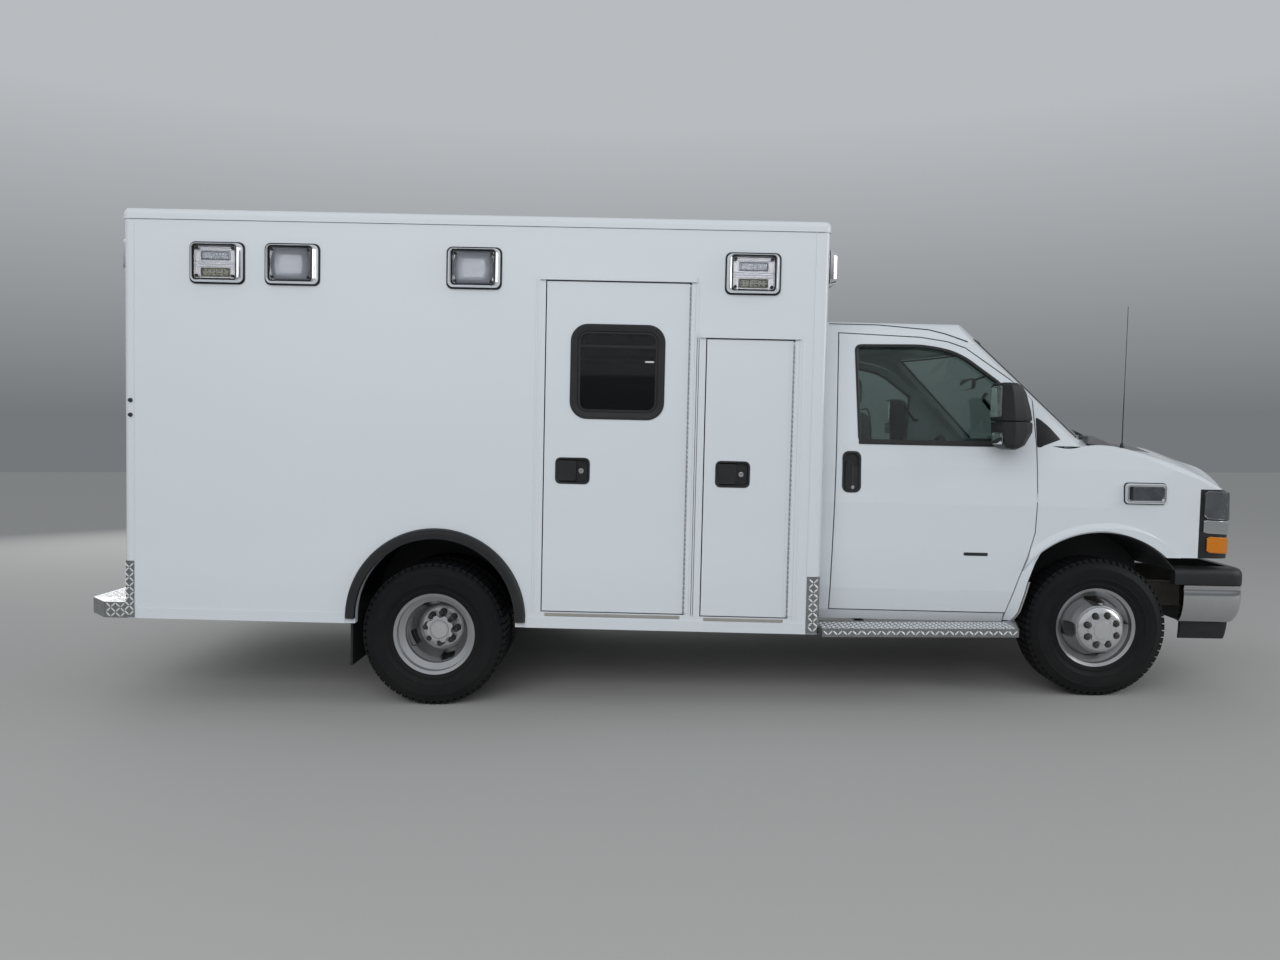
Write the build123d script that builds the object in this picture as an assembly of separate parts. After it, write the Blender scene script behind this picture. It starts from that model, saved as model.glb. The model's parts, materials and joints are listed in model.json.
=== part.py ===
from build123d import *
import math
import os

# Ambulance with a box-shaped patient module on a cutaway van chassis.
# Millimetres. X runs forward, Y to the vehicle's left, Z up, and the ground is Z = 0.
# Module measures along X start at the rear axle, cab measures along X at the front axle.
# The body sits nose down on its springs, so cab, module and frame are drawn level and then
# pitched by RAKE_DEG. Wheels and axles stay level.

# Stance
WHEELBASE = 3531.0
RAKE_DEG = 1.28
RAKE_PIVOT_Z = 500.0
RUNNING_GAP = 0.3

# Patient module, outside limits and wall
MOD_X = (-1605.0, WHEELBASE - 1531.0)
MOD_HALF_W = 1207.0
MOD_Z = (427.0, 2535.0)
MOD_WALL = 45.0
MOD_EDGE_R = 32.0
POST_W = 72.0
ROOF_RAIL_H = 56.0
ROOF_RAIL_T = 6.0
ROOF_T = 45.0
FLOOR_Z = (722.0, 762.0)
FLOOR_BEARER_X = (-1400.0, -700.0, 650.0, 1250.0, MOD_X[1] - 150.0)
FLOOR_BEARER_W = 80.0
FLOOR_BEARER_HALF_Y = 555.0
SKIRT_RAIL_H = 53.0
SKIRT_RAIL_T = 6.0
SEAM = 6.0

# Tyres and steel wheels
TYRE_R = 372.0
TYRE_HALF = 111.5
TYRE_BORE_R = 204.0
TREAD_HALF = 77.5
SHOULDER = (32.0, 107.5)
RIM_R = 220.5
RIM_HALF = 83.0
RIM_WALL = 7.0
RIM_LIP = 7.0
RIM_SEAT = 46.0
WELL_R = 172.0
WELL_HALF = 28.0
DISC_T = 10.0
DISC_OFFSET = 137.5
DISC_SHOULDER_R = 158.0
DISC_FACE_R = 118.0
DISC_BORE_R = 44.0
LUG_CIRCLE_R = 82.5
LUG_COUNT = 8
LUG_R = 13.0
LUG_H = 26.0
HAND_HOLE_COUNT = 4
HAND_HOLE_R = 143.0
HAND_HOLE_LENGTH = 84.0
HAND_HOLE_WIDTH = 36.0
FRONT_WHEEL_TURN = 2.5
REAR_WHEEL_TURN = 18.0
HUB_CAP_R = 48.0
HUB_CAP_H = 34.0
CAP_EDGE_R = 8.0
FRONT_TYRE_Y = 872.0
REAR_OUTER_Y = MOD_HALF_W - 122.0
REAR_DISC_Y = REAR_OUTER_Y - DISC_OFFSET
HUB_R = 62.0
SPINDLE_R = 34.0
ROTOR_R = 128.0
ROTOR_T = 20.0
ROTOR_Z = -36.0
DRUM_R = 150.0
DRUM_H = 130.0

# Steering
KINGPIN_Y = 790.0
BALL_R = 24.0
BALL_H = 24.0
KNUCKLE_HALF_H = 138.0
KNUCKLE_HALF_X = 45.0
KNUCKLE_Y = (-775.0, -735.0)
SPINDLE_END_Y = -985.0
STEER_ARM = (170.0, -60.0, -34.0)

# Chassis frame
RAIL_Y = (395.0, 455.0)
RAIL_Z = (545.0, 700.0)
RAIL_CAB_Z = (445.0, 590.0)
RAIL_NOSE_Z = (500.0, 640.0)
RAIL_REAR_X = -1560.0
RAIL_DROP_X = (WHEELBASE - 1831.0, WHEELBASE - 1511.0)
RAIL_RISE_X = (WHEELBASE - 391.0, WHEELBASE - 271.0)
CROSS_X = (-1450.0, -600.0, 620.0, RAIL_DROP_X[0] - 50.0)
CROSS_W = 60.0
CRADLE_HALF_X = 120.0
CRADLE_HALF_Y = 470.0
CRADLE_LOW_Z = 385.0
TOWER_HALF_T = 30.0
ARM_T = 26.0
ARM_HALF_X = 45.0

# Rear axle and its springs
AXLE_TUBE_R = 52.0
DIFF_R = 165.0
DIFF_NOSE = (150.0, 60.0, 160.0)
SPRING_Y = (470.0, 540.0)
SPRING_EYE_X = 640.0
SPRING_EYE_Z = (150.0, 178.0)
SPRING_SEAT_Z = (62.0, 112.0)
SPRING_SEAT_HALF = 70.0
SHAFT_R = 44.0
SHAFT_START_X = 225.0

# Engine and gearbox, tank and exhaust
ENGINE_X = (WHEELBASE - 571.0, WHEELBASE + 229.0)
ENGINE_HALF_Y = 290.0
ENGINE_Z = (480.0, 1040.0)
GEARBOX_X = WHEELBASE - 1231.0
GEARBOX_HALF_Y = 150.0
GEARBOX_Z = (400.0, 585.0)
RADIATOR_X = (369.0, 419.0)
RADIATOR_HALF_Y = 450.0
RADIATOR_TOP_Z = 1150.0
TANK_X = (-1410.0, -650.0)
TANK_HALF_Y = 330.0
TANK_Z = 440.0
TANK_EDGE_R = 40.0
SILENCER_X = (570.0, 1270.0)
SILENCER_R = 80.0
EXHAUST_Y = -250.0
EXHAUST_R = 28.0
TAILPIPE_X = 350.0

# Rear wheel opening in the module
ARCH_X = 15.0
ARCH_Z = 463.0
ARCH_R = 415.0
RING_R = 468.0
RING_OUTLINE = ((415.0, 33.0), (440.0, 33.0), (462.0, 21.0), (468.0, 0.0))
HOUSE_R = 440.0
HOUSE_T = 8.0
HOUSE_INNER_Y = REAR_OUTER_Y - 445.0
HOUSE_LOW_Z = 440.0
FLAP_X = (-437.0, -425.0)
FLAP_INNER_Y = 700.0
FLAP_Z = 196.0

# Side entry door and outside compartments: x limits, z limits
DOOR_BAY_X = (ARCH_X + RING_R + 77.0, MOD_X[1] - 167.0)
DOOR_POST_W = 81.0
ENTRY_SHARE = 0.6208
ENTRY_W = ENTRY_SHARE * (DOOR_BAY_X[1] - DOOR_BAY_X[0] - DOOR_POST_W)
ENTRY_X = (DOOR_BAY_X[0], DOOR_BAY_X[0] + ENTRY_W)
ENTRY_Z = (511.0, 2212.0)
ENTRY_WINDOW_X = (ENTRY_X[0] + 135.0, ENTRY_X[1] - 130.0)
ENTRY_WINDOW_Z = (1514.0, 1990.0)
WINDOW_R = 85.0
CURB_X = (ENTRY_X[1] + DOOR_POST_W, DOOR_BAY_X[1])
CURB_Z = (505.0, 1935.0)
STREET_FRONT_X = CURB_X
STREET_MIDDLE_X = (-390.0, 420.0)
STREET_MIDDLE_Z = (1010.0, 1935.0)
STREET_REAR_X = (-1465.0, -560.0)
COMPARTMENT_DEPTH = 480.0
LINER_T = 6.0
DRIP_H = 27.0
DRIP_T = 14.0
DRIP_REACH = 28.0
STEP_WELL_DEPTH = 300.0
STEP_WELL_Z = 492.0

# Way through from the cab
PASS_HALF_W = 330.0
PASS_Z = (780.0, 1900.0)

# Rear entry doors
REAR_DOOR_Y = 612.0
REAR_DOOR_Z = (774.0, 2212.0)
REAR_WINDOW_Y = (170.0, 500.0)
REAR_WINDOW_Z = (1514.0, 1990.0)
PANE_IN = 8.0

# Hinges of the module's doors: the pin stands just proud of the wall
HINGE_OUT = 5.0
HINGE_R = 4.5
LEAF_W = 20.0
LEAF_T = 2.5

# Pocket handles of the module's doors: from the opening edge, height, size, paddle's share
HANDLE_IN = 152.0
HANDLE_Z = 1243.0
HANDLE_SIZE = (172.0, 130.0)
HANDLE_R = 24.0
HANDLE_DEPTH = 18.0
PADDLE_SIZE = (96.0, 104.0)
PADDLE_SHIFT = 30.0
PADDLE_R = 12.0

# Bench along the curb side and cabinets along the street side
BENCH_X = (-1540.0, 480.0)
BENCH_Y = (MOD_HALF_W - MOD_WALL - 2.0, MOD_HALF_W - 592.0)
BENCH_LID_Z = (1130.0, 1180.0)
BENCH_PANEL_T = 15.0
CABINET_X = (-1500.0, MOD_X[1] - 700.0)
CABINET_Y = (MOD_HALF_W - 427.0, MOD_HALF_W - MOD_WALL - RUNNING_GAP)
CABINET_Z = (1960.0, MOD_Z[1] - ROOF_T - 20.0)
CABINET_T = 18.0
CABINET_BAYS = 4

# Rear step and tread plate guards on the corners
STEP_X = (MOD_X[0] - 251.0, MOD_X[0])
STEP_HALF_W = MOD_HALF_W - 27.0
STEP_Z = (420.0, 503.0)
STEP_CHAMFER = 130.0
GUARD_T = 2.5
GUARD_Z = (430.0, 725.0)
GUARD_REACH = (POST_W - 0.5, 56.0)
GUARD_HALF_Y = STEP_HALF_W + RUNNING_GAP

# Lamps on the module
LIGHT_W = 283.0
LIGHT_H = 213.0
LIGHT_T = 45.0
LIGHT_R = 30.0
SIDE_LIGHT_X = (-1120.0, -735.0, 193.0, MOD_X[1] - 390.0)
SIDE_LIGHT_Z = 2262.0
FRONT_LIGHT_Y = (MOD_HALF_W - 427.0, MOD_HALF_W - 147.0)
END_LIGHT_Z = 2312.0
END_LIGHT_W = 230.0
END_LIGHT_H = 180.0
END_LIGHT_R = 24.0
REAR_LIGHT_Y = (MOD_HALF_W - 472.0, MOD_HALF_W - 172.0)
TAIL_Y = MOD_HALF_W - 197.0
TAIL_Z = (640.0, 800.0, 960.0)
TAIL_W = 190.0
TAIL_H = 120.0
TAIL_T = 22.0

# Cab outline across the vehicle: half width, height
CAB_SIDE = ((960.0, 470.0), (985.0, 523.0), (1000.0, 640.0), (1006.0, 850.0),
            (1006.0, 1100.0), (990.0, 1300.0), (975.0, 1424.0), (885.0, 1950.0))
GUTTER = (845.0, 2040.0)
ROOF_EDGE = (740.0, 2083.0)
ROOF_CROWN_Z = 2130.0
ROOF_LINE = ((-1631.0, 2134.0), (-971.0, 2118.0), (-701.0, 2088.0), (-456.0, 2012.0),
             (469.0, 1500.0))
CAB_REAR_X = MOD_X[1] + 6.0 - WHEELBASE
CAB_WALL = 45.0
BELT_Z = 1424.0
SILL_INNER_Y = 915.0
SILL_Z = (470.0, 520.0)
LOW_Z = 400.0
PILLAR_X = -931.0
WALL_FRONT_X = -221.0
CAB_FAR_X = 869.0
CAB_REACH_Y = 1100.0
GREEN_INSET = 60.0
DOOR_T = 60.0
GLASS_T = 5.0
GLASS_IN = 25.0

# Windshield: its foot on the centre line, its slope, and its curve in plan
SHIELD_FOOT_X = 220.0
SHIELD_SLOPE = 41.2
SHIELD_R = 1514.0
SHIELD_LOW = (870.0, 1462.0)
SHIELD_HIGH = (765.0, 2008.0)
SHIELD_DEPTH = (4.0, 14.0)
SHIELD_SEAT = 3.0

# Cab door outline and its window, x and z in order round the edge
DOOR_OUTLINE = ((-1441.0, 526.0), (-1411.0, 2010.0), (-974.0, 1994.0), (-829.0, 1973.0),
                (-731.0, 1940.0), (-450.0, 1742.0), (-381.0, 1668.0), (-363.0, 1411.0),
                (-357.0, 1147.0), (-364.0, 961.0), (-398.0, 831.0), (-449.0, 686.0),
                (-500.0, 526.0))
DOOR_WINDOW = ((-1304.0, 1430.0), (-1321.0, 1944.0), (-972.0, 1950.0), (-875.0, 1937.0),
               (-802.0, 1920.0), (-729.0, 1886.0), (-546.0, 1752.0), (-546.0, 1430.0))
DOOR_WINDOW_R = 22.0
CAB_HINGE_X = -354.5
CAB_HINGE_Y = -1003.0
CAB_HINGE_Z = 1147.0
CAB_HINGE_R = 2.2
CAB_HINGE_H = 50.0
CAB_HANDLE_X = (-1391.0, -1299.0)
CAB_HANDLE_Z = (1157.0, 1370.0)
CAB_HANDLE_DEPTH = 15.0
CAB_GRIP_Z = (1172.0, 1290.0)

# Mirrors: arm limits and head limits
MIRROR_ARM = ((-546.0, -456.0), (-1120.0, -950.0), (1430.0, 1480.0))
MIRROR_HEAD = ((-631.0, -432.0), (-1240.0, -1060.0), (1420.0, 1746.0))
MIRROR_R = 24.0

# Front end stations: x, crown height, shoulder half width, shoulder height, side height
NOSE_STATIONS = ((-571.0, 1425.0, 962.0, 1423.0, 1405.0),
                 (-131.0, 1440.0, 955.0, 1421.0, 1385.0),
                 (229.0, 1446.0, 915.0, 1396.0, 1310.0),
                 (454.0, 1430.0, 890.0, 1326.0, 1235.0),
                 (594.0, 1380.0, 880.0, 1262.0, 1170.0),
                 (673.0, 1356.0, 870.0, 1214.0, 1130.0),
                 (799.0, 1262.0, 860.0, 1120.0, 1060.0))
NOSE_HALF = 1010.0
CROWN_HALF = 600.0
CROWN_DROP = 25.0
SHOULDER_DROP = 0.42
SIDE_ROLL = (0.32, 0.68)
NOSE_X = 769.0
NOSE_TAPER = (-131.0, 1012.0)
NOSE_CORNER = (704.0, 975.0)
NOSE_CORNER_R = 110.0
HOOD_REAR_X = 349.0
HOOD_HALF_W = 770.0
HOOD_T = 25.0
HOOD_GAP = 10.0
HOOD_HINGE_Z = 1450.0
HOOD_HINGE_HALF = 40.0
HOOD_LIP_Z = 1190.0
FENDER_T = 35.0
FENDER_REAR_X = -496.0
FENDER_LOW_Z = 842.0
FENDER_FOOT_Z = 480.0
LAMP_X = 517.0
LAMP_Y = HOOD_HALF_W - 80.0
LAMP_Z = (846.0, 1211.0)
LAMP_T = 60.0

# Front wheel openings with their rolled lips, and the liners behind them
FRONT_ARCH_X = 2.0
FRONT_ARCH_Z = 451.0
FRONT_ARCH_R = 520.0
LIP_OUTLINE = ((520.0, 1010.0), (528.0, 1018.0), (542.0, 1017.0), (573.0, 1004.0))
LIP_PROUD = 12.0
LIP_INNER_Y = 940.0
LIP_LOW_Z = 560.0
INNER_R = (512.7, FRONT_ARCH_R - RUNNING_GAP)
INNER_X = (-419.0, 404.0)
INNER_Y = (540.0, 1000.0)
APRON_T = 6.0
APRON_Z = 645.0

# Marker lamps on the front fenders
MARKER_X = (101.0, 330.0)
MARKER_Z = (1124.0, 1240.0)
MARKER_R = 22.0
MARKER_T = 25.0

# Grille: its openings between the bars, and how thick it is
GRILLE_REAR_X = 569.0
GRILLE_HALF_Y = 640.0
GRILLE_T = 40.0
GRILLE_GAPS = ((872.0, 904.0), (912.0, 944.0), (952.0, 984.0),
               (1032.0, 1064.0), (1072.0, 1104.0), (1112.0, 1144.0))

# Front bumper: front face on the centre line, corner, heights of pad and bar
BUMPER_X = 867.0
BUMPER_CORNER = (799.0, 962.0)
BUMPER_FLARE = 12.0
BUMPER_CORNER_R = 95.0
BUMPER_REAR_X = 461.0
PAD_REAR_X = 409.0
PAD_Z = (694.0, 790.0)
BAR_Z = (490.0, 693.7)
DAM_Z = (392.0, 489.7)
DAM_REAR_X = 484.0
DAM_INSET = 60.0
DAM_T = 20.0
BAR_LIP_T = 6.0
BAR_LIP_W = 85.0
BUMPER_T = 45.0

# Running boards, level over the ground
BOARD_X = (-1517.0, -442.0)
BOARD_OUTER_X = -506.0
BOARD_Y = (985.0, MOD_HALF_W)
BOARD_Z = (369.0, 412.0)
BRACKET_X = (-1281.0, -681.0)
BRACKET_W = 50.0
BRACKET_DROP = (26.0, 16.0)

# Cab inside
CAB_FLOOR_Z = (600.0, 640.0)
CAB_FLOOR_HALF_Y = 913.0
CAB_FLANGE_X = -506.0
CAB_FLANGE_W = 40.0
TOE_X = (-446.0, -426.0)
SHELF_Z = (940.0, 960.0)
FIREWALL_X = (-211.0, -191.0)
FIREWALL_Z = 1380.0
COVER_X = -691.0
COVER_HALF_Y = 320.0
COVER_Z = 1080.0
COVER_T = 15.0
CAB_MOUNT_X = (-1381.0, -831.0)
CAB_MOUNT_W = 80.0
DASH_X = (-421.0, FIREWALL_X[0] - RUNNING_GAP)
DASH_Z = (1140.0, 1395.0)
DASH_HALF_Y = 850.0
DASH_R = 50.0
STEERING_WHEEL = (-541.0, 420.0, 1300.0)
STEERING_WHEEL_R = 190.0
STEERING_GRIP_R = 14.0
STEERING_TILT = 62.0
SPOKE_TURNS = (0.0, 120.0, 240.0)
SPOKE_SIZE = (34.0, 12.0)
HORN_R = 48.0
COLUMN_R = 24.0
COLUMN_LENGTH = 200.0

# Inner post behind each front fender, which carries the windshield's foot
COWL_SIDE_X = (-349.0, FIREWALL_X[0])
COWL_SIDE_Y = (-944.7, -900.0)
COWL_Z = 1380.0

# Cab seats: box limits along, across and up of each block, and the back's leaning outline
SEAT_Y = (-690.0, -210.0)
SEAT_BASE = ((-1131.0, -771.0), (-620.0, -280.0), (CAB_FLOOR_Z[1] + RUNNING_GAP, 880.0))
SEAT_CUSHION_X = (-1201.0, -701.0)
SEAT_CUSHION_Z = (880.0, 1000.0)
SEAT_BACK = ((-1231.0, 940.0), (-1109.0, 960.0), (-1161.0, 1620.0), (-1269.0, 1620.0))
HEADREST = ((-1269.0, -1189.0), (-550.0, -350.0), (1620.0, 1800.0))
SEAT_R = 28.0


def block(x, y, z):
    """A box from its low and high limits along each axis."""
    size = (x[1] - x[0], y[1] - y[0], z[1] - z[0])
    return Pos((x[0] + x[1]) / 2, (y[0] + y[1]) / 2, (z[0] + z[1]) / 2) * Box(*size)


def both(shape):
    """The shape and its mirror image on the vehicle's other side."""
    return shape + mirror(shape, about=Plane.XZ)


def side_prism(outline, y):
    """An outline drawn in X and Z, carried across from y[0] to y[1]."""
    return Pos(0, y[0], 0) * extrude(Plane.XZ * outline, y[1] - y[0], dir=(0, 1, 0))


def cross_prism(outline, x):
    """An outline drawn in Y and Z, carried along from x[0] to x[1]."""
    return Pos(x[0], 0, 0) * extrude(Plane.YZ * outline, x[1] - x[0], dir=(1, 0, 0))


def plan_prism(outline, z):
    """An outline drawn in X and Y, carried up from z[0] to z[1]."""
    return Pos(0, 0, z[0]) * extrude(outline, z[1] - z[0], dir=(0, 0, 1))


def rounded_rect(x, z, radius):
    """A rectangle from its limits with rounded corners."""
    centre = ((x[0] + x[1]) / 2, (z[0] + z[1]) / 2)
    return Pos(*centre) * RectangleRounded(x[1] - x[0], z[1] - z[0], radius)


def grown(limits, amount):
    """Limits moved apart by the same amount at each end."""
    return (limits[0] - amount, limits[1] + amount)


def raked(shape):
    """A shape drawn level, pitched with the body on its springs."""
    return Pos(0, 0, RAKE_PIVOT_Z) * Rot(0, RAKE_DEG, 0) * Pos(0, 0, -RAKE_PIVOT_Z) * shape


def in_cab(shape):
    """A shape drawn from the front axle, put in its place and pitched with the body."""
    return raked(Pos(WHEELBASE, 0, 0) * shape)


def wheel_axis(shape, x, y):
    """A shape turned on Z, laid on the wheel centre with its outer face towards -Y."""
    return Pos(x, y, TYRE_R) * Rot(90, 0, 0) * shape


# Wheels, drawn on the Z axis with +Z outboard and the tyre's middle at Z = 0

def tyre():
    """Radial tyre with a flat tread, rounded shoulders and bulged sidewalls."""
    bead = RIM_HALF - RUNNING_GAP
    lip_r = RIM_R + 1.5
    wall_r = (TYRE_R + lip_r) / 2 - 6
    drop, wide = SHOULDER
    outline = Polyline((lip_r, -bead), (TYRE_BORE_R, -bead), (TYRE_BORE_R, bead), (lip_r, bead))
    edges = [outline, Polyline((TYRE_R, -TREAD_HALF), (TYRE_R, TREAD_HALF))]
    for s in (-1, 1):
        edges.append(ThreePointArc((TYRE_R, s * TREAD_HALF), (TYRE_R - 9, s * (wide - 10)),
                                   (TYRE_R - drop, s * wide)))
        edges.append(ThreePointArc((TYRE_R - drop, s * wide), (wall_r, s * TYRE_HALF),
                                   (lip_r, s * bead)))
    return revolve(Plane.XZ * make_face(edges), Axis.Z)


def rim_barrel():
    """Rolled rim with its two flanges and drop centre."""
    seat_r = TYRE_BORE_R - RUNNING_GAP
    flange = RIM_HALF + RIM_LIP
    outer = [(RIM_R, flange), (RIM_R, RIM_HALF), (seat_r, RIM_HALF),
             (seat_r - 2, RIM_SEAT), (WELL_R, WELL_HALF), (WELL_R, -WELL_HALF),
             (seat_r - 2, -RIM_SEAT), (seat_r, -RIM_HALF), (RIM_R, -RIM_HALF), (RIM_R, -flange)]
    in_r = TYRE_BORE_R - RIM_WALL
    inner = [(RIM_R - RIM_WALL, -flange), (in_r, 1 - RIM_HALF), (in_r - 2, -RIM_SEAT - 4),
             (WELL_R - RIM_WALL, -WELL_HALF - 3), (WELL_R - RIM_WALL, WELL_HALF + 3),
             (in_r - 2, RIM_SEAT + 4), (in_r, RIM_HALF - 1), (RIM_R - RIM_WALL, flange)]
    return revolve(Plane.XZ * Polygon(*outer, *inner, align=None), Axis.Z)


def disc():
    """Dished centre with its hub face out at DISC_OFFSET, hand holes and bolt circle."""
    face = DISC_OFFSET
    foot = WELL_R - 3
    rise = [(foot, 8), (DISC_SHOULDER_R, 40), (DISC_SHOULDER_R - 12, face - 34),
            (DISC_FACE_R + 10, face - 4), (DISC_FACE_R, face), (DISC_BORE_R, face),
            (DISC_BORE_R, face - DISC_T), (DISC_FACE_R - 6, face - DISC_T),
            (DISC_FACE_R + 4, face - 14), (DISC_SHOULDER_R - 21, face - 42),
            (DISC_SHOULDER_R - 10, 30), (foot, -6)]
    plate = revolve(Plane.XZ * Polygon(*rise, align=None), Axis.Z)
    slot = extrude(SlotOverall(HAND_HOLE_LENGTH, HAND_HOLE_WIDTH), 2 * WELL_R, both=True)
    for k in range(HAND_HOLE_COUNT):
        turn = Rot(0, 0, 360 / HAND_HOLE_COUNT * k)
        plate -= turn * Pos(HAND_HOLE_R, 0, 0) * Rot(0, 0, 90) * slot
    return plate


def lugs(base_z):
    """Wheel nuts on their circle, standing on the disc's face."""
    ring = Part()
    for k in range(LUG_COUNT):
        turn = Rot(0, 0, 360 / LUG_COUNT * (k + 0.5))
        ring += turn * Pos(LUG_CIRCLE_R, 0, base_z + LUG_H / 2) * Cylinder(LUG_R, LUG_H)
    return ring


def post(radius, z):
    """Cylinder on Z between two heights."""
    return Pos(0, 0, (z[0] + z[1]) / 2) * Cylinder(radius, z[1] - z[0])


def bored(radius, z, bore_end):
    """Cylinder bored from its low end for the spindle."""
    return post(radius, z) - post(SPINDLE_R + RUNNING_GAP, (z[0], bore_end))


def cap(radius, z):
    """Bare hub cap with a rounded outer edge."""
    return fillet(post(radius, z).edges().group_by(Axis.Z)[-1], CAP_EDGE_R)


def front_rim():
    """Front wheel with its disc bulging outboard, hub, rotor, nuts and bare centre cap."""
    face = DISC_OFFSET
    hub_low = -70
    bore_end = -SPINDLE_END_Y - FRONT_TYRE_Y + 2
    rotor_z = (ROTOR_Z - ROTOR_T / 2, ROTOR_Z + ROTOR_T / 2)
    wheel = rim_barrel() + disc() + lugs(face) + bored(HUB_R, (hub_low, face + 6), bore_end)
    wheel += cap(HUB_CAP_R, (face, face + HUB_CAP_H)) + bored(ROTOR_R, rotor_z, rotor_z[1])
    return Rot(0, 0, FRONT_WHEEL_TURN) * wheel


def rear_rims():
    """Twin rear wheels bolted disc to disc, with hub, drum, nuts and bare centre cap."""
    face = -DISC_OFFSET
    hub = (face - 160, face + 80)
    drum_low = face - DRUM_H - 10
    pair = Rot(180, 0, 0) * (rim_barrel() + disc())
    pair += Pos(0, 0, 2 * face) * (rim_barrel() + disc())
    pair += lugs(face + DISC_T) + cap(HUB_R - 4, (hub[1] - 4, hub[1] + 20))
    pair += bored(HUB_R, hub, face - 10)
    pair += bored(DRUM_R, (drum_low, drum_low + DRUM_H), drum_low + DRUM_H)
    return Rot(0, 0, REAR_WHEEL_TURN) * pair


def knuckle():
    """Right steering knuckle: upright, ball joints on the kingpin line, spindle and arm."""
    upright = block(grown((0, 0), KNUCKLE_HALF_X), KNUCKLE_Y,
                    (-KNUCKLE_HALF_H, KNUCKLE_HALF_H))
    lug_x = grown((0, 0), BALL_R)
    for z in ((-KNUCKLE_HALF_H, BALL_H - KNUCKLE_HALF_H),
              (KNUCKLE_HALF_H - BALL_H, KNUCKLE_HALF_H)):
        upright += block(lug_x, (-KINGPIN_Y, KNUCKLE_Y[1]), z)
        upright += Pos(0, -KINGPIN_Y, 0) * post(BALL_R, z)
    reach = KNUCKLE_Y[1] - SPINDLE_END_Y
    spindle = Pos(0, SPINDLE_END_Y + reach / 2, 0) * Rot(90, 0, 0) * Cylinder(SPINDLE_R, reach)
    length, low, high = STEER_ARM
    arm = block((-length, 0), KNUCKLE_Y, (low, high))
    return Pos(WHEELBASE, 0, TYRE_R) * (upright + spindle + arm)


def bumper_inner_x(y):
    """Inside face of the bumper bar at a distance from the centre line."""
    drop = BUMPER_X - BUMPER_CORNER[0]
    radius = (BUMPER_CORNER[1] ** 2 + drop ** 2) / (2 * drop)
    return BUMPER_X - radius + math.sqrt((radius - BUMPER_T) ** 2 - y ** 2)


# Chassis

def ladder():
    """Rails with their crossmembers and the engine cradle, drawn level."""
    front_x = WHEELBASE + bumper_inner_x(RAIL_Y[1]) - RUNNING_GAP
    low = [(RAIL_REAR_X, RAIL_Z[0]), (RAIL_DROP_X[0], RAIL_Z[0]), (RAIL_DROP_X[1], RAIL_CAB_Z[0]),
           (RAIL_RISE_X[0], RAIL_CAB_Z[0]), (RAIL_RISE_X[1], RAIL_NOSE_Z[0]),
           (front_x, RAIL_NOSE_Z[0])]
    high = [(front_x, RAIL_NOSE_Z[1]), (RAIL_RISE_X[1], RAIL_NOSE_Z[1]),
            (RAIL_RISE_X[0], RAIL_CAB_Z[1]), (RAIL_DROP_X[1], RAIL_CAB_Z[1]),
            (RAIL_DROP_X[0], RAIL_Z[1]), (RAIL_REAR_X, RAIL_Z[1])]
    frame = both(side_prism(Polygon(*low, *high, align=None), (-RAIL_Y[1], -RAIL_Y[0])))
    for x in CROSS_X:
        frame += block(grown((x, x), CROSS_W / 2), (-RAIL_Y[0], RAIL_Y[0]), grown(RAIL_Z, -25))
    cradle_x = grown((WHEELBASE, WHEELBASE), CRADLE_HALF_X)
    frame += block(cradle_x, (-CRADLE_HALF_Y, CRADLE_HALF_Y), (CRADLE_LOW_Z, ENGINE_Z[0]))
    return frame + both(block(cradle_x, (-CRADLE_HALF_Y, -RAIL_Y[0]),
                              (ENGINE_Z[0], RAIL_NOSE_Z[0])))


def suspension_arms():
    """Upper and lower front arms, which meet the knuckle's ball joints."""
    tower = grown((-CRADLE_HALF_Y, -CRADLE_HALF_Y), TOWER_HALF_T)
    reach = (-KINGPIN_Y + BALL_R, tower[1])
    end = (-KINGPIN_Y, reach[0])
    end_x = grown((WHEELBASE, WHEELBASE), BALL_R)
    under = TYRE_R - KNUCKLE_HALF_H - RUNNING_GAP
    over = TYRE_R + KNUCKLE_HALF_H + RUNNING_GAP
    x = grown((WHEELBASE, WHEELBASE), ARM_HALF_X)
    arms = block(x, tower, (under - ARM_T, over + ARM_T))
    for z in ((under - ARM_T, under), (over, over + ARM_T)):
        arms += block(x, reach, z) + block(end_x, end, z)
        arms += Pos(WHEELBASE, -KINGPIN_Y, 0) * post(BALL_R, z)
    return both(arms)


def spring_hangers():
    """Brackets on the rails at the ends of the leaf springs."""
    eye_z = (TYRE_R + SPRING_EYE_Z[0], TYRE_R + SPRING_EYE_Z[1])
    hangers = Part()
    for s in (-1, 1):
        x = s * (SPRING_EYE_X + RUNNING_GAP + 15)
        hangers += both(block(grown((x, x), 15), (-SPRING_Y[1], -RAIL_Y[0] - 20),
                              grown(eye_z, 40)))
    return hangers


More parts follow.
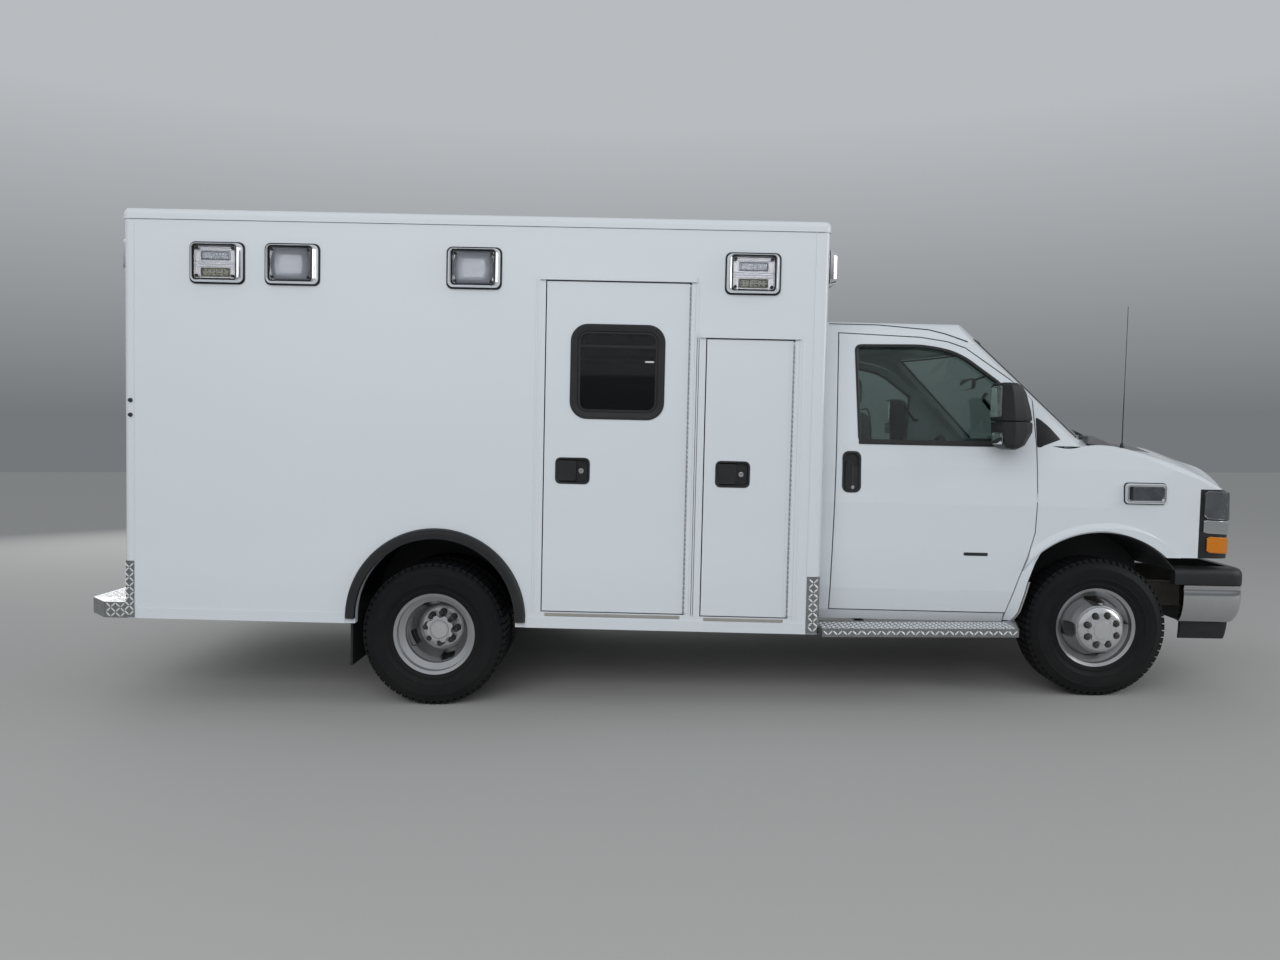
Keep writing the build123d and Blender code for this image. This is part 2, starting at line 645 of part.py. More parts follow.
def rear_axle():
    """Rear axle with its differential, leaf springs on their seats, and drive shaft."""
    tube = REAR_DISC_Y - 12
    nose_x, nose_r, nose_l = DIFF_NOSE
    axle = Rot(90, 0, 0) * Cylinder(SPINDLE_R, 2 * tube)
    axle += Rot(90, 0, 0) * Cylinder(AXLE_TUBE_R, 2 * (tube - 156))
    axle += Sphere(DIFF_R) + Pos(nose_x, 0, 0) * Rot(0, 90, 0) * Cylinder(nose_r, nose_l)
    end, low, high = SPRING_EYE_X, SPRING_EYE_Z[0], SPRING_EYE_Z[1]
    leaf = side_prism(make_face([
        ThreePointArc((-end, low), (0, SPRING_SEAT_Z[0]), (end, low)),
        Line((end, low), (end, high)),
        ThreePointArc((end, high), (0, SPRING_SEAT_Z[1]), (-end, high)),
        Line((-end, high), (-end, low))]), (-SPRING_Y[1], -SPRING_Y[0]))
    seat = block(grown((0, 0), SPRING_SEAT_HALF), grown((-SPRING_Y[1], -SPRING_Y[0]), 6), (0, 80))
    axle = Pos(0, 0, TYRE_R) * (axle + both(leaf + seat))
    box_end = Pos(GEARBOX_X, 0, (GEARBOX_Z[0] + GEARBOX_Z[1]) / 2) * Box(1, 1, 1)
    start = Vector(SHAFT_START_X, 0, TYRE_R)
    along = raked(box_end).center() - start
    length = along.length - 2.5
    return axle + Plane(origin=start, z_dir=along) * Pos(0, 0, length / 2) * Cylinder(
        SHAFT_R, length)


def engine_block():
    """Engine and gearbox as one plain mass at their real place."""
    engine = block(ENGINE_X, (-ENGINE_HALF_Y, ENGINE_HALF_Y), ENGINE_Z)
    return engine + block((GEARBOX_X, ENGINE_X[0]), (-GEARBOX_HALF_Y, GEARBOX_HALF_Y), GEARBOX_Z)


def radiator():
    """Radiator slab standing on the rails behind the grille."""
    return block(RADIATOR_X, (-RADIATOR_HALF_Y, RADIATOR_HALF_Y),
                 (RAIL_NOSE_Z[1] + RUNNING_GAP, RADIATOR_TOP_Z))


def fuel_tank():
    """Tank between the rails behind the rear axle, hung from the module's sills."""
    tank = block(TANK_X, (-TANK_HALF_Y, TANK_HALF_Y), (TANK_Z, RAIL_Z[1]))
    return fillet(tank.edges().filter_by(Axis.X), TANK_EDGE_R)


def exhaust():
    """Silencer under the crossmember, with its pipe from the engine and its tail."""
    z = RAIL_Z[0] + 25 - RUNNING_GAP - SILENCER_R
    pipes = Part()
    for radius, x in ((SILENCER_R, SILENCER_X), (EXHAUST_R, (SILENCER_X[1], ENGINE_X[0])),
                      (EXHAUST_R, (TAILPIPE_X, SILENCER_X[0]))):
        pipes += Pos(0, EXHAUST_Y, z) * Rot(0, 90, 0) * post(radius, x)
    return pipes


# Patient module

def arch_cut(y, radius):
    """Cylinder across the rear wheel opening."""
    middle = Pos(ARCH_X, (y[0] + y[1]) / 2, ARCH_Z)
    return middle * Rot(90, 0, 0) * Cylinder(radius, y[1] - y[0])


def drip_rail(x, z):
    """Gutter over a door, on the right wall."""
    return block(grown(x, DRIP_REACH), (-MOD_HALF_W - DRIP_T, -MOD_HALF_W), (z, z + DRIP_H))


def side_wall(openings):
    """Right module wall with its skirt rail, gutters, wheel opening and doorways."""
    inside = -MOD_HALF_W + MOD_WALL
    past = (-MOD_HALF_W - 60, inside + 10)
    x = (MOD_X[0] + POST_W, MOD_X[1] - POST_W)
    wall = block(x, (-MOD_HALF_W, inside), (MOD_Z[0], MOD_Z[1] - ROOF_RAIL_H))
    wall += block(x, (-MOD_HALF_W - SKIRT_RAIL_T, -MOD_HALF_W),
                  (MOD_Z[0], MOD_Z[0] + SKIRT_RAIL_H))
    for span, height in openings:
        wall += drip_rail(span, height[1])
    wall -= arch_cut(past, ARCH_R) + arch_cut((past[0], -MOD_HALF_W), RING_R)
    wall -= block(grown((ARCH_X, ARCH_X), ARCH_R), past, (MOD_Z[0] - 10, ARCH_Z))
    for span, height in openings:
        wall -= block(span, (-MOD_HALF_W - 2, past[1]), height)
        wall += hinge_strip(span[1], height)
    return wall


def hinge_strip(edge_x, z):
    """Wall leaf of a door's full-height hinge, beside the barrel."""
    start = edge_x - SEAM / 2 + HINGE_R + RUNNING_GAP
    return block((start, start + LEAF_W), (-MOD_HALF_W - HINGE_OUT, -MOD_HALF_W),
                 grown(z, -2 * SEAM))


def hinge_barrel(edge_x, z):
    """Door leaf and barrel of the same hinge, on the door's front edge."""
    axis_x = edge_x - SEAM / 2
    span = grown(z, -2 * SEAM)
    leaf = block((axis_x - LEAF_W, axis_x), (-MOD_HALF_W - LEAF_T, -MOD_HALF_W), span)
    return leaf + Pos(axis_x, -MOD_HALF_W - HINGE_OUT, 0) * post(HINGE_R, span)


def rounded_hull(growth, z, top_r):
    """Module's outline in plan grown by a distance, with its corners and top edge rounded."""
    x = grown(MOD_X, growth)
    y = grown((-MOD_HALF_W, MOD_HALF_W), growth)
    hull = block(x, y, z)
    hull = fillet(hull.edges().filter_by(Axis.Z), MOD_EDGE_R + growth)
    if top_r:
        hull = fillet(hull.faces().sort_by(Axis.Z)[-1].edges(), top_r)
    return hull


def module_frame():
    """Roof with its cornice and rounded edges, and the four corner posts that carry it."""
    rail_z = (MOD_Z[1] - ROOF_RAIL_H, MOD_Z[1])
    shell = rounded_hull(0, (MOD_Z[0], rail_z[0]), 0)
    shell += rounded_hull(ROOF_RAIL_T, rail_z, MOD_EDGE_R)
    inside_y = MOD_HALF_W - MOD_WALL
    low = MOD_Z[0] - 10
    shell -= block(grown(MOD_X, -MOD_WALL), (-inside_y, inside_y), (low, MOD_Z[1] - ROOF_T))
    post_y = MOD_HALF_W - POST_W
    far_y = MOD_HALF_W + 10
    shell -= block(grown(MOD_X, -POST_W), (-far_y, far_y), (low, rail_z[0]))
    return shell - block(grown(MOD_X, 10), (-post_y, post_y), (low, rail_z[0]))


def corner_guards():
    """Tread plate wrapped round the lower corners of the module."""
    sheet = rounded_hull(GUARD_T, GUARD_Z, 0) - rounded_hull(0, grown(GUARD_Z, 1), 0)
    far_y = MOD_HALF_W + 10
    gap_x = (MOD_X[0] + GUARD_REACH[1], MOD_X[1] - GUARD_REACH[0])
    sheet -= block(gap_x, (-far_y, far_y), grown(GUARD_Z, 1))
    return sheet - block(grown(MOD_X, 10), (-GUARD_HALF_Y, GUARD_HALF_Y), grown(GUARD_Z, 1))


def end_wall(x, low_z, doorway, y_limit):
    """Front or rear module wall between the corner posts."""
    half = MOD_HALF_W - POST_W
    wall = block(x, (-half, half), (low_z, MOD_Z[1] - ROOF_RAIL_H))
    return wall - block(grown(x, 10), (-y_limit, y_limit), doorway)


def module_floor():
    """Floor on its bearers, with the well inside the side entry."""
    inside = grown(MOD_X, -MOD_WALL - RUNNING_GAP)
    y = MOD_HALF_W - MOD_WALL - RUNNING_GAP
    floor = block(inside, (-y, y), FLOOR_Z)
    for x in FLOOR_BEARER_X:
        floor += block(grown((x, x), FLOOR_BEARER_W / 2),
                       (-FLOOR_BEARER_HALF_Y, FLOOR_BEARER_HALF_Y), (RAIL_Z[1], FLOOR_Z[0]))
    house_x = grown((ARCH_X, ARCH_X), HOUSE_R + HOUSE_T + RUNNING_GAP)
    floor -= both(block(house_x, (-y, -HOUSE_INNER_Y + RUNNING_GAP), grown(FLOOR_Z, 10)))
    well_y = -y + STEP_WELL_DEPTH
    well = block(ENTRY_X, (-y, well_y), (STEP_WELL_Z, FLOOR_Z[1]))
    hollow = block(grown(ENTRY_X, -LINER_T), (-y - 10, well_y - LINER_T),
                   (STEP_WELL_Z + LINER_T, FLOOR_Z[1] + 10))
    floor = floor + well - hollow
    curb = liner_block(CURB_X, CURB_Z, RUNNING_GAP)
    rear = liner_block(STREET_REAR_X, CURB_Z, RUNNING_GAP)
    return floor - both(curb) - mirror(rear, about=Plane.XZ)


def liner_block(x, z, gap=0.0):
    """Outside of one compartment's liner, behind its doorway on the right."""
    inside = -MOD_HALF_W + MOD_WALL
    y = grown((inside, inside + COMPARTMENT_DEPTH), gap)
    return block(grown(x, LINER_T + gap), y, grown(z, LINER_T + gap))


def liner(x, z):
    """Sheet box behind one doorway on the right, open to the outside."""
    inside = -MOD_HALF_W + MOD_WALL
    hollow = block(x, (inside - 10, inside + COMPARTMENT_DEPTH - LINER_T), z)
    return liner_block(x, z) - hollow


def compartment_liners():
    """Liners of the one curb side and the three street side compartments."""
    street = liner(STREET_FRONT_X, CURB_Z) + liner(STREET_MIDDLE_X, STREET_MIDDLE_Z)
    street += liner(STREET_REAR_X, CURB_Z)
    return liner(CURB_X, CURB_Z) + mirror(street, about=Plane.XZ)


def rear_houses():
    """Round-topped houses over the rear tyres."""
    y = (-MOD_HALF_W + MOD_WALL, -HOUSE_INNER_Y)
    r = HOUSE_R + HOUSE_T
    x = grown((ARCH_X, ARCH_X), r)
    outer = arch_cut(y, r) & block(x, y, (ARCH_Z, ARCH_Z + r))
    outer += block(x, y, (HOUSE_LOW_Z, ARCH_Z))
    hollow_y = (y[0] - 10, y[1] - HOUSE_T)
    hollow = arch_cut(hollow_y, HOUSE_R)
    hollow += block(grown(x, -HOUSE_T), hollow_y, (HOUSE_LOW_Z - 10, ARCH_Z))
    return both(outer - hollow)


def fender_rings():
    """Black flares round the rear wheel openings, with the flaps behind the wheels."""
    inner, crest, edge, foot = RING_OUTLINE
    profile = make_face([Polyline((inner[0], 0), inner, crest), Line(foot, (inner[0], 0)),
                         ThreePointArc(crest, (edge[0] - 6, edge[1] + 6), edge),
                         ThreePointArc(edge, (edge[0] + 4, edge[1] / 2), foot)])
    ring = revolve(Plane.XZ * profile, Axis.Z)
    ring = Pos(ARCH_X, -MOD_HALF_W, ARCH_Z) * Rot(90, 0, 0) * ring
    ring &= block(grown((ARCH_X, ARCH_X), RING_R + 1), (-MOD_HALF_W - 60, -MOD_HALF_W),
                  (ARCH_Z - 8, ARCH_Z + RING_R + 1))
    flap = block(FLAP_X, (-MOD_HALF_W + MOD_WALL, -FLAP_INNER_Y),
                 (FLAP_Z, HOUSE_LOW_Z - RUNNING_GAP))
    return both(ring + flap)


def rear_step():
    """Full-width step behind the module with chamfered corners."""
    near, far = STEP_X[1], STEP_X[0]
    half = STEP_HALF_W
    side = [(near, half), (far + STEP_CHAMFER, half), (far, half - STEP_CHAMFER)]
    mirrored = [(x, -y) for x, y in reversed(side)]
    return plan_prism(Polygon(*side, *mirrored, align=None), STEP_Z)


def lamp_on_end(y, z, x, width, height):
    """Surface lamp housing on the front or rear wall."""
    return cross_prism(Pos(y, z) * RectangleRounded(width, height, END_LIGHT_R), x)


def body_lights():
    """Warning, scene and tail lamps on the module."""
    lamps = Part()
    side_z = grown((SIDE_LIGHT_Z, SIDE_LIGHT_Z), LIGHT_H / 2)
    for x in SIDE_LIGHT_X:
        face = rounded_rect(grown((x, x), LIGHT_W / 2), side_z, LIGHT_R)
        lamps += both(side_prism(face, (-MOD_HALF_W - LIGHT_T, -MOD_HALF_W)))
    front_x = (MOD_X[1], MOD_X[1] + LIGHT_T)
    rear_x = (MOD_X[0] - LIGHT_T, MOD_X[0])
    for front_y, rear_y in zip(FRONT_LIGHT_Y, REAR_LIGHT_Y):
        lamps += both(lamp_on_end(front_y, END_LIGHT_Z, front_x, END_LIGHT_W, END_LIGHT_H))
        lamps += both(lamp_on_end(rear_y, END_LIGHT_Z, rear_x, END_LIGHT_W, END_LIGHT_H))
    for z in TAIL_Z:
        lamps += both(lamp_on_end(TAIL_Y, z, (MOD_X[0] - TAIL_T, MOD_X[0]), TAIL_W, TAIL_H))
    return lamps


def handle_outlines(centre):
    """Outlines of a pocket handle's recess and of the paddle in it."""
    recess = Pos(centre, HANDLE_Z) * RectangleRounded(*HANDLE_SIZE, HANDLE_R)
    paddle = Pos(centre - PADDLE_SHIFT, HANDLE_Z) * RectangleRounded(*PADDLE_SIZE, PADDLE_R)
    return recess, paddle


def module_door(x, z, window=None):
    """Right side door slab in its doorway, with its handle and its hinge pin."""
    y = (-MOD_HALF_W, -MOD_HALF_W + MOD_WALL - SEAM)
    slab = block(grown(x, -SEAM), y, grown(z, -SEAM)) + hinge_barrel(x[1], z)
    recess, paddle = handle_outlines(x[0] + HANDLE_IN)
    slab -= side_prism(recess, (y[0] - 1, y[0] + HANDLE_DEPTH))
    slab += side_prism(paddle, (y[0], y[0] + HANDLE_DEPTH))
    if window:
        slab -= side_prism(rounded_rect(*window, WINDOW_R), grown(y, 10))
    return slab


def entry_pane():
    """Glass set in the entry door's window opening."""
    face = rounded_rect(grown(ENTRY_WINDOW_X, -RUNNING_GAP),
                        grown(ENTRY_WINDOW_Z, -RUNNING_GAP), WINDOW_R)
    middle = -MOD_HALF_W + PANE_IN
    return side_prism(face, (middle, middle + GLASS_T))


def rear_door():
    """Right rear door slab with its window, handle and hinge."""
    x = (MOD_X[0], MOD_X[0] + MOD_WALL - SEAM)
    slab = block(x, (-REAR_DOOR_Y + SEAM, -SEAM / 2), grown(REAR_DOOR_Z, -SEAM))
    slab += rear_hinge(True)
    recess, paddle = handle_outlines(-HANDLE_IN)
    slab -= cross_prism(recess, (x[0] - 1, x[0] + HANDLE_DEPTH))
    slab += cross_prism(paddle, (x[0], x[0] + HANDLE_DEPTH))
    hole = rounded_rect((-REAR_WINDOW_Y[1], -REAR_WINDOW_Y[0]), REAR_WINDOW_Z, WINDOW_R)
    return slab - cross_prism(hole, grown(x, 10))


def rear_hinge(on_door):
    """Barrel and leaf on the right rear door, or the leaf beside them on the wall."""
    axis_y = -REAR_DOOR_Y + SEAM / 2
    span = grown(REAR_DOOR_Z, -2 * SEAM)
    if not on_door:
        edge = axis_y - HINGE_R - RUNNING_GAP
        return block((MOD_X[0] - HINGE_OUT, MOD_X[0]), (edge - LEAF_W, edge), span)
    leaf = block((MOD_X[0] - LEAF_T, MOD_X[0]), (axis_y, axis_y + LEAF_W), span)
    return leaf + Pos(MOD_X[0] - HINGE_OUT, axis_y, 0) * post(HINGE_R, span)


def rear_pane():
    """Glass of the right rear door."""
    span = grown((-REAR_WINDOW_Y[1], -REAR_WINDOW_Y[0]), -RUNNING_GAP)
    face = rounded_rect(span, grown(REAR_WINDOW_Z, -RUNNING_GAP), WINDOW_R)
    return cross_prism(face, (MOD_X[0] + PANE_IN, MOD_X[0] + PANE_IN + GLASS_T))


def patient_bench():
    """Bench along the curb side: lid, front panel and end panel over the wheelhouse."""
    back, front = -BENCH_Y[0], -BENCH_Y[1]
    panel_z = (FLOOR_Z[1] + RUNNING_GAP, BENCH_LID_Z[0])
    bench = block(BENCH_X, (back, front), BENCH_LID_Z)
    bench += block(BENCH_X, (front - BENCH_PANEL_T, front), panel_z)
    return bench + block((BENCH_X[1] - BENCH_PANEL_T, BENCH_X[1]), (back, front), panel_z)


def patient_cabinets():
    """Row of open cabinets under the roof along the street side."""
    cabinets = block(CABINET_X, CABINET_Y, CABINET_Z)
    bay = (CABINET_X[1] - CABINET_X[0] - CABINET_T) / CABINET_BAYS
    for k in range(CABINET_BAYS):
        x = CABINET_X[0] + CABINET_T + k * bay
        cabinets -= block((x, x + bay - CABINET_T), (CABINET_Y[0] - 1, CABINET_Y[1] - CABINET_T),
                          grown(CABINET_Z, -CABINET_T))
    return cabinets


# Cab, drawn from the front axle

def cab_face(inset=0.0):
    """Cab outline across the vehicle, or the same outline inset by a wall."""
    edges = []
    for s in (-1, 1):
        side = [(s * y, z) for y, z in CAB_SIDE]
        edges.append(Polyline(*side))
        edges.append(ThreePointArc(side[-1], (s * GUTTER[0], GUTTER[1]),
                                   (s * ROOF_EDGE[0], ROOF_EDGE[1])))
    edges.append(ThreePointArc((-ROOF_EDGE[0], ROOF_EDGE[1]), (0, ROOF_CROWN_Z), ROOF_EDGE))
    edges.append(Line((-CAB_SIDE[0][0], CAB_SIDE[0][1]), CAB_SIDE[0]))
    face = make_face(edges)
    if inset:
        face = offset(face, amount=-inset, kind=Kind.INTERSECTION)
    return face


def cab_body(x_start):
    """Everything inside the cab's outline from one station to past the bumper."""
    return cross_prism(cab_face(), (x_start, CAB_FAR_X))


def shield_prism(back=0.0):
    """Everything behind the windshield's outer face, moved back by a distance."""
    slope = math.radians(SHIELD_SLOPE)
    edge_x = SHIELD_FOOT_X - SHIELD_R + math.sqrt(SHIELD_R ** 2 - CAB_REACH_Y ** 2)
    rear_x = CAB_REAR_X - 2 * CAB_REACH_Y
    outline = make_face([
        Polyline((edge_x, -CAB_REACH_Y), (rear_x, -CAB_REACH_Y), (rear_x, CAB_REACH_Y),
                 (edge_x, CAB_REACH_Y)),
        ThreePointArc((edge_x, CAB_REACH_Y), (SHIELD_FOOT_X, 0), (edge_x, -CAB_REACH_Y))])
    direction = (-math.cos(slope), 0, math.sin(slope))
    return Pos(-back, 0, BELT_Z) * extrude(outline, CAB_REACH_Y / math.sin(slope), dir=direction)


def roof_prism(drop=0.0):
    """Everything under the roof's line from the side."""
    rear, edge, bend, brow, far = ROOF_LINE
    outline = make_face([
        Polyline(edge, rear, (rear[0], BELT_Z), (far[0], BELT_Z), far, brow),
        ThreePointArc(brow, bend, edge)])
    return Pos(0, 0, -drop) * side_prism(outline, (-CAB_REACH_Y, CAB_REACH_Y))


def nose_section(station):
    """One section of the front end: crown, shoulders rolled over to the sides, straight foot."""
    x, crown, edge_y, edge_z, side_z = station
    top = crown - CROWN_DROP
    mid_y = (CROWN_HALF + edge_y) / 2
    mid_z = top - SHOULDER_DROP * (top - edge_z)
    roll_y = NOSE_HALF - SIDE_ROLL[0] * (NOSE_HALF - edge_y)
    roll_z = side_z + SIDE_ROLL[1] * (edge_z - side_z)
    edges = [ThreePointArc((-CROWN_HALF, top), (0, crown), (CROWN_HALF, top)),
             Line((-NOSE_HALF, LOW_Z), (NOSE_HALF, LOW_Z))]
    for s in (-1, 1):
        edges.append(ThreePointArc((s * CROWN_HALF, top), (s * mid_y, mid_z),
                                   (s * edge_y, edge_z)))
        edges.append(ThreePointArc((s * edge_y, edge_z), (s * roll_y, roll_z),
                                   (s * NOSE_HALF, side_z)))
        edges.append(Line((s * NOSE_HALF, side_z), (s * NOSE_HALF, LOW_Z)))
    return Pos(x, 0, 0) * (Plane.YZ * make_face(edges))


def nose_block():
    """Solid under the hood and fender surfaces, with the rounded front corners."""
    solid = loft([nose_section(station) for station in NOSE_STATIONS])
    corner = NOSE_CORNER
    rear_x = NOSE_STATIONS[0][0] - 60
    taper_x, half = NOSE_TAPER
    plan = make_face([
        Polyline((corner[0], -corner[1]), (taper_x, -half), (rear_x, -half), (rear_x, half),
                 (taper_x, half), corner),
        ThreePointArc(corner, (NOSE_X, 0), (corner[0], -corner[1]))])
    rounded = fillet(plan.vertices().sort_by(Axis.X)[-2:], NOSE_CORNER_R)
    return solid & plan_prism(rounded, (LOW_Z, BELT_Z + 200)) & cab_body(rear_x)


def door_prism(grow):
    """The cab door's outline, grown by a seam, carried across the right side."""
    face = Polygon(*DOOR_OUTLINE, align=None)
    if grow:
        face = offset(face, amount=grow, kind=Kind.INTERSECTION)
    return side_prism(face, (-CAB_REACH_Y, -SILL_INNER_Y + 215))


def shield_outline(gap=0.0):
    """Windshield's opening seen from the front, or the glass in it."""
    low, high = SHIELD_LOW, SHIELD_HIGH
    face = Polygon((-low[0], low[1]), low, high, (-high[0], high[1]), align=None)
    if gap:
        face = offset(face, amount=-gap, kind=Kind.INTERSECTION)
    return face


def cab_shell():
    """Roof, pillars, rear frame and sills of the cab, open for doors and windshield."""
    across = (-CAB_REACH_Y, CAB_REACH_Y)
    start = CAB_REAR_X - 10
    body = cab_body(CAB_REAR_X)
    low_part = block((CAB_REAR_X, PILLAR_X), across, (LOW_Z, BELT_Z))
    low_part += block((CAB_REAR_X, DOOR_OUTLINE[-1][0] - SEAM), across,
                      (LOW_Z, DOOR_OUTLINE[-1][1] + 4))
    void = cross_prism(cab_face(CAB_WALL), (start, CAB_FAR_X))
    void_low = void & block((start, WALL_FRONT_X), across, (LOW_Z, BELT_Z))
    void_high = void & shield_prism(GREEN_INSET) & roof_prism(CAB_WALL)
    underside = block((start, WALL_FRONT_X), (-SILL_INNER_Y, SILL_INNER_Y),
                      (LOW_Z, DOOR_OUTLINE[-1][1] + 4))
    shell = (body & shield_prism() & roof_prism()) + (body & low_part)
    shell = shell - void_high - void_low - underside - both(door_prism(SEAM))
    shell -= cross_prism(shield_outline(), (PILLAR_X, CAB_FAR_X))
    return shell + both(block(COWL_SIDE_X, COWL_SIDE_Y, (SHELF_Z[1], BELT_Z)))


def windshield():
    """Curved glass in the windshield's opening."""
    glass = cross_prism(shield_outline(RUNNING_GAP), (PILLAR_X, CAB_FAR_X))
    return glass & shield_prism(SHIELD_DEPTH[0]) - shield_prism(SHIELD_DEPTH[1])


def cab_door(body, window):
    """Right cab door with its window frame, pull handle and hinge pin."""
    door = door_prism(0) & body - Pos(0, DOOR_T, 0) * body
    recess = rounded_rect(CAB_HANDLE_X, CAB_HANDLE_Z, HANDLE_R)
    grip = rounded_rect(grown(CAB_HANDLE_X, -14), CAB_GRIP_Z, PADDLE_R)
    floor = Pos(0, CAB_HANDLE_DEPTH, 0) * body
    reach = (-CAB_REACH_Y, -SILL_INNER_Y)
    door -= side_prism(recess, reach) - floor
    door += side_prism(grip, reach) & body - Pos(0, CAB_HANDLE_DEPTH + 1, 0) * body
    pin_z = grown((CAB_HINGE_Z, CAB_HINGE_Z), CAB_HINGE_H / 2)
    door += Pos(CAB_HINGE_X, CAB_HINGE_Y, 0) * post(CAB_HINGE_R, pin_z)
    door += block((CAB_HINGE_X - 12, CAB_HINGE_X), grown((CAB_HINGE_Y, CAB_HINGE_Y), 1.5),
                  pin_z) & body
    return door - side_prism(window, (-CAB_REACH_Y, -700))


def cab_pane(body, window):
    """Right door's glass, inside the door's window opening."""
    pane = side_prism(offset(window, amount=-RUNNING_GAP), (-CAB_REACH_Y, -700))
    return pane & (Pos(0, GLASS_IN, 0) * body) - Pos(0, GLASS_IN + GLASS_T, 0) * body


def mirror_unit(body):
    """Right door mirror, its arm resting on the door."""
    head = fillet(block(*MIRROR_HEAD).edges(), MIRROR_R)
    return block(*MIRROR_ARM) + head - body


def arch_lip(nose):
    """Rolled lip round the right front wheel opening."""
    inner, crest, edge, foot = LIP_OUTLINE
    profile = Polygon((inner[0], LIP_INNER_Y), inner, crest, edge, foot, (foot[0], LIP_INNER_Y),
                      align=None)
    ring = Pos(FRONT_ARCH_X, 0, FRONT_ARCH_Z) * Rot(90, 0, 0) * revolve(
        Plane.XZ * profile, Axis.Z)
    lip = ring & (Pos(0, -LIP_PROUD, 0) * nose)
    reach = (-CAB_REACH_Y, -700)
    lip -= block((FENDER_REAR_X - 200, CAB_FAR_X), reach, (LOW_Z - 200, LIP_LOW_Z))
    return lip - block((FRONT_ARCH_X, CAB_FAR_X), reach, (LIP_LOW_Z - 10, FENDER_LOW_Z))


def fender(nose):
    """Right front fender round its wheel opening, clear of door, hood, lamp and windshield."""
    skin = nose & block((FENDER_REAR_X, CAB_FAR_X), (-CAB_REACH_Y, -HOOD_HALF_W - SEAM),
                        (LOW_Z, BELT_Z + 40))
    skin -= Pos(0, FENDER_T, -30) * nose
    reach = (-CAB_REACH_Y, -700)
    rear_x = FENDER_REAR_X - 200
    skin -= block((FRONT_ARCH_X, CAB_FAR_X), reach, (LOW_Z, FENDER_LOW_Z))
    skin -= block((rear_x, FRONT_ARCH_X), reach, (LOW_Z - 10, FENDER_FOOT_Z))
    skin -= block((LAMP_X, CAB_FAR_X), (-CAB_REACH_Y, -LAMP_Y), (LAMP_Z[0] - 10, LAMP_Z[1]))
    skin += arch_lip(nose)
    skin -= Pos(FRONT_ARCH_X, -900, FRONT_ARCH_Z) * Rot(90, 0, 0) * Cylinder(FRONT_ARCH_R, 400)
    skin -= door_prism(SEAM)
    skin -= block((rear_x, FIREWALL_X[1] + SEAM), (COWL_SIDE_Y[0] - RUNNING_GAP, -700),
                  (SHELF_Z[1], BELT_Z + 200))
    return skin - shield_prism(-SHIELD_SEAT)


def arch_liner(nose):
    """Liner behind the right front wheel opening, with its apron beside the engine bay."""
    y = (-INNER_Y[1], -INNER_Y[0])
    middle = Pos(FRONT_ARCH_X, (y[0] + y[1]) / 2, FRONT_ARCH_Z) * Rot(90, 0, 0)
    shell = middle * (Cylinder(INNER_R[1], y[1] - y[0]) - Cylinder(INNER_R[0], y[1] - y[0]))
    apron = Pos(FRONT_ARCH_X, y[1] - APRON_T / 2, FRONT_ARCH_Z) * Rot(90, 0, 0) * Cylinder(
        INNER_R[1], APRON_T)
    inside = Pos(0, FENDER_T / 2, 0) * nose
    return (shell + apron) & block(INNER_X, y, (APRON_Z, BELT_Z)) & inside


def headlamp(nose):
    """Right headlamp, wrapped round the corner in the nose's surface."""
    fit = block((LAMP_X + RUNNING_GAP, CAB_FAR_X), (-CAB_REACH_Y, -LAMP_Y - RUNNING_GAP),
                (FENDER_LOW_Z, LAMP_Z[1] - RUNNING_GAP))
    return nose & fit - Pos(-LAMP_T, LAMP_T, 0) * nose


def marker_lamp(nose):
    """Marker lamp standing on the right front fender."""
    face = rounded_rect(MARKER_X, MARKER_Z, MARKER_R)
    lamp = side_prism(face, (-CAB_REACH_Y, -SILL_INNER_Y)) & (Pos(0, -MARKER_T, 0) * nose)
    return lamp - Pos(0, -RUNNING_GAP, 0) * nose


def hood(nose):
    """Hood skin with its hinge along the rear edge."""
    lid = nose & block((HOOD_REAR_X, CAB_FAR_X), (-HOOD_HALF_W, HOOD_HALF_W),
                       (HOOD_LIP_Z, BELT_Z + 100))
    lid -= Pos(-HOOD_T, 0, -HOOD_T) * nose
    lid -= both(block((LAMP_X - 48, CAB_FAR_X), (-HOOD_HALF_W - 1, -LAMP_Y + SEAM),
                      (HOOD_LIP_Z, LAMP_Z[1] + SEAM)))
    hinge_x = HOOD_REAR_X - HOOD_GAP / 2
    pin = Pos(hinge_x, 0, HOOD_HINGE_Z) * Rot(90, 0, 0) * Cylinder(
        HOOD_GAP / 2 - RUNNING_GAP, 2 * HOOD_HINGE_HALF)
    tie = block((hinge_x, HOOD_REAR_X + 5), (-HOOD_HINGE_HALF, HOOD_HINGE_HALF),
                grown((HOOD_HINGE_Z, HOOD_HINGE_Z), 2)) & nose
    return lid + pin + tie


def grille(nose):
    """Grille in the nose's surface, with horizontal bars."""
    shell = nose & block((GRILLE_REAR_X, CAB_FAR_X), (-LAMP_Y, LAMP_Y),
                         (FENDER_LOW_Z, HOOD_LIP_Z - SEAM))
    shell -= Pos(-GRILLE_T, 0, 0) * nose
    for gap in GRILLE_GAPS:
        shell -= block((GRILLE_REAR_X, CAB_FAR_X), (-GRILLE_HALF_Y, GRILLE_HALF_Y), gap)
    return shell


def cowl(nose):
    """Panel between the hood and the windshield's foot."""
    half = HOOD_HALF_W + SEAM - RUNNING_GAP
    panel = nose & block((FIREWALL_X[0], HOOD_REAR_X - HOOD_GAP), (-half, half),
                         (COWL_Z, BELT_Z + 100))
    return panel - shield_prism(-SHIELD_SEAT)


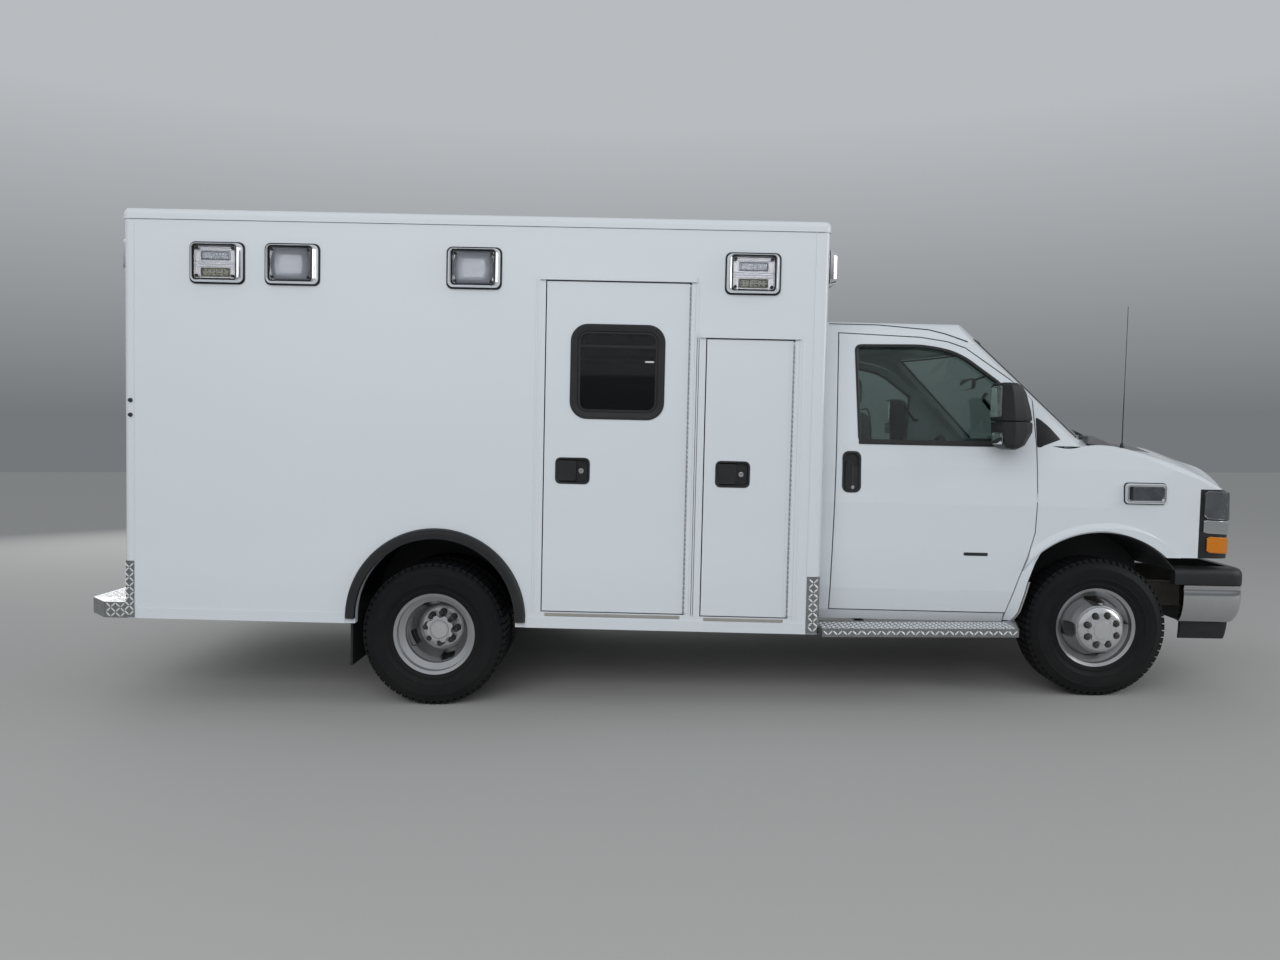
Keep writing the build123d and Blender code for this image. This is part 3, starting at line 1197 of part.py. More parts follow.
def bumper_plan():
    """Bumper's outline in plan, and the bent strip along it."""
    corner = BUMPER_CORNER
    side = corner[1] + BUMPER_FLARE
    plan = make_face([
        Polyline((corner[0], -corner[1]), (PAD_REAR_X, -side), (PAD_REAR_X, side), corner),
        ThreePointArc(corner, (BUMPER_X, 0), (corner[0], -corner[1]))])
    plan = fillet(plan.vertices().sort_by(Axis.X)[-2:], BUMPER_CORNER_R)
    strip = plan - offset(plan, amount=-BUMPER_T, kind=Kind.INTERSECTION)
    strip -= Pos(PAD_REAR_X, 0) * Rectangle(2 * BUMPER_T + 4, 2 * (corner[1] - BUMPER_T))
    return plan, strip


def behind(x):
    """Plan rectangle over everything behind a station of the bumper."""
    return Pos(PAD_REAR_X, 0) * Rectangle(2 * (x - PAD_REAR_X), 3 * BUMPER_CORNER[1])


def bumper_bar():
    """Bright bumper bar with its turned-in lower edge."""
    plan, strip = bumper_plan()
    edge = plan - offset(plan, amount=-BAR_LIP_W, kind=Kind.INTERSECTION)
    bar = plan_prism(strip - behind(BUMPER_REAR_X), BAR_Z)
    return bar + plan_prism(edge - behind(BUMPER_REAR_X), (BAR_Z[0], BAR_Z[0] + BAR_LIP_T))


def bumper_pads():
    """Pad along the bumper's top and the air dam under it."""
    plan, strip = bumper_plan()
    dam = offset(plan, amount=-DAM_INSET, kind=Kind.INTERSECTION)
    dam -= offset(dam, amount=-DAM_T, kind=Kind.INTERSECTION)
    return plan_prism(strip, PAD_Z) + plan_prism(dam - behind(DAM_REAR_X), DAM_Z)


def running_board():
    """Right running board with the brackets that carry it from the frame."""
    front, outer = BOARD_X[1], -BOARD_Y[1]
    board = plan_prism(Polygon(
        (BOARD_X[0], -BOARD_Y[0]), (BOARD_X[0], outer), (BOARD_OUTER_X, outer),
        (front, -BOARD_Y[0]), align=None), BOARD_Z)
    z = (BOARD_Z[1] - BRACKET_DROP[0], BOARD_Z[1] - BRACKET_DROP[1])
    for x in BRACKET_X:
        board += block((x, x + BRACKET_W), (-BOARD_Y[0] - 10, -RAIL_Y[1] - RUNNING_GAP), z)
    return Pos(WHEELBASE, 0, 0) * board


def cab_floor():
    """Floor with its sills and body mounts, toe board, firewall and engine cover."""
    half = CAB_FLOOR_HALF_Y
    full = (-half, half)
    floor = block((CAB_REAR_X, TOE_X[1]), full, CAB_FLOOR_Z)
    edge_x = (CAB_REAR_X, CAB_FLANGE_X)
    flange = block(edge_x, (half - CAB_FLANGE_W, half), (SILL_Z[1], CAB_FLOOR_Z[0]))
    flange += block(edge_x, (half - CAB_FLANGE_W, SILL_INNER_Y), SILL_Z)
    floor += both(flange)
    floor += block(TOE_X, full, (CAB_FLOOR_Z[0], SHELF_Z[1]))
    floor += block((TOE_X[0], FIREWALL_X[1]), full, SHELF_Z)
    floor += block(FIREWALL_X, full, (SHELF_Z[0], FIREWALL_Z))
    cover = block((COVER_X, FIREWALL_X[1]), (-COVER_HALF_Y, COVER_HALF_Y),
                  (CAB_FLOOR_Z[0], COVER_Z))
    hollow = block((COVER_X + COVER_T, FIREWALL_X[1] + 10),
                   grown((-COVER_HALF_Y, COVER_HALF_Y), -COVER_T),
                   (CAB_FLOOR_Z[0] - 10, COVER_Z - COVER_T))
    floor = floor + cover - hollow
    for x in CAB_MOUNT_X:
        floor += both(block((x, x + CAB_MOUNT_W), (-RAIL_Y[1], -RAIL_Y[0]),
                            (RAIL_CAB_Z[1], CAB_FLOOR_Z[0])))
    return floor


def dashboard():
    """Instrument panel with the steering column and wheel on the left."""
    dash = block(DASH_X, (-DASH_HALF_Y, DASH_HALF_Y), DASH_Z)
    dash = fillet(dash.edges().filter_by(Axis.Y), DASH_R)
    ring = Torus(STEERING_WHEEL_R, STEERING_GRIP_R) + post(HORN_R, (-30, 10))
    for turn in SPOKE_TURNS:
        ring += Rot(0, 0, turn) * Pos(STEERING_WHEEL_R / 2, 0, -8) * Box(
            STEERING_WHEEL_R, *SPOKE_SIZE)
    ring += post(COLUMN_R, (-10 - COLUMN_LENGTH, -10))
    return dash + Pos(*STEERING_WHEEL) * Rot(0, -STEERING_TILT, 0) * ring


def seat():
    """Right cab seat: base, cushion, leaning back and headrest."""
    cushion = fillet(block(SEAT_CUSHION_X, SEAT_Y, SEAT_CUSHION_Z).edges(), SEAT_R)
    back = side_prism(Polygon(*SEAT_BACK, align=None), SEAT_Y)
    back = fillet(back.edges().group_by(Axis.Z)[-1], SEAT_R)
    rest = fillet(block(*HEADREST).edges().filter_by(Axis.Y), SEAT_R)
    return block(*SEAT_BASE) + cushion + back + rest


# All pieces by name

def add_module(parts):
    """Module shell, its fittings and its doors."""
    right = [(ENTRY_X, ENTRY_Z), (CURB_X, CURB_Z)]
    left = [(STREET_FRONT_X, CURB_Z), (STREET_MIDDLE_X, STREET_MIDDLE_Z),
            (STREET_REAR_X, CURB_Z)]
    front_x = (MOD_X[1] - MOD_WALL, MOD_X[1])
    rear_x = (MOD_X[0], MOD_X[0] + MOD_WALL)
    rear_wall = end_wall(rear_x, MOD_Z[0] + 60, REAR_DOOR_Z, REAR_DOOR_Y)
    entry_window = (ENTRY_WINDOW_X, ENTRY_WINDOW_Z)
    level = {
        "module_frame": module_frame(),
        "module_right_wall": side_wall(right),
        "module_left_wall": mirror(side_wall(left), about=Plane.XZ),
        "module_front_wall": end_wall(front_x, RAIL_Z[1] + 2, PASS_Z, PASS_HALF_W),
        "module_rear_wall": rear_wall + both(rear_hinge(False)),
        "module_floor": module_floor(),
        "compartment_liners": compartment_liners(),
        "corner_guards": corner_guards(),
        "fender_rings": fender_rings(),
        "rear_step": rear_step(),
        "patient_bench": patient_bench(),
        "patient_cabinets": patient_cabinets(),
        "entry_door": module_door(ENTRY_X, ENTRY_Z, entry_window),
        "entry_window": entry_pane(),
        "curb_compartment_door": module_door(CURB_X, CURB_Z),
        "rear_door_right": rear_door(),
        "rear_window_right": rear_pane(),
    }
    for name, (x, z) in zip(("street_front_door", "street_middle_door", "street_rear_door"), left):
        level[name] = mirror(module_door(x, z), about=Plane.XZ)
    for name, shape in level.items():
        parts[name] = raked(shape)


def add_cab(parts):
    """Cab, front end and bumper."""
    nose = nose_block()
    body = cab_body(CAB_REAR_X - 60)
    window = fillet(Polygon(*DOOR_WINDOW, align=None).vertices(), DOOR_WINDOW_R)
    cab = {
        "cab_shell": cab_shell(),
        "windshield": windshield(),
        "cab_door_right": cab_door(body, window),
        "cab_glass_right": cab_pane(body, window),
        "mirror_right": mirror_unit(body),
        "front_fenders": both(fender(nose)),
        "headlamps": both(headlamp(nose)),
        "hood": hood(nose),
        "grille": grille(nose),
        "cowl": cowl(nose),
        "front_bumper": bumper_bar(),
        "bumper_pads": bumper_pads(),
        "cab_floor": cab_floor(),
        "dashboard": dashboard(),
        "seats": both(seat()),
    }
    for name, shape in cab.items():
        parts[name] = in_cab(shape)
    parts["wheelhouses"] = raked(rear_houses()) + in_cab(both(arch_liner(nose)))
    parts["body_lights"] = raked(body_lights()) + in_cab(both(marker_lamp(nose)))
    parts["radiator"] = in_cab(radiator())
    parts["running_boards"] = both(running_board())


def add_chassis(parts):
    """Frame, axles, drive and wheels."""
    parts["chassis_frame"] = raked(ladder()) + suspension_arms() + spring_hangers()
    parts["rear_axle"] = rear_axle()
    parts["engine_block"] = raked(engine_block())
    parts["fuel_tank"] = raked(fuel_tank())
    parts["exhaust"] = raked(exhaust())
    parts["knuckle_right"] = knuckle()
    parts["tyre_front_right"] = wheel_axis(tyre(), WHEELBASE, -FRONT_TYRE_Y)
    parts["rim_front_right"] = wheel_axis(front_rim(), WHEELBASE, -FRONT_TYRE_Y)
    pair = tyre() + Pos(0, 0, -2 * DISC_OFFSET) * tyre()
    parts["tyres_rear_right"] = wheel_axis(pair, 0, -REAR_OUTER_Y)
    parts["rims_rear_right"] = wheel_axis(rear_rims(), 0, -REAR_OUTER_Y)


def build():
    """Every piece at its place, the left ones mirrored from the right."""
    parts = {}
    add_module(parts)
    add_cab(parts)
    add_chassis(parts)
    for name in list(parts):
        if name.endswith("_right"):
            parts[name[:-len("right")] + "left"] = mirror(parts[name], about=Plane.XZ)
    return parts


def main():
    parts = build()
    rear = parts["rear_step"].bounding_box().min.X
    front = parts["front_bumper"].bounding_box().max.X
    middle = (rear + front) / 2
    print("rear", round(rear, 2), "front", round(front, 2), "middle", round(middle, 3))
    os.makedirs("parts", exist_ok=True)
    for name, shape in parts.items():
        export_step(Pos(-middle, 0, 0) * shape, "parts/" + name + ".step")


main()
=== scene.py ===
# %% [markdown]
# This lesson dresses a box-bodied ambulance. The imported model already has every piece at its
# real size, so nothing is moved here: each cell adds a finish, or a small piece that sits on
# what carries it. Lengths are in metres, +X is the front and +Z is up.

# %% Load the frame
import bmesh
import bpy
import json
import math
from mathutils import Matrix, Vector
from mathutils.bvhtree import BVHTree

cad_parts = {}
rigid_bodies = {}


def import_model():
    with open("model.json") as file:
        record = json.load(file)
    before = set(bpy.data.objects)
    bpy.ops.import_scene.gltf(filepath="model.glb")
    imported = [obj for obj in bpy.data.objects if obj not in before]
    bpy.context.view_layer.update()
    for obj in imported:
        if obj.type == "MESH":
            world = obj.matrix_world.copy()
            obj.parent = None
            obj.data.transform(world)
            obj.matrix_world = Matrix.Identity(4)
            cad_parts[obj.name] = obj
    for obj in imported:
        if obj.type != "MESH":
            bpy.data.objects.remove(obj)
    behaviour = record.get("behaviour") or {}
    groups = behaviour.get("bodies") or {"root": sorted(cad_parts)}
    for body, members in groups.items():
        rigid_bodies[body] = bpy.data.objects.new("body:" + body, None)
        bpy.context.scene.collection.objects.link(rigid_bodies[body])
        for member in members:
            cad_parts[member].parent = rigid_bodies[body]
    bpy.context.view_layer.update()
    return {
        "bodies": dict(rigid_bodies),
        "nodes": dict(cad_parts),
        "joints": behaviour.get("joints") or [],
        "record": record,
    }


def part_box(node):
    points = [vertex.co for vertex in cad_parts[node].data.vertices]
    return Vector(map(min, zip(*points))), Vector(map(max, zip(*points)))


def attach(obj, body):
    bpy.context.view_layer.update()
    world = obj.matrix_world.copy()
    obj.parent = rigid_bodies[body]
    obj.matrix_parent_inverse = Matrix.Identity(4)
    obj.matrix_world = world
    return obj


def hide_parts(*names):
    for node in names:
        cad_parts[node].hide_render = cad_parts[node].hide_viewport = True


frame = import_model()
nodes = frame["nodes"]

# %% [markdown]
# The body stands a little nose down on its springs. Its details are easier to place in a level
# frame whose X starts at the rear axle, so one matrix carries them from there to the world.
# Wheels and running boards stay level with the ground and use a plain shift.

# %% Level body frame and ground frame
RAKE = math.radians(1.28)
RAKE_PIVOT = 0.5
WHEELBASE = 3.531
WHEEL_R = 0.372
tyre_low, tyre_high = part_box("tyres_rear_right")
AXLE_X = (tyre_low.x + tyre_high.x) / 2
GROUND = Matrix.Translation((AXLE_X, 0, 0))
LEVEL = (Matrix.Translation((AXLE_X, 0, RAKE_PIVOT)) @ Matrix.Rotation(RAKE, 4, "Y")
         @ Matrix.Translation((0, 0, -RAKE_PIVOT)))
WALL_Y = 1.207
REAR_X = -1.605
FRONT_X = 2.0
print("rear axle at x =", round(AXLE_X, 4))

# %% [markdown]
# The camera stands at the photograph's place: on the vehicle's right, level with the door
# handles, looking almost square at the side and a little down.

# %% Camera
CAMERA_AT = (1.131, -6.132, 1.411)
CAMERA_YAW = math.radians(-0.65)
CAMERA_PITCH = math.radians(2.69)
CAMERA_LENS = 27.03


def make_camera():
    data = bpy.data.cameras.new("camera")
    data.sensor_fit = "HORIZONTAL"
    data.sensor_width = 36.0
    data.lens = CAMERA_LENS
    camera = bpy.data.objects.new("camera", data)
    look = Vector((math.sin(CAMERA_YAW) * math.cos(CAMERA_PITCH),
                   math.cos(CAMERA_YAW) * math.cos(CAMERA_PITCH), -math.sin(CAMERA_PITCH)))
    camera.location = GROUND @ Vector(CAMERA_AT)
    camera.rotation_mode = "QUATERNION"
    camera.rotation_quaternion = look.to_track_quat("-Z", "Y")
    bpy.context.scene.collection.objects.link(camera)
    bpy.context.scene.camera = camera
    return camera


camera = make_camera()
print("camera at", [round(v, 3) for v in camera.location])

# %% [markdown]
# White paint needs soft light with a direction, or its panels go flat. A large lamp above the
# camera's side gives the walls their level, a weaker one lifts the front, and the world fills
# the shadows.

# %% Lights, world and floor
FLOOR_SIZE = 60.0
FLOOR_GREY = (0.40, 0.40, 0.39, 1)
SKY_LOW = (0.34, 0.36, 0.38, 1)
SKY_HIGH = (0.92, 0.96, 1.0, 1)
SKY_BAND = (0.02, 0.30)
WORLD_LEVEL = 0.52
STUDIO_LAMPS = (("key", (-1.5, -9.0, 4.6), (0, 0, 1.2), (9, 5), 400),
                ("front_fill", (8.5, -3.0, 3.6), (1.5, 0, 1.0), (4, 4), 130),
                ("back_fill", (-6.5, 8.0, 4.2), (0, 0, 1.2), (7, 5), 230))


def area_light(name, at, aim, size, power):
    data = bpy.data.lights.new(name, "AREA")
    data.shape = "RECTANGLE"
    data.size, data.size_y = size
    data.energy = power
    light = bpy.data.objects.new(name, data)
    light.location = at
    light.rotation_mode = "QUATERNION"
    light.rotation_quaternion = (Vector(aim) - Vector(at)).to_track_quat("-Z", "Y")
    bpy.context.scene.collection.objects.link(light)
    return light


def new_material(name):
    """A material whose one Principled shader is linked to its output."""
    material = bpy.data.materials.new(name)
    material.use_nodes = True
    tree = material.node_tree
    tree.nodes.clear()
    out = tree.nodes.new("ShaderNodeOutputMaterial")
    shader = tree.nodes.new("ShaderNodeBsdfPrincipled")
    tree.links.new(shader.outputs[0], out.inputs[0])
    return material, tree, shader


def to_object(name, bm, material=None):
    """Puts a bmesh into the scene as an object."""
    mesh = bpy.data.meshes.new(name)
    bm.to_mesh(mesh)
    bm.free()
    if material:
        mesh.materials.append(material)
    made = bpy.data.objects.new(name, mesh)
    bpy.context.scene.collection.objects.link(made)
    return made


def make_floor():
    bm = bmesh.new()
    bmesh.ops.create_grid(bm, x_segments=1, y_segments=1, size=FLOOR_SIZE / 2)
    material, _, shader = new_material("floor_grey")
    shader.inputs["Roughness"].default_value = 0.9
    shader.inputs["Base Color"].default_value = FLOOR_GREY
    to_object("floor", bm, material)


def make_world():
    world = bpy.data.worlds.new("studio")
    world.use_nodes = True
    tree = world.node_tree
    tree.nodes.clear()
    out = tree.nodes.new("ShaderNodeOutputWorld")
    light = tree.nodes.new("ShaderNodeBackground")
    light.inputs["Strength"].default_value = WORLD_LEVEL
    where = tree.nodes.new("ShaderNodeTexCoord")
    split = tree.nodes.new("ShaderNodeSeparateXYZ")
    tree.links.new(where.outputs["Generated"], split.inputs[0])
    rise = tree.nodes.new("ShaderNodeMapRange")
    tree.links.new(split.outputs["Z"], rise.inputs["Value"])
    rise.inputs["From Min"].default_value, rise.inputs["From Max"].default_value = SKY_BAND
    sky = tree.nodes.new("ShaderNodeMix")
    sky.data_type = "RGBA"
    sky.inputs["A"].default_value, sky.inputs["B"].default_value = SKY_LOW, SKY_HIGH
    tree.links.new(rise.outputs["Result"], sky.inputs["Factor"])
    tree.links.new(sky.outputs["Result"], light.inputs["Color"])
    tree.links.new(light.outputs[0], out.inputs[0])
    bpy.context.scene.world = world


make_floor()
make_world()
studio = [area_light(*lamp) for lamp in STUDIO_LAMPS]
studio[0].visible_glossy = False
bpy.context.scene.view_settings.view_transform = "Standard"
print("lights", len(bpy.data.lights))

# %% [markdown]
# Most small pieces here are skins stretched over a few outlines: a lamp bezel is one rounded
# rectangle carried out from the wall and in again. One helper stretches the skin, and a matrix
# says where the outlines stand and which way is out.

# %% Mesh helpers


def rounded(width, height, radius, steps=5):
    """Points of a rounded rectangle, once round."""
    points = []
    for cx, cy, start in ((1, 1, 0), (-1, 1, 90), (-1, -1, 180), (1, -1, 270)):
        for k in range(steps + 1):
            turn = math.radians(start + 90 * k / steps)
            points.append((cx * (width / 2 - radius) + radius * math.cos(turn),
                           cy * (height / 2 - radius) + radius * math.sin(turn)))
    return points


def circle(radius, steps=24):
    return [(radius * math.cos(math.tau * k / steps), radius * math.sin(math.tau * k / steps))
            for k in range(steps)]


def lofted(bm, rings, closed=False, pan=False):
    """Faces between rings of points. Closed joins the last to the first, and a pan has no lid
    over its first one."""
    rings = [[bm.verts.new(point) for point in ring] for ring in rings]
    pairs = list(zip(rings, rings[1:]))
    if closed:
        pairs.append((rings[-1], rings[0]))
    for one, two in pairs:
        for k in range(len(one)):
            n = (k + 1) % len(one)
            bm.faces.new((one[k], one[n], two[n], two[k]))
    if not closed:
        bm.faces.new(rings[-1])
        if not pan:
            bm.faces.new(rings[0])


def skin(bm, outlines, place, closed=False, pan=False):
    """Lofts (points, height) outlines that stand in a place."""
    lofted(bm, [[place @ Vector((u, v, height)) for u, v in points]
                for points, height in outlines], closed, pan)


def plates(size, steps):
    """Rounded rectangles, each grown from one size, with its own radius and height."""
    return [(rounded(size[0] + grow, size[1] + grow, radius), height)
            for grow, radius, height in steps]


def stack(bm, profile, steps, place):
    """Skins circles of (radius, height), as for a knob, a nut or a stem."""
    skin(bm, [(circle(radius, steps), height) for radius, height in profile], place)


def outline_box(low, high):
    return [(low[0], low[1]), (high[0], low[1]), (high[0], high[1]), (low[0], high[1])]


def box_in(bm, low, high, place):
    """A box between two corners."""
    corners = outline_box(low, high)
    skin(bm, [(corners, low[2]), (corners, high[2])], place)


def piece(name, bm, material, body, slot, bevel=0.0, sharp=32.0):
    """Cleans a bmesh, marks its hard edges and lets it ride on a body."""
    bmesh.ops.remove_doubles(bm, verts=bm.verts, dist=1e-5)
    bmesh.ops.recalc_face_normals(bm, faces=bm.faces)
    for face in bm.faces:
        face.smooth = True
    for edge in bm.edges:
        edge.smooth = edge.is_manifold and edge.calc_face_angle(0) < math.radians(sharp)
    made = to_object(name, bm, material)
    if bevel:
        soft = made.modifiers.new("bevel", "BEVEL")
        soft.width = bevel
        soft.segments = 2
        soft.limit_method = "ANGLE"
        soft.angle_limit = math.radians(sharp)
    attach(made, body)
    return made


def across(x, y, z, way):
    """Level place that looks along Y: U runs forward, V up, and the third way is along way."""
    return LEVEL @ Matrix(((1, 0, 0, x), (0, 0, way, y), (0, 1, 0, z), (0, 0, 0, 1)))


def on_wall(side, x, z):
    """Place on a side wall of the module, looking outward."""
    return across(x, side * WALL_Y, z, side)


def on_end(x, y, z, way):
    """Level place that looks along X, as on an end wall: U runs to the left and V up."""
    return LEVEL @ Matrix(((0, 0, way, x), (1, 0, 0, y), (0, 1, 0, z), (0, 0, 0, 1)))


def on_axle(x, y, side):
    """Place at a wheel's centre, with the third way outboard."""
    turn = Matrix(((1, 0, 0, x), (0, 0, side, y), (0, 1, 0, WHEEL_R), (0, 0, 0, 1)))
    return GROUND @ turn


SIDES = ((-1, "right"), (1, "left"))
print("helpers ready")

# %% [markdown]
# Road dust, a slow mottle and a fine grain show on almost every surface, so each is one shader
# group with its own named inputs. They put out colours, masks and heights only, and every
# material keeps its own shader.

# %% Shared shader groups


def add_socket(group, name, kind, way, value=None):
    socket = group.interface.new_socket(name=name, in_out=way, socket_type=kind)
    if value is not None:
        socket.default_value = value
    return socket


def new_group(name, inputs, outputs):
    group = bpy.data.node_groups.new(name, "ShaderNodeTree")
    for label, kind, value in inputs:
        add_socket(group, label, kind, "INPUT", value)
    for label, kind in outputs:
        add_socket(group, label, kind, "OUTPUT")
    return group, group.nodes.new("NodeGroupInput"), group.nodes.new("NodeGroupOutput")


def feed(tree, value, socket):
    """Gives a socket a number, or a link to another socket."""
    if isinstance(value, (int, float)):
        socket.default_value = value
    else:
        tree.links.new(value, socket)


def noise(tree, scale, detail=4.0, rough=0.55):
    """Noise on Object coordinates, so that it stays on the piece."""
    where = tree.nodes.new("ShaderNodeTexCoord")
    node = tree.nodes.new("ShaderNodeTexNoise")
    node.inputs["Detail"].default_value = detail
    node.inputs["Roughness"].default_value = rough
    tree.links.new(where.outputs["Object"], node.inputs["Vector"])
    feed(tree, scale, node.inputs["Scale"])
    return node.outputs["Fac"]


def spread(tree, value, low, high, to_low, to_high):
    """Maps a value from one range to another. Ends may be sockets."""
    node = tree.nodes.new("ShaderNodeMapRange")
    tree.links.new(value, node.inputs["Value"])
    for label, end in (("From Min", low), ("From Max", high), ("To Min", to_low),
                       ("To Max", to_high)):
        feed(tree, end, node.inputs[label])
    return node.outputs["Result"]


def maths(tree, operation, one, two):
    """One Math node. Each side is a socket or a number."""
    node = tree.nodes.new("ShaderNodeMath")
    node.operation = operation
    feed(tree, one, node.inputs[0])
    feed(tree, two, node.inputs[1])
    return node.outputs[0]


def mixed(tree, factor, one, two):
    node = tree.nodes.new("ShaderNodeMix")
    node.data_type = "RGBA"
    tree.links.new(factor, node.inputs["Factor"])
    tree.links.new(one, node.inputs["A"])
    tree.links.new(two, node.inputs["B"])
    return node.outputs["Result"]


COLOUR, NUMBER = "NodeSocketColor", "NodeSocketFloat"
WHITE = (1.0, 1.0, 1.0, 1.0)


def make_mottle():
    """Slow change between two close shades."""
    group, start, end = new_group(
        "mottle", [("Shade A", COLOUR, WHITE), ("Shade B", COLOUR, WHITE), ("Scale", NUMBER, 3.0)],
        [("Colour", COLOUR), ("Mask", NUMBER)])
    wave = noise(group, start.outputs["Scale"])
    mask = spread(group, wave, 0.25, 0.75, 0.0, 1.0)
    colour = mixed(group, mask, start.outputs["Shade A"], start.outputs["Shade B"])
    group.links.new(colour, end.inputs["Colour"])
    group.links.new(mask, end.inputs["Mask"])
    return group


def make_dust():
    """Road dust that thickens towards the ground, broken up by noise."""
    group, start, end = new_group(
        "road_dust", [("Colour", COLOUR, WHITE), ("Dust", COLOUR, WHITE), ("Top", NUMBER, 1.0),
                      ("Amount", NUMBER, 0.3)],
        [("Colour", COLOUR), ("Mask", NUMBER)])
    where = group.nodes.new("ShaderNodeTexCoord")
    split = group.nodes.new("ShaderNodeSeparateXYZ")
    group.links.new(where.outputs["Object"], split.inputs[0])
    low = spread(group, split.outputs["Z"], 0.2, start.outputs["Top"], 1.0, 0.0)
    broken = spread(group, noise(group, 6.0, 8.0, 0.7), 0.3, 0.75, 0.1, 1.0)
    mask = maths(group, "MULTIPLY", maths(group, "MULTIPLY", low, broken),
                 start.outputs["Amount"])
    colour = mixed(group, mask, start.outputs["Colour"], start.outputs["Dust"])
    group.links.new(colour, end.inputs["Colour"])
    group.links.new(mask, end.inputs["Mask"])
    return group


def make_grain():
    """Fine and coarse bumps added together as one height."""
    group, start, end = new_group(
        "grain", [("Fine", NUMBER, 400.0), ("Coarse", NUMBER, 20.0), ("Share", NUMBER, 0.5)],
        [("Height", NUMBER)])
    fine = noise(group, start.outputs["Fine"], 2.0)
    coarse = noise(group, start.outputs["Coarse"], 3.0)
    node = group.nodes.new("ShaderNodeMix")
    node.data_type = "FLOAT"
    group.links.new(start.outputs["Share"], node.inputs["Factor"])
    group.links.new(fine, node.inputs["A"])
    group.links.new(coarse, node.inputs["B"])
    group.links.new(node.outputs["Result"], end.inputs["Height"])
    return group


MOTTLE, DUST, GRAIN = make_mottle(), make_dust(), make_grain()
print("groups", [g.name for g in (MOTTLE, DUST, GRAIN)])

# %% [markdown]
# A material is one Principled shader fed by those groups: two close shades, dust on the parts
# near the road, and a height for the bump. What is the same all over is set on the shader.

# %% Materials
DUST_TAN = (0.42, 0.38, 0.32, 1)
GLASS_IOR = 1.45


def group_node(tree, group, **values):
    node = tree.nodes.new("ShaderNodeGroup")
    node.node_tree = group
    for label, value in values.items():
        node.inputs[label.replace("_", " ")].default_value = value
    return node


def rgba(colour):
    return (*colour, 1.0)


def surface(name, shade_a, shade_b, rough=(0.35, 0.45), scale=3.0, dust=0.15, dust_top=0.9,
            fine=300.0, coarse=12.0, share=0.5, bump=0.05, depth=0.001, fixed=None):
    """A finished surface: mottle, dust and grain into one Principled shader."""
    material, tree, shader = new_material(name)
    mottle = group_node(tree, MOTTLE, Shade_A=rgba(shade_a), Shade_B=rgba(shade_b), Scale=scale)
    dusty = group_node(tree, DUST, Dust=DUST_TAN, Top=dust_top, Amount=dust)
    tree.links.new(mottle.outputs["Colour"], dusty.inputs["Colour"])
    tree.links.new(dusty.outputs["Colour"], shader.inputs["Base Color"])
    worn = spread(tree, mottle.outputs["Mask"], 0.0, 1.0, rough[0], rough[1])
    rougher = maths(tree, "MAXIMUM", worn, dusty.outputs["Mask"])
    tree.links.new(rougher, shader.inputs["Roughness"])
    grain = group_node(tree, GRAIN, Fine=fine, Coarse=coarse, Share=share)
    bumps = tree.nodes.new("ShaderNodeBump")
    bumps.inputs["Strength"].default_value = bump
    bumps.inputs["Distance"].default_value = depth
    tree.links.new(grain.outputs["Height"], bumps.inputs["Height"])
    tree.links.new(bumps.outputs[0], shader.inputs["Normal"])
    for label, value in (fixed or {}).items():
        shader.inputs[label].default_value = value
    return material


def clear(name, tint, rough=0.02, weight=1.0):
    """Glass or clear plastic with a faint change of tint."""
    material, tree, shader = new_material(name)
    darker = tuple(0.93 * c for c in tint)
    mottle = group_node(tree, MOTTLE, Shade_A=rgba(tint), Shade_B=rgba(darker), Scale=1.5)
    tree.links.new(mottle.outputs["Colour"], shader.inputs["Base Color"])
    shader.inputs["Roughness"].default_value = rough
    shader.inputs["IOR"].default_value = GLASS_IOR
    shader.inputs["Transmission Weight"].default_value = weight
    return material


GLOSS = {"Coat Weight": 0.7, "Coat Roughness": 0.04}
paint = surface("white_paint", (0.68, 0.725, 0.765), (0.668, 0.712, 0.752), (0.24, 0.27), 0.7,
                dust=0.10, dust_top=0.75, fine=260.0, coarse=1.6, share=0.85, bump=0.06,
                depth=0.0012, fixed=GLOSS)
steel = surface("wheel_silver", (0.56, 0.57, 0.59), (0.50, 0.51, 0.53), (0.30, 0.42), 9.0,
                dust=0.25, dust_top=0.8, bump=0.08, fixed={"Metallic": 0.85})
rubber = surface("tyre_rubber", (0.006, 0.007, 0.008), (0.011, 0.011, 0.012), (0.5, 0.62), 14.0,
                 dust=0.015, dust_top=0.6, fine=520.0, bump=0.2,
                 fixed={"Specular IOR Level": 0.2})
trim = surface("black_trim", (0.014, 0.015, 0.017), (0.021, 0.022, 0.024), (0.40, 0.52), 8.0,
               dust=0.03, fine=650.0, coarse=60.0, share=0.3, bump=0.22,
               fixed={"Specular IOR Level": 0.35})
chassis = surface("chassis_black", (0.02, 0.02, 0.02), (0.045, 0.042, 0.04), (0.45, 0.7), 7.0,
                  dust=0.5, dust_top=0.9, bump=0.2)
casting = surface("cast_iron", (0.10, 0.098, 0.095), (0.16, 0.15, 0.14), (0.5, 0.75), 9.0,
                  dust=0.5, dust_top=0.9, bump=0.4, fixed={"Metallic": 0.6})
chrome = surface("chrome", (0.86, 0.87, 0.88), (0.80, 0.81, 0.83), (0.05, 0.12), 4.0, dust=0.12,
                 bump=0.02, fixed={"Metallic": 1.0})
plate = surface("bright_plate", (0.42, 0.43, 0.44), (0.33, 0.34, 0.35), (0.24, 0.36), 18.0,
                dust=0.15, dust_top=0.25, bump=0.12, fixed={"Metallic": 1.0})
grey = surface("grey_plastic", (0.13, 0.132, 0.138), (0.17, 0.172, 0.178), (0.5, 0.65), 10.0,
               dust=0.1, fine=700.0, share=0.25, bump=0.25)
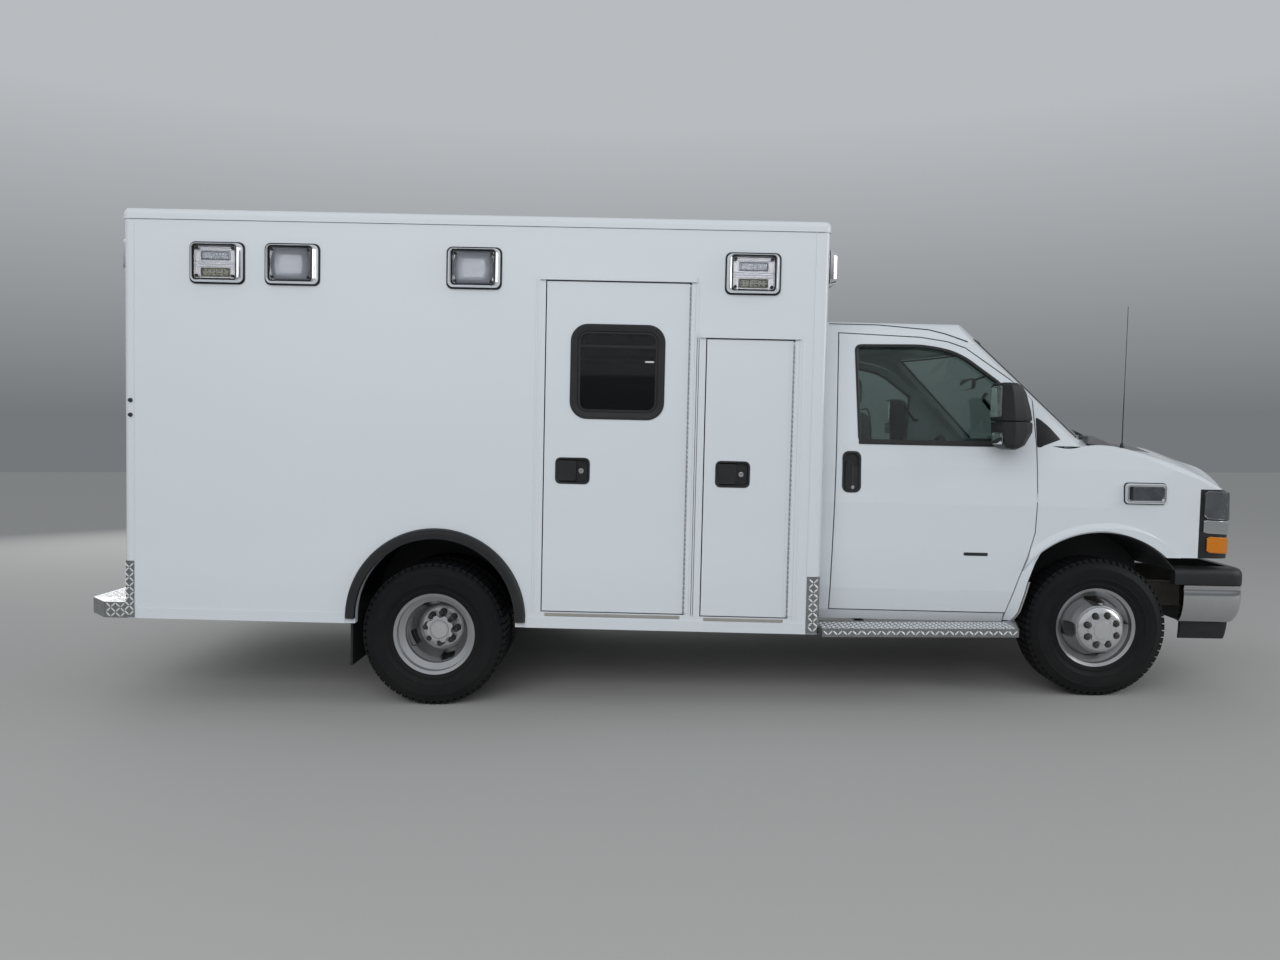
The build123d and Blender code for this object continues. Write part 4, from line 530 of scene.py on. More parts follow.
cloth = surface("seat_cloth", (0.12, 0.12, 0.125), (0.17, 0.17, 0.175), (0.85, 0.95), 30.0,
                dust=0.0, fine=1400.0, coarse=200.0, share=0.4, bump=0.5,
                fixed={"Sheen Weight": 0.25})
lining = surface("lining", (0.66, 0.66, 0.64), (0.72, 0.72, 0.70), (0.35, 0.5), 5.0, dust=0.05,
                 bump=0.05)
floor_vinyl = surface("floor_vinyl", (0.20, 0.21, 0.22), (0.30, 0.31, 0.32), (0.45, 0.6), 60.0,
                      dust=0.05, bump=0.1)
tinted = clear("green_glass", (0.52, 0.62, 0.59))
dark_glass = clear("dark_glass", (0.10, 0.11, 0.12))
lens = clear("clear_lens", (0.93, 0.94, 0.95), 0.03)
red_lens = clear("red_lens", (0.65, 0.02, 0.015), 0.05, weight=0.35)
amber_lens = clear("amber_lens", (0.95, 0.30, 0.02), 0.05, weight=0.35)
frosted = surface("frosted_reflector", (0.50, 0.50, 0.54), (0.58, 0.58, 0.62), (0.30, 0.38), 5.0,
                  dust=0.0, bump=0.03, fixed={"Metallic": 0.45})
bowl_grey = surface("bowl_grey", (0.34, 0.36, 0.41), (0.41, 0.43, 0.48), (0.30, 0.38), 5.0,
                    dust=0.0, bump=0.03, fixed={"Metallic": 0.3})
led = surface("led_array", (0.25, 0.25, 0.17), (0.13, 0.13, 0.09), (0.3, 0.5), 90.0, dust=0.0,
              bump=0.1)
mirror_face = surface("mirror_glass", (0.85, 0.87, 0.88), (0.82, 0.84, 0.86), (0.01, 0.03), 2.0,
                      dust=0.0, bump=0.0, fixed={"Metallic": 1.0})
print("materials", len(bpy.data.materials))

# %% [markdown]
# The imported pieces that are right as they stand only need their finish. A short table says
# which material each one takes.

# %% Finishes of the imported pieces
FINISHES = (
    (paint, ("module_frame", "module_right_wall", "module_left_wall", "module_front_wall",
             "module_rear_wall", "entry_door", "curb_compartment_door", "street_front_door",
             "street_middle_door", "street_rear_door", "rear_door_right", "rear_door_left",
             "cab_shell", "cab_door_right", "cab_door_left", "front_fenders", "hood")),
    (steel, ("rim_front_right", "rim_front_left", "rims_rear_right", "rims_rear_left")),
    (rubber, ("tyre_front_right", "tyre_front_left", "tyres_rear_right", "tyres_rear_left")),
    (trim, ("fender_rings", "bumper_pads", "wheelhouses", "mirror_right", "mirror_left",
            "grille", "headlamps")),
    (chassis, ("chassis_frame", "fuel_tank")),
    (casting, ("rear_axle", "engine_block", "exhaust", "radiator", "knuckle_right",
               "knuckle_left")),
    (chrome, ("front_bumper", "body_lights")),
    (plate, ("rear_step", "running_boards", "corner_guards")),
    (grey, ("cowl", "dashboard", "cab_floor")),
    (cloth, ("seats",)),
    (lining, ("compartment_liners", "patient_bench", "patient_cabinets")),
    (floor_vinyl, ("module_floor",)),
    (tinted, ("windshield", "cab_glass_right", "cab_glass_left")),
    (dark_glass, ("entry_window", "rear_window_right", "rear_window_left")),
)

for material, names in FINISHES:
    for name in names:
        nodes[name].data.materials.clear()
        nodes[name].data.materials.append(material)
finished = {name for material, names in FINISHES for name in names}
print("without a finish:", sorted(set(nodes) - finished))

# %% [markdown]
# A surface lamp has a black gasket against the wall, a chrome bezel with sloping sides, and a
# clear lens held by four screws. Behind it is a plain reflector, and a scene lamp has a
# barrel-shaped bowl in front of that.

# %% Surface lamps on the module
LAMP_SIZE = (0.283, 0.213)
SIDE_LAMPS = ((-1.120, "warning"), (-0.735, "scene"), (0.193, "scene"), (1.610, "warning"))
SIDE_LAMP_Z = 2.262
END_LAMP_SIZE = (0.23, 0.18)
END_LAMP_Z = 2.312
REAR_LAMP_Y = (-1.035, -0.735, 0.735, 1.035)
FRONT_LAMP_Y = (-1.060, -0.780, 0.780, 1.060)
GASKET = 0.006
LAMP_DEPTH = 0.045
LAMP_BARS = (0.062, 0.036)
SCREW_IN = (0.049, 0.037)
BOWL_STEPS = 10
BOWL_BOW = 0.09


def lamp_opening(size, less=0.0):
    """Width and height inside the bezel, whose upright bars are the broader ones."""
    return size[0] - LAMP_BARS[0] - less, size[1] - LAMP_BARS[1] - less


def barrel(width, height):
    """Outline with a straight top and bottom and bowed sides."""
    rises = [k / BOWL_STEPS for k in range(BOWL_STEPS + 1)]
    side = [(width / 2 - BOWL_BOW * width * (2 * t - 1) ** 2, height * (t - 0.5)) for t in rises]
    return side + [(-x, -y) for x, y in side]


def lamp_gasket(bm, size, place):
    face = rounded(size[0], size[1], 0.030)
    skin(bm, [(face, 0), (face, GASKET)], place)
    steps = ((0.001, 0.014), (0.001, 0.037), (0.008, 0.037), (0.008, 0.014))
    skin(bm, [(rounded(*lamp_opening(size, g), 0.013), d) for g, d in steps], place,
         closed=True)


def lamp_bezel(bm, size, place):
    w, h = size[0] - 0.012, size[1] - 0.012
    steps = ((0.0, 0.028, GASKET), (0.004, 0.027, 0.018), (0.028, 0.022, 0.041),
             (0.036, 0.020, LAMP_DEPTH), (0.046, 0.016, 0.042), (0.050, 0.015, GASKET))
    skin(bm, [(rounded(w - g, h - 0.48 * g, r), d) for g, r, d in steps], place, closed=True)


def lamp_lens(bm, size, place):
    steps = ((0.0, 0.012, 0.014), (0.0, 0.012, 0.032), (-0.006, 0.010, 0.036))
    skin(bm, plates(lamp_opening(size, 0.010), steps), place)


def lamp_back(bm, size, place):
    """Plain reflector behind a lens."""
    w, h = lamp_opening(size)
    skin(bm, [(rounded(w, h, 0.012), GASKET), (rounded(w, h, 0.012), 0.012)], place)


def lamp_bowl(bm, size, place):
    """Grey bowl of a scene lamp, barrel-shaped in its frame."""
    w, h = lamp_opening(size, 0.016)
    steps = ((1.0, 0.012), (1.0, 0.024), (0.97, 0.028), (0.93, 0.022), (0.80, 0.016),
             (0.50, 0.0135), (0.2, 0.013))
    skin(bm, [(barrel(w * s, h * s), d) for s, d in steps], place)


def lamp_screws(bm, size, place):
    for u in (-1, 1):
        for v in (-1, 1):
            at = Matrix.Translation((u * (size[0] / 2 - SCREW_IN[0]),
                                     v * (size[1] / 2 - SCREW_IN[1]), 0))
            head = ((0.008, 0.030), (0.008, 0.039), (0.0035, 0.0395), (0.003, 0.037))
            stack(bm, head, 12, place @ at)


def lamp_places():
    """Every surface lamp: its size, its kind and its place."""
    found = []
    for side in (-1, 1):
        for x, kind in SIDE_LAMPS:
            found.append((LAMP_SIZE, kind, on_wall(side, x, SIDE_LAMP_Z)))
    for y in FRONT_LAMP_Y:
        found.append((END_LAMP_SIZE, "warning", on_end(FRONT_X, y, END_LAMP_Z, 1)))
    for y in REAR_LAMP_Y:
        kind = "warning" if abs(y) > 1 else "scene"
        found.append((END_LAMP_SIZE, kind, on_end(REAR_X, y, END_LAMP_Z, -1)))
    return found


def build_lamps():
    bms = {key: bmesh.new() for key in ("gasket", "bezel", "lens", "back", "bowl", "screws")}
    for size, kind, place in lamp_places():
        lamp_gasket(bms["gasket"], size, place)
        lamp_bezel(bms["bezel"], size, place)
        lamp_lens(bms["lens"], size, place)
        lamp_screws(bms["screws"], size, place)
        lamp_back(bms["back"], size, place)
        if kind == "scene":
            lamp_bowl(bms["bowl"], size, place)
    bezels = piece("lamp_bezels", bms["bezel"], chrome, "vehicle", "chrome")
    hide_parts("body_lights")
    piece("lamp_gaskets", bms["gasket"], trim, "vehicle", "black_rubber")
    piece("lamp_lenses", bms["lens"], lens, "vehicle", "lamp_lens")
    piece("lamp_reflectors", bms["back"], frosted, "vehicle", "chrome")
    piece("lamp_bowls", bms["bowl"], bowl_grey, "vehicle", "chrome")
    piece("lamp_screws", bms["screws"], chassis, "vehicle", "black_plastic")


build_lamps()
print("surface lamps", len(lamp_places()))

# %% [markdown]
# Tread blocks, hinge knuckles and the lozenges of tread plate are one small shape repeated.
# Three Geometry Nodes trees do that: round a ring, along a line and over a grid. Their counts
# and pitches are the modifier's inputs, so a row is changed there and not in the mesh.

# %% Geometry Nodes for repeated shapes
GEOMETRY, WHOLE, FINISH = "NodeSocketGeometry", "NodeSocketInt", "NodeSocketMaterial"


def vector(tree, *parts):
    node = tree.nodes.new("ShaderNodeCombineXYZ")
    for part, socket in zip(parts, node.inputs):
        feed(tree, part, socket)
    return node.outputs[0]


def new_copier(name, inputs):
    """Starts a tree that takes a seed mesh, some numbers and a material."""
    tree = bpy.data.node_groups.new(name, "GeometryNodeTree")
    add_socket(tree, "Seed", GEOMETRY, "INPUT")
    for label, kind, value in inputs:
        add_socket(tree, label, kind, "INPUT", value)
    add_socket(tree, "Material", FINISH, "INPUT")
    add_socket(tree, "Geometry", GEOMETRY, "OUTPUT")
    return tree, tree.nodes.new("NodeGroupInput"), tree.nodes.new("GeometryNodeInputIndex")


def end_copier(tree, start, count, position, turn):
    """Sets the seed on count points, then realizes the copies and gives them the material."""
    points = tree.nodes.new("GeometryNodePoints")
    tree.links.new(count, points.inputs["Count"])
    tree.links.new(position, points.inputs["Position"])
    copies = tree.nodes.new("GeometryNodeInstanceOnPoints")
    tree.links.new(points.outputs[0], copies.inputs["Points"])
    tree.links.new(start.outputs["Seed"], copies.inputs["Instance"])
    tree.links.new(turn, copies.inputs["Rotation"])
    real = tree.nodes.new("GeometryNodeRealizeInstances")
    tree.links.new(copies.outputs[0], real.inputs[0])
    finish = tree.nodes.new("GeometryNodeSetMaterial")
    tree.links.new(real.outputs[0], finish.inputs["Geometry"])
    tree.links.new(start.outputs["Material"], finish.inputs["Material"])
    end = tree.nodes.new("NodeGroupOutput")
    tree.links.new(finish.outputs[0], end.inputs[0])
    return tree


def ring_tree():
    """Copies round the Z axis."""
    tree, start, index = new_copier("ring_of_copies", [("Count", WHOLE, 8)])
    step = maths(tree, "DIVIDE", math.tau, start.outputs["Count"])
    turn = vector(tree, 0, 0, maths(tree, "MULTIPLY", index.outputs[0], step))
    return end_copier(tree, start, start.outputs["Count"], vector(tree, 0, 0, 0), turn)


def line_tree():
    """Copies up the Z axis."""
    tree, start, index = new_copier("line_of_copies", [("Count", WHOLE, 8),
                                                       ("Pitch", NUMBER, 0.02)])
    height = maths(tree, "MULTIPLY", index.outputs[0], start.outputs["Pitch"])
    return end_copier(tree, start, start.outputs["Count"], vector(tree, 0, 0, height),
                      vector(tree, 0, 0, 0))


def grid_tree():
    """Copies over a grid, where each turns the other way from its neighbours."""
    tree, start, index = new_copier(
        "grid_of_copies", [("Across", WHOLE, 4), ("Up", WHOLE, 4), ("Pitch U", NUMBER, 0.03),
                           ("Pitch V", NUMBER, 0.03), ("Turn", NUMBER, 0.0)])
    across = start.outputs["Across"]
    row = maths(tree, "FLOOR", maths(tree, "DIVIDE", index.outputs[0], across), 0)
    column = maths(tree, "SUBTRACT", index.outputs[0], maths(tree, "MULTIPLY", row, across))
    place = vector(tree, maths(tree, "MULTIPLY", column, start.outputs["Pitch U"]),
                   maths(tree, "MULTIPLY", row, start.outputs["Pitch V"]), 0)
    parity = maths(tree, "FLOORED_MODULO", maths(tree, "ADD", row, column), 2)
    sign = maths(tree, "SUBTRACT", maths(tree, "MULTIPLY", parity, 2), 1)
    turn = vector(tree, 0, 0, maths(tree, "MULTIPLY", sign, start.outputs["Turn"]))
    count = maths(tree, "MULTIPLY", across, start.outputs["Up"])
    return end_copier(tree, start, count, place, turn)


RING, LINE, GRID = ring_tree(), line_tree(), grid_tree()


def evaluated(holder):
    """The mesh that an object's modifiers make of it."""
    graph = bpy.context.evaluated_depsgraph_get()
    return bpy.data.meshes.new_from_object(holder.evaluated_get(graph))


def copies(bm, tree, seed, material, place, **values):
    """Runs a tree on a seed shape and adds what it makes to a bmesh, moved to a place."""
    holder = to_object("seed", seed)
    modifier = holder.modifiers.new("copies", "NODES")
    modifier.node_group = tree
    values["Material"] = material
    for item in tree.interface.items_tree:
        if item.in_out == "INPUT" and item.name.replace(" ", "_") in values:
            modifier[item.identifier] = values[item.name.replace(" ", "_")]
    made = evaluated(holder)
    bpy.data.objects.remove(holder)
    made.transform(place)
    bm.from_mesh(made)
    bpy.data.meshes.remove(made)


print("trees", [t.name for t in (RING, LINE, GRID)])

# %% [markdown]
# Round parts are turned: a profile of radius and height is carried once round the axle. The
# tyre's profile has sidewall ribs and a shoulder, and its tread blocks stand on a base a few
# millimetres lower.

# %% Tyres
TYRE_SIDE = ((0.207, 0.070), (0.208, 0.086), (0.216, 0.092), (0.229, 0.095), (0.232, 0.098),
             (0.237, 0.098), (0.240, 0.0965), (0.262, 0.1055), (0.264, 0.1075), (0.268, 0.1078),
             (0.270, 0.1070), (0.292, 0.1110), (0.313, 0.1105), (0.315, 0.1120),
             (0.319, 0.1112), (0.321, 0.1090), (0.338, 0.1040), (0.349, 0.0975),
             (0.357, 0.0885), (0.3625, 0.0790))
TREAD_BASE = 0.3632
TREAD_TOP = 0.3715
TREAD_COUNT = 62
TREAD_ROWS = ((-0.0715, 0.032, 0.010), (-0.0360, 0.029, -0.006), (0.0, 0.027, 0.006),
              (0.0360, 0.029, -0.006), (0.0715, 0.032, 0.010))
TREAD_LENGTH = 0.031
SHOULDER_LUG = (0.0885, 0.020, 0.352)
TYRE_STEPS = 96
REAR_TYRES_Y = (1.085, 0.810)
FRONT_TYRE_Y = 0.872


def turned(bm, profile, place, steps):
    """Turns a (radius, height) profile once round the place's third way."""
    turns = [math.tau * k / steps for k in range(steps)]
    lofted(bm, [[place @ Vector((r * math.cos(turn), r * math.sin(turn), h)) for r, h in profile]
                for turn in turns], closed=True)


def tread_seed():
    """The blocks across the tread at one place round the tyre."""
    seed = bmesh.new()
    half = TREAD_LENGTH / 2
    for height, width, slant in TREAD_ROWS:
        low = [(u * half + slant * v / width * 0.5, height + v)
               for u, v in ((-1, -width / 2), (1, -width / 2), (1, width / 2), (-1, width / 2))]
        rings = []
        for scale, radius in ((1.0, TREAD_BASE - 0.001), (1.0, TREAD_TOP - 0.0012),
                              (0.93, TREAD_TOP)):
            rings.append([(radius, p * scale, height + (q - height) * scale) for p, q in low])
        lofted(seed, rings, pan=True)
    height, width, radius = SHOULDER_LUG
    for way in (-1, 1):
        corners = [(TREAD_TOP - 0.004, way * (height - 0.003)), (radius, way * (height + 0.0095)),
                   (radius - 0.006, way * (height + 0.008)), (TREAD_BASE - 0.006, way * height)]
        lofted(seed, [[(r, u * width / 2, h) for r, h in corners] for u in (-1, 1)])
    return seed


def tyre(bm, place):
    inner = [(r, -h) for r, h in reversed(TYRE_SIDE)]
    turned(bm, list(TYRE_SIDE) + inner, place, TYRE_STEPS)
    copies(bm, RING, tread_seed(), rubber, place, Count=TREAD_COUNT)


def build_tyres():
    for side, name in SIDES:
        bm = bmesh.new()
        tyre(bm, on_axle(WHEELBASE, side * FRONT_TYRE_Y, side))
        front = piece("tread_front_" + name, bm, rubber, "wheel_front_" + name, "tyre")
        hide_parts("tyre_front_" + name)
        bm = bmesh.new()
        for y in REAR_TYRES_Y:
            tyre(bm, on_axle(0, side * y, side))
        rear = piece("tread_rear_" + name, bm, rubber, "wheels_rear_" + name, "tyre")
        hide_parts("tyres_rear_" + name)


build_tyres()
print("tread blocks round a tyre:", TREAD_COUNT * len(TREAD_ROWS))

# %% [markdown]
# A front wheel carries a bright hub cover that bulges outboard, and a rear pair a flat plate
# deep in its dish. Both end in a scalloped bare cap that lets eight dark nuts through.

# %% Hub covers, caps, nuts and valves
FACE = 0.1375
REAR_FACE = -0.1275
NUT_CIRCLE = 0.0825
NUT_COUNT = 8
FRONT_TURN = Matrix.Rotation(math.radians(2.5), 4, "Z")
REAR_TURN = Matrix.Rotation(math.radians(18.0), 4, "Z")
FRONT_NUT = (FACE, 0.0232, 0.0370)
REAR_NUT = (REAR_FACE, 0.0050, 0.0660)
FRONT_CAP = (0.1575, 0.1745)
REAR_CAP = (-0.0500, -0.0345)
FRONT_VALVE = (0.08, 0.174, 0.055)
REAR_VALVE = (2.6, 0.181, -0.040)
CAP_R = 0.0745
CAP_STEPS = 96
BITE_R = 0.0205
FRONT_COVER = ((0.0480, 0.1385), (0.1215, 0.1385), (0.1225, 0.1395), (0.1205, 0.1440),
               (0.1130, 0.1510), (0.0980, 0.1570), (0.0800, 0.1600), (0.0480, 0.1605))
REAR_PLATE = ((0.0600, REAR_FACE + 0.0003), (0.1065, REAR_FACE + 0.0003),
              (0.1075, REAR_FACE + 0.0020), (0.1060, REAR_FACE + 0.0040),
              (0.0600, REAR_FACE + 0.0040))


def scalloped(radius):
    """Outline of a cap with one round bite for each nut."""
    points = []
    for k in range(CAP_STEPS):
        turn = math.tau * k / CAP_STEPS
        near = (turn * NUT_COUNT / math.tau) % 1.0 - 0.5
        offset = abs(near) * math.tau / NUT_COUNT * NUT_CIRCLE
        reach = radius
        if offset < BITE_R:
            reach = min(radius, NUT_CIRCLE - math.sqrt(BITE_R ** 2 - offset ** 2))
        points.append((reach * math.cos(turn), reach * math.sin(turn)))
    return points


def scaled(points, factor):
    return [(u * factor, v * factor) for u, v in points]


def star_cap(bm, base, top, place):
    """Scalloped cap with a raised bare disc in its middle."""
    edge = scalloped(CAP_R)
    rise = top - base
    skin(bm, [(scaled(edge, 0.97), base), (edge, base + 0.30 * rise), (edge, base + 0.55 * rise),
              (scaled(edge, 0.975), base + 0.70 * rise), (scaled(edge, 0.90), base + 0.78 * rise)],
         place)
    disc = ((0.0480, base + 0.75 * rise), (0.0478, base + 0.80 * rise), (0.0462, top),
            (0.0448, top), (0.0440, top - 0.0012), (0.0425, top - 0.0012), (0.0415, top - 0.0002),
            (0.020, top + 0.0004))
    stack(bm, disc, 48, place)


def nut_seed(base, deep, tall):
    """One nut: dark socket, hexagon and domed end."""
    seed = bmesh.new()
    at = Matrix.Translation((NUT_CIRCLE, 0, base))
    socket = ((0.0185, 0.0), (0.0190, deep - 0.001), (0.0182, deep), (0.0150, deep))
    stack(seed, socket, 24, at)
    hexagon = ((0.0160, deep - 0.0005), (0.0160, tall - 0.0065), (0.0146, tall - 0.0040))
    stack(seed, hexagon, 6, at)
    dome = ((0.0136, tall - 0.0055), (0.0132, tall - 0.0025), (0.0110, tall - 0.0008),
            (0.0060, tall))
    stack(seed, dome, 20, at)
    return seed


def nuts(bm, base, deep, tall, place):
    half = Matrix.Rotation(math.pi / NUT_COUNT, 4, "Z")
    copies(bm, RING, nut_seed(base, deep, tall), chassis, place @ half, Count=NUT_COUNT)


def valve(bm, turn, radius, base, place):
    """Rubber-footed valve with a knurled cap."""
    at = place @ Matrix.Rotation(turn, 4, "Z") @ Matrix.Translation((radius, 0, base))
    stem = ((0.0085, 0.0), (0.0080, 0.008), (0.0042, 0.013), (0.0040, 0.026), (0.0052, 0.0265),
            (0.0050, 0.037), (0.0030, 0.039))
    stack(bm, stem, 16, at)


def hub(name, body, place, disc, cap, nut, stem):
    caps, dark = bmesh.new(), bmesh.new()
    turned(caps, disc, place, 64)
    star_cap(caps, *cap, place)
    nuts(dark, *nut, place)
    valve(dark, *stem, place)
    piece("hub_" + name, caps, cover, body, "wheel_steel")
    piece("nuts_" + name, dark, nut_black, body, "black_plastic")


def build_hubs():
    for side, name in SIDES:
        front = on_axle(WHEELBASE, side * FRONT_TYRE_Y, side) @ FRONT_TURN
        rear = on_axle(0, side * REAR_TYRES_Y[0], side) @ REAR_TURN
        hub("front_" + name, "wheel_front_" + name, front, FRONT_COVER, FRONT_CAP, FRONT_NUT,
            FRONT_VALVE)
        hub("rear_" + name, "wheels_rear_" + name, rear, REAR_PLATE, REAR_CAP, REAR_NUT,
            REAR_VALVE)


cover = surface("bright_cover", (0.70, 0.71, 0.73), (0.64, 0.65, 0.67), (0.20, 0.30), 6.0,
                dust=0.2, dust_top=0.7, bump=0.05, fixed={"Metallic": 0.75})
nut_black = surface("nut_black", (0.018, 0.018, 0.020), (0.028, 0.028, 0.030), (0.30, 0.42), 9.0,
                    dust=0.15, dust_top=0.6, fine=500.0, bump=0.12)
build_hubs()
print("nuts a wheel:", NUT_COUNT)

# %% [markdown]
# The module's doors hang on full-length hinges. Each shows as a fine row of knuckles along the
# door's front edge, over a thin black core whose dark gaps between the knuckles are painted shade.

# %% Hinge knuckles
KNUCKLE_PITCH = 0.0250
KNUCKLE = ((0.00395, 0.0), (0.00472, 0.0010), (0.00472, 0.0222), (0.00395, 0.0232))
PIN_OUT = 0.005
GAP_SHADE_R = 0.00455
ENTRY_X = (0.560, 1.300)
CURB_X = (1.381, 1.833)
MIDDLE_X = (-0.390, 0.420)
REAR_BAY_X = (-1.465, -0.560)
ENTRY_Z = (0.511, 2.212)
CURB_Z = (0.505, 1.935)
MIDDLE_Z = (1.010, 1.935)
SEAM = 0.006
SIDE_DOORS = ((-1, ENTRY_X, ENTRY_Z, "door_entry", "entry_door"),
              (-1, CURB_X, CURB_Z, "door_curb", "curb_door"),
              (1, CURB_X, CURB_Z, "door_street_front", "street_front"),
              (1, MIDDLE_X, MIDDLE_Z, "door_street_middle", "street_middle"),
              (1, REAR_BAY_X, CURB_Z, "door_street_rear", "street_rear"))
REAR_DOOR_Y = 0.612
REAR_DOOR_Z = (0.774, 2.212)


def knuckles(bm, length, place):
    seed = bmesh.new()
    stack(seed, KNUCKLE, 12, Matrix.Identity(4))
    copies(bm, LINE, seed, hinge_steel, place, Count=int(length / KNUCKLE_PITCH),
           Pitch=KNUCKLE_PITCH)


# Black core under the knuckles, seen only in the gaps between them: painted shade.
def knuckle_gap_shade(bm, length, place):
    stack(bm, ((GAP_SHADE_R, 0.0), (GAP_SHADE_R, length)), 12, place)


def hinge(name, body, place, length):
    bright, dark = bmesh.new(), bmesh.new()
    knuckles(bright, length, place)
    knuckle_gap_shade(dark, length, place)
    piece(name + "_knuckles", bright, hinge_steel, body, "tread_plate", sharp=40)
    piece(name + "_sleeve", dark, nut_black, body, "black_plastic")


def build_hinges():
    for side, x, z, body, name in SIDE_DOORS:
        at = LEVEL @ Matrix.Translation((x[1] - SEAM / 2, side * (WALL_Y + PIN_OUT),
                                         z[0] + SEAM))
        hinge(name, body, at, z[1] - z[0] - 2 * SEAM)
    for side, name in SIDES:
        at = LEVEL @ Matrix.Translation((REAR_X - PIN_OUT, side * (REAR_DOOR_Y - SEAM / 2),
                                         REAR_DOOR_Z[0] + SEAM))
        hinge("rear_door_" + name, "door_rear_" + name, at,
              REAR_DOOR_Z[1] - REAR_DOOR_Z[0] - 2 * SEAM)


hinge_steel = surface("hinge_steel", (0.52, 0.53, 0.54), (0.42, 0.43, 0.44), (0.30, 0.45), 40.0,
                      dust=0.1, bump=0.1, fixed={"Metallic": 0.9})
build_hinges()
print("hinges", len(SIDE_DOORS) + 2)

# %% [markdown]
# Tread plate has low lozenges that lean one way and the other in turn. The rear step, the running
# boards and the corner guards take them on each face that shows. The lozenges are painted far
# lighter than the plate, a painted glint on their tops.

# %% Tread plate
LOZENGE_LONG = 0.0320
LOZENGE_WIDE = 0.0090
LOZENGE_HIGH = 0.0020
LOZENGE_PITCH = 0.0250
LOZENGE_TURN = math.radians(45)
STEP_X = (-1.856, -1.605)
STEP_HALF = 1.180
STEP_Z = (0.420, 0.503)
STEP_CORNER = 0.130
BOARD_X = (2.014, 3.025)
BOARD_Y = (1.010, 1.207)
BOARD_Z = (0.369, 0.412)
GUARD_Z = (0.430, 0.725)
GUARD_OUT = 0.0025
GUARD_REAR = 0.056
GUARD_FRONT = 0.0715


def lozenge_seed():
    seed = bmesh.new()
    outline = [(LOZENGE_LONG / 2 * math.cos(t) * (1.0 if abs(math.sin(t)) < 0.9 else 0.9),
                LOZENGE_WIDE / 2 * math.sin(t))
               for t in [math.tau * k / 8 for k in range(8)]]
    skin(seed, [(outline, -0.0004), (scaled(outline, 0.72), LOZENGE_HIGH * 0.8),
                (scaled(outline, 0.45), LOZENGE_HIGH)], Matrix.Identity(4))
    return seed


def tread(bm, width, height, place):
    """Covers a rectangle, from its lower left corner, with lozenges."""
    across = max(1, int((width - 0.006) / LOZENGE_PITCH))
    up = max(1, int((height - 0.006) / LOZENGE_PITCH))
    start = Matrix.Translation(((width - (across - 1) * LOZENGE_PITCH) / 2,
                                (height - (up - 1) * LOZENGE_PITCH) / 2, 0))
    copies(bm, GRID, lozenge_seed(), plate, place @ start, Across=across, Up=up,
           Pitch_U=LOZENGE_PITCH, Pitch_V=LOZENGE_PITCH, Turn=LOZENGE_TURN)


def facing(origin, u, v, base=LEVEL):
    """Place with a corner and two ways along the face. The third way comes out of it."""
    u, v = Vector(u), Vector(v)
    return base @ Matrix((*zip(u, v, u.cross(v), origin), (0, 0, 0, 1)))


def step_tread(bm):
    inner = STEP_HALF - STEP_CORNER
    depth = STEP_X[1] - STEP_X[0]
    tread(bm, 2 * inner, depth, facing((STEP_X[1], -inner, STEP_Z[1]), (0, 1, 0), (-1, 0, 0)))
    tread(bm, 2 * inner, STEP_Z[1] - STEP_Z[0],
          facing((STEP_X[0], inner, STEP_Z[0]), (0, -1, 0), (0, 0, 1)))
    for side in (-1, 1):
        origin = (STEP_X[0] + STEP_CORNER, side * STEP_HALF, STEP_Z[0])
        length = depth - STEP_CORNER
        if side > 0:
            origin = (STEP_X[1], STEP_HALF, STEP_Z[0])
        tread(bm, length, STEP_Z[1] - STEP_Z[0], facing(origin, (-side, 0, 0), (0, 0, 1)))
        corner = facing((STEP_X[1] - 0.004, side * inner, STEP_Z[1]), (0, side, 0), (-1, 0, 0))
        if side < 0:
            corner = facing((STEP_X[0] + STEP_CORNER, side * inner, STEP_Z[1]), (0, -1, 0),
                            (1, 0, 0))
        tread(bm, STEP_CORNER - 0.004, depth - STEP_CORNER, corner)


def board_tread(bm):
    long = BOARD_X[1] - BOARD_X[0]
    wide = BOARD_Y[1] - BOARD_Y[0]
    for side in (-1, 1):
        u = (-side, 0, 0)
        start = BOARD_X[1] if side > 0 else BOARD_X[0]
        top = facing((start, side * BOARD_Y[1], BOARD_Z[1]), u, (0, -side, 0), GROUND)
        tread(bm, long, wide, top)
        face = facing((start, side * BOARD_Y[1], BOARD_Z[0]), u, (0, 0, 1), GROUND)
        tread(bm, long, BOARD_Z[1] - BOARD_Z[0], face)


def guard_tread(bm):
    high = GUARD_Z[1] - GUARD_Z[0]
    for side in (-1, 1):
        for x, reach in ((REAR_X, GUARD_REAR), (FRONT_X - GUARD_FRONT, GUARD_FRONT)):
            start = x + reach if side > 0 else x
            place = facing((start, side * (WALL_Y + GUARD_OUT), GUARD_Z[0]), (-side, 0, 0),
                           (0, 0, 1))
            tread(bm, reach, high, place)


def build_tread():
    bm = bmesh.new()
    step_tread(bm)
    board_tread(bm)
    guard_tread(bm)
    piece("tread_lozenges", bm, lozenge_bright, "vehicle", "tread_plate", sharp=60)


# The lozenges are the plate's own metal, painted near white as a painted glint on their tops.
lozenge_bright = surface("lozenge_bright", (0.90, 0.91, 0.92), (0.82, 0.83, 0.84), (0.15, 0.25),
                         30.0, dust=0.05, bump=0.03, fixed={"Metallic": 0.45})
build_tread()
print("tread plate laid")

# %% [markdown]
# Each door of the module has a pocket handle: a black pan with a rolled rim, a paddle that one
# pulls, and a round lock beside it. The pans sit in the pockets that the doors already have.

# %% Door handles
POCKET = (0.172, 0.130)
POCKET_R = 0.024
PADDLE = (0.096, 0.104)
PADDLE_SHIFT = 0.030
HANDLE_IN = 0.152
HANDLE_Z = 1.243
LOCK_SHIFT = 0.044


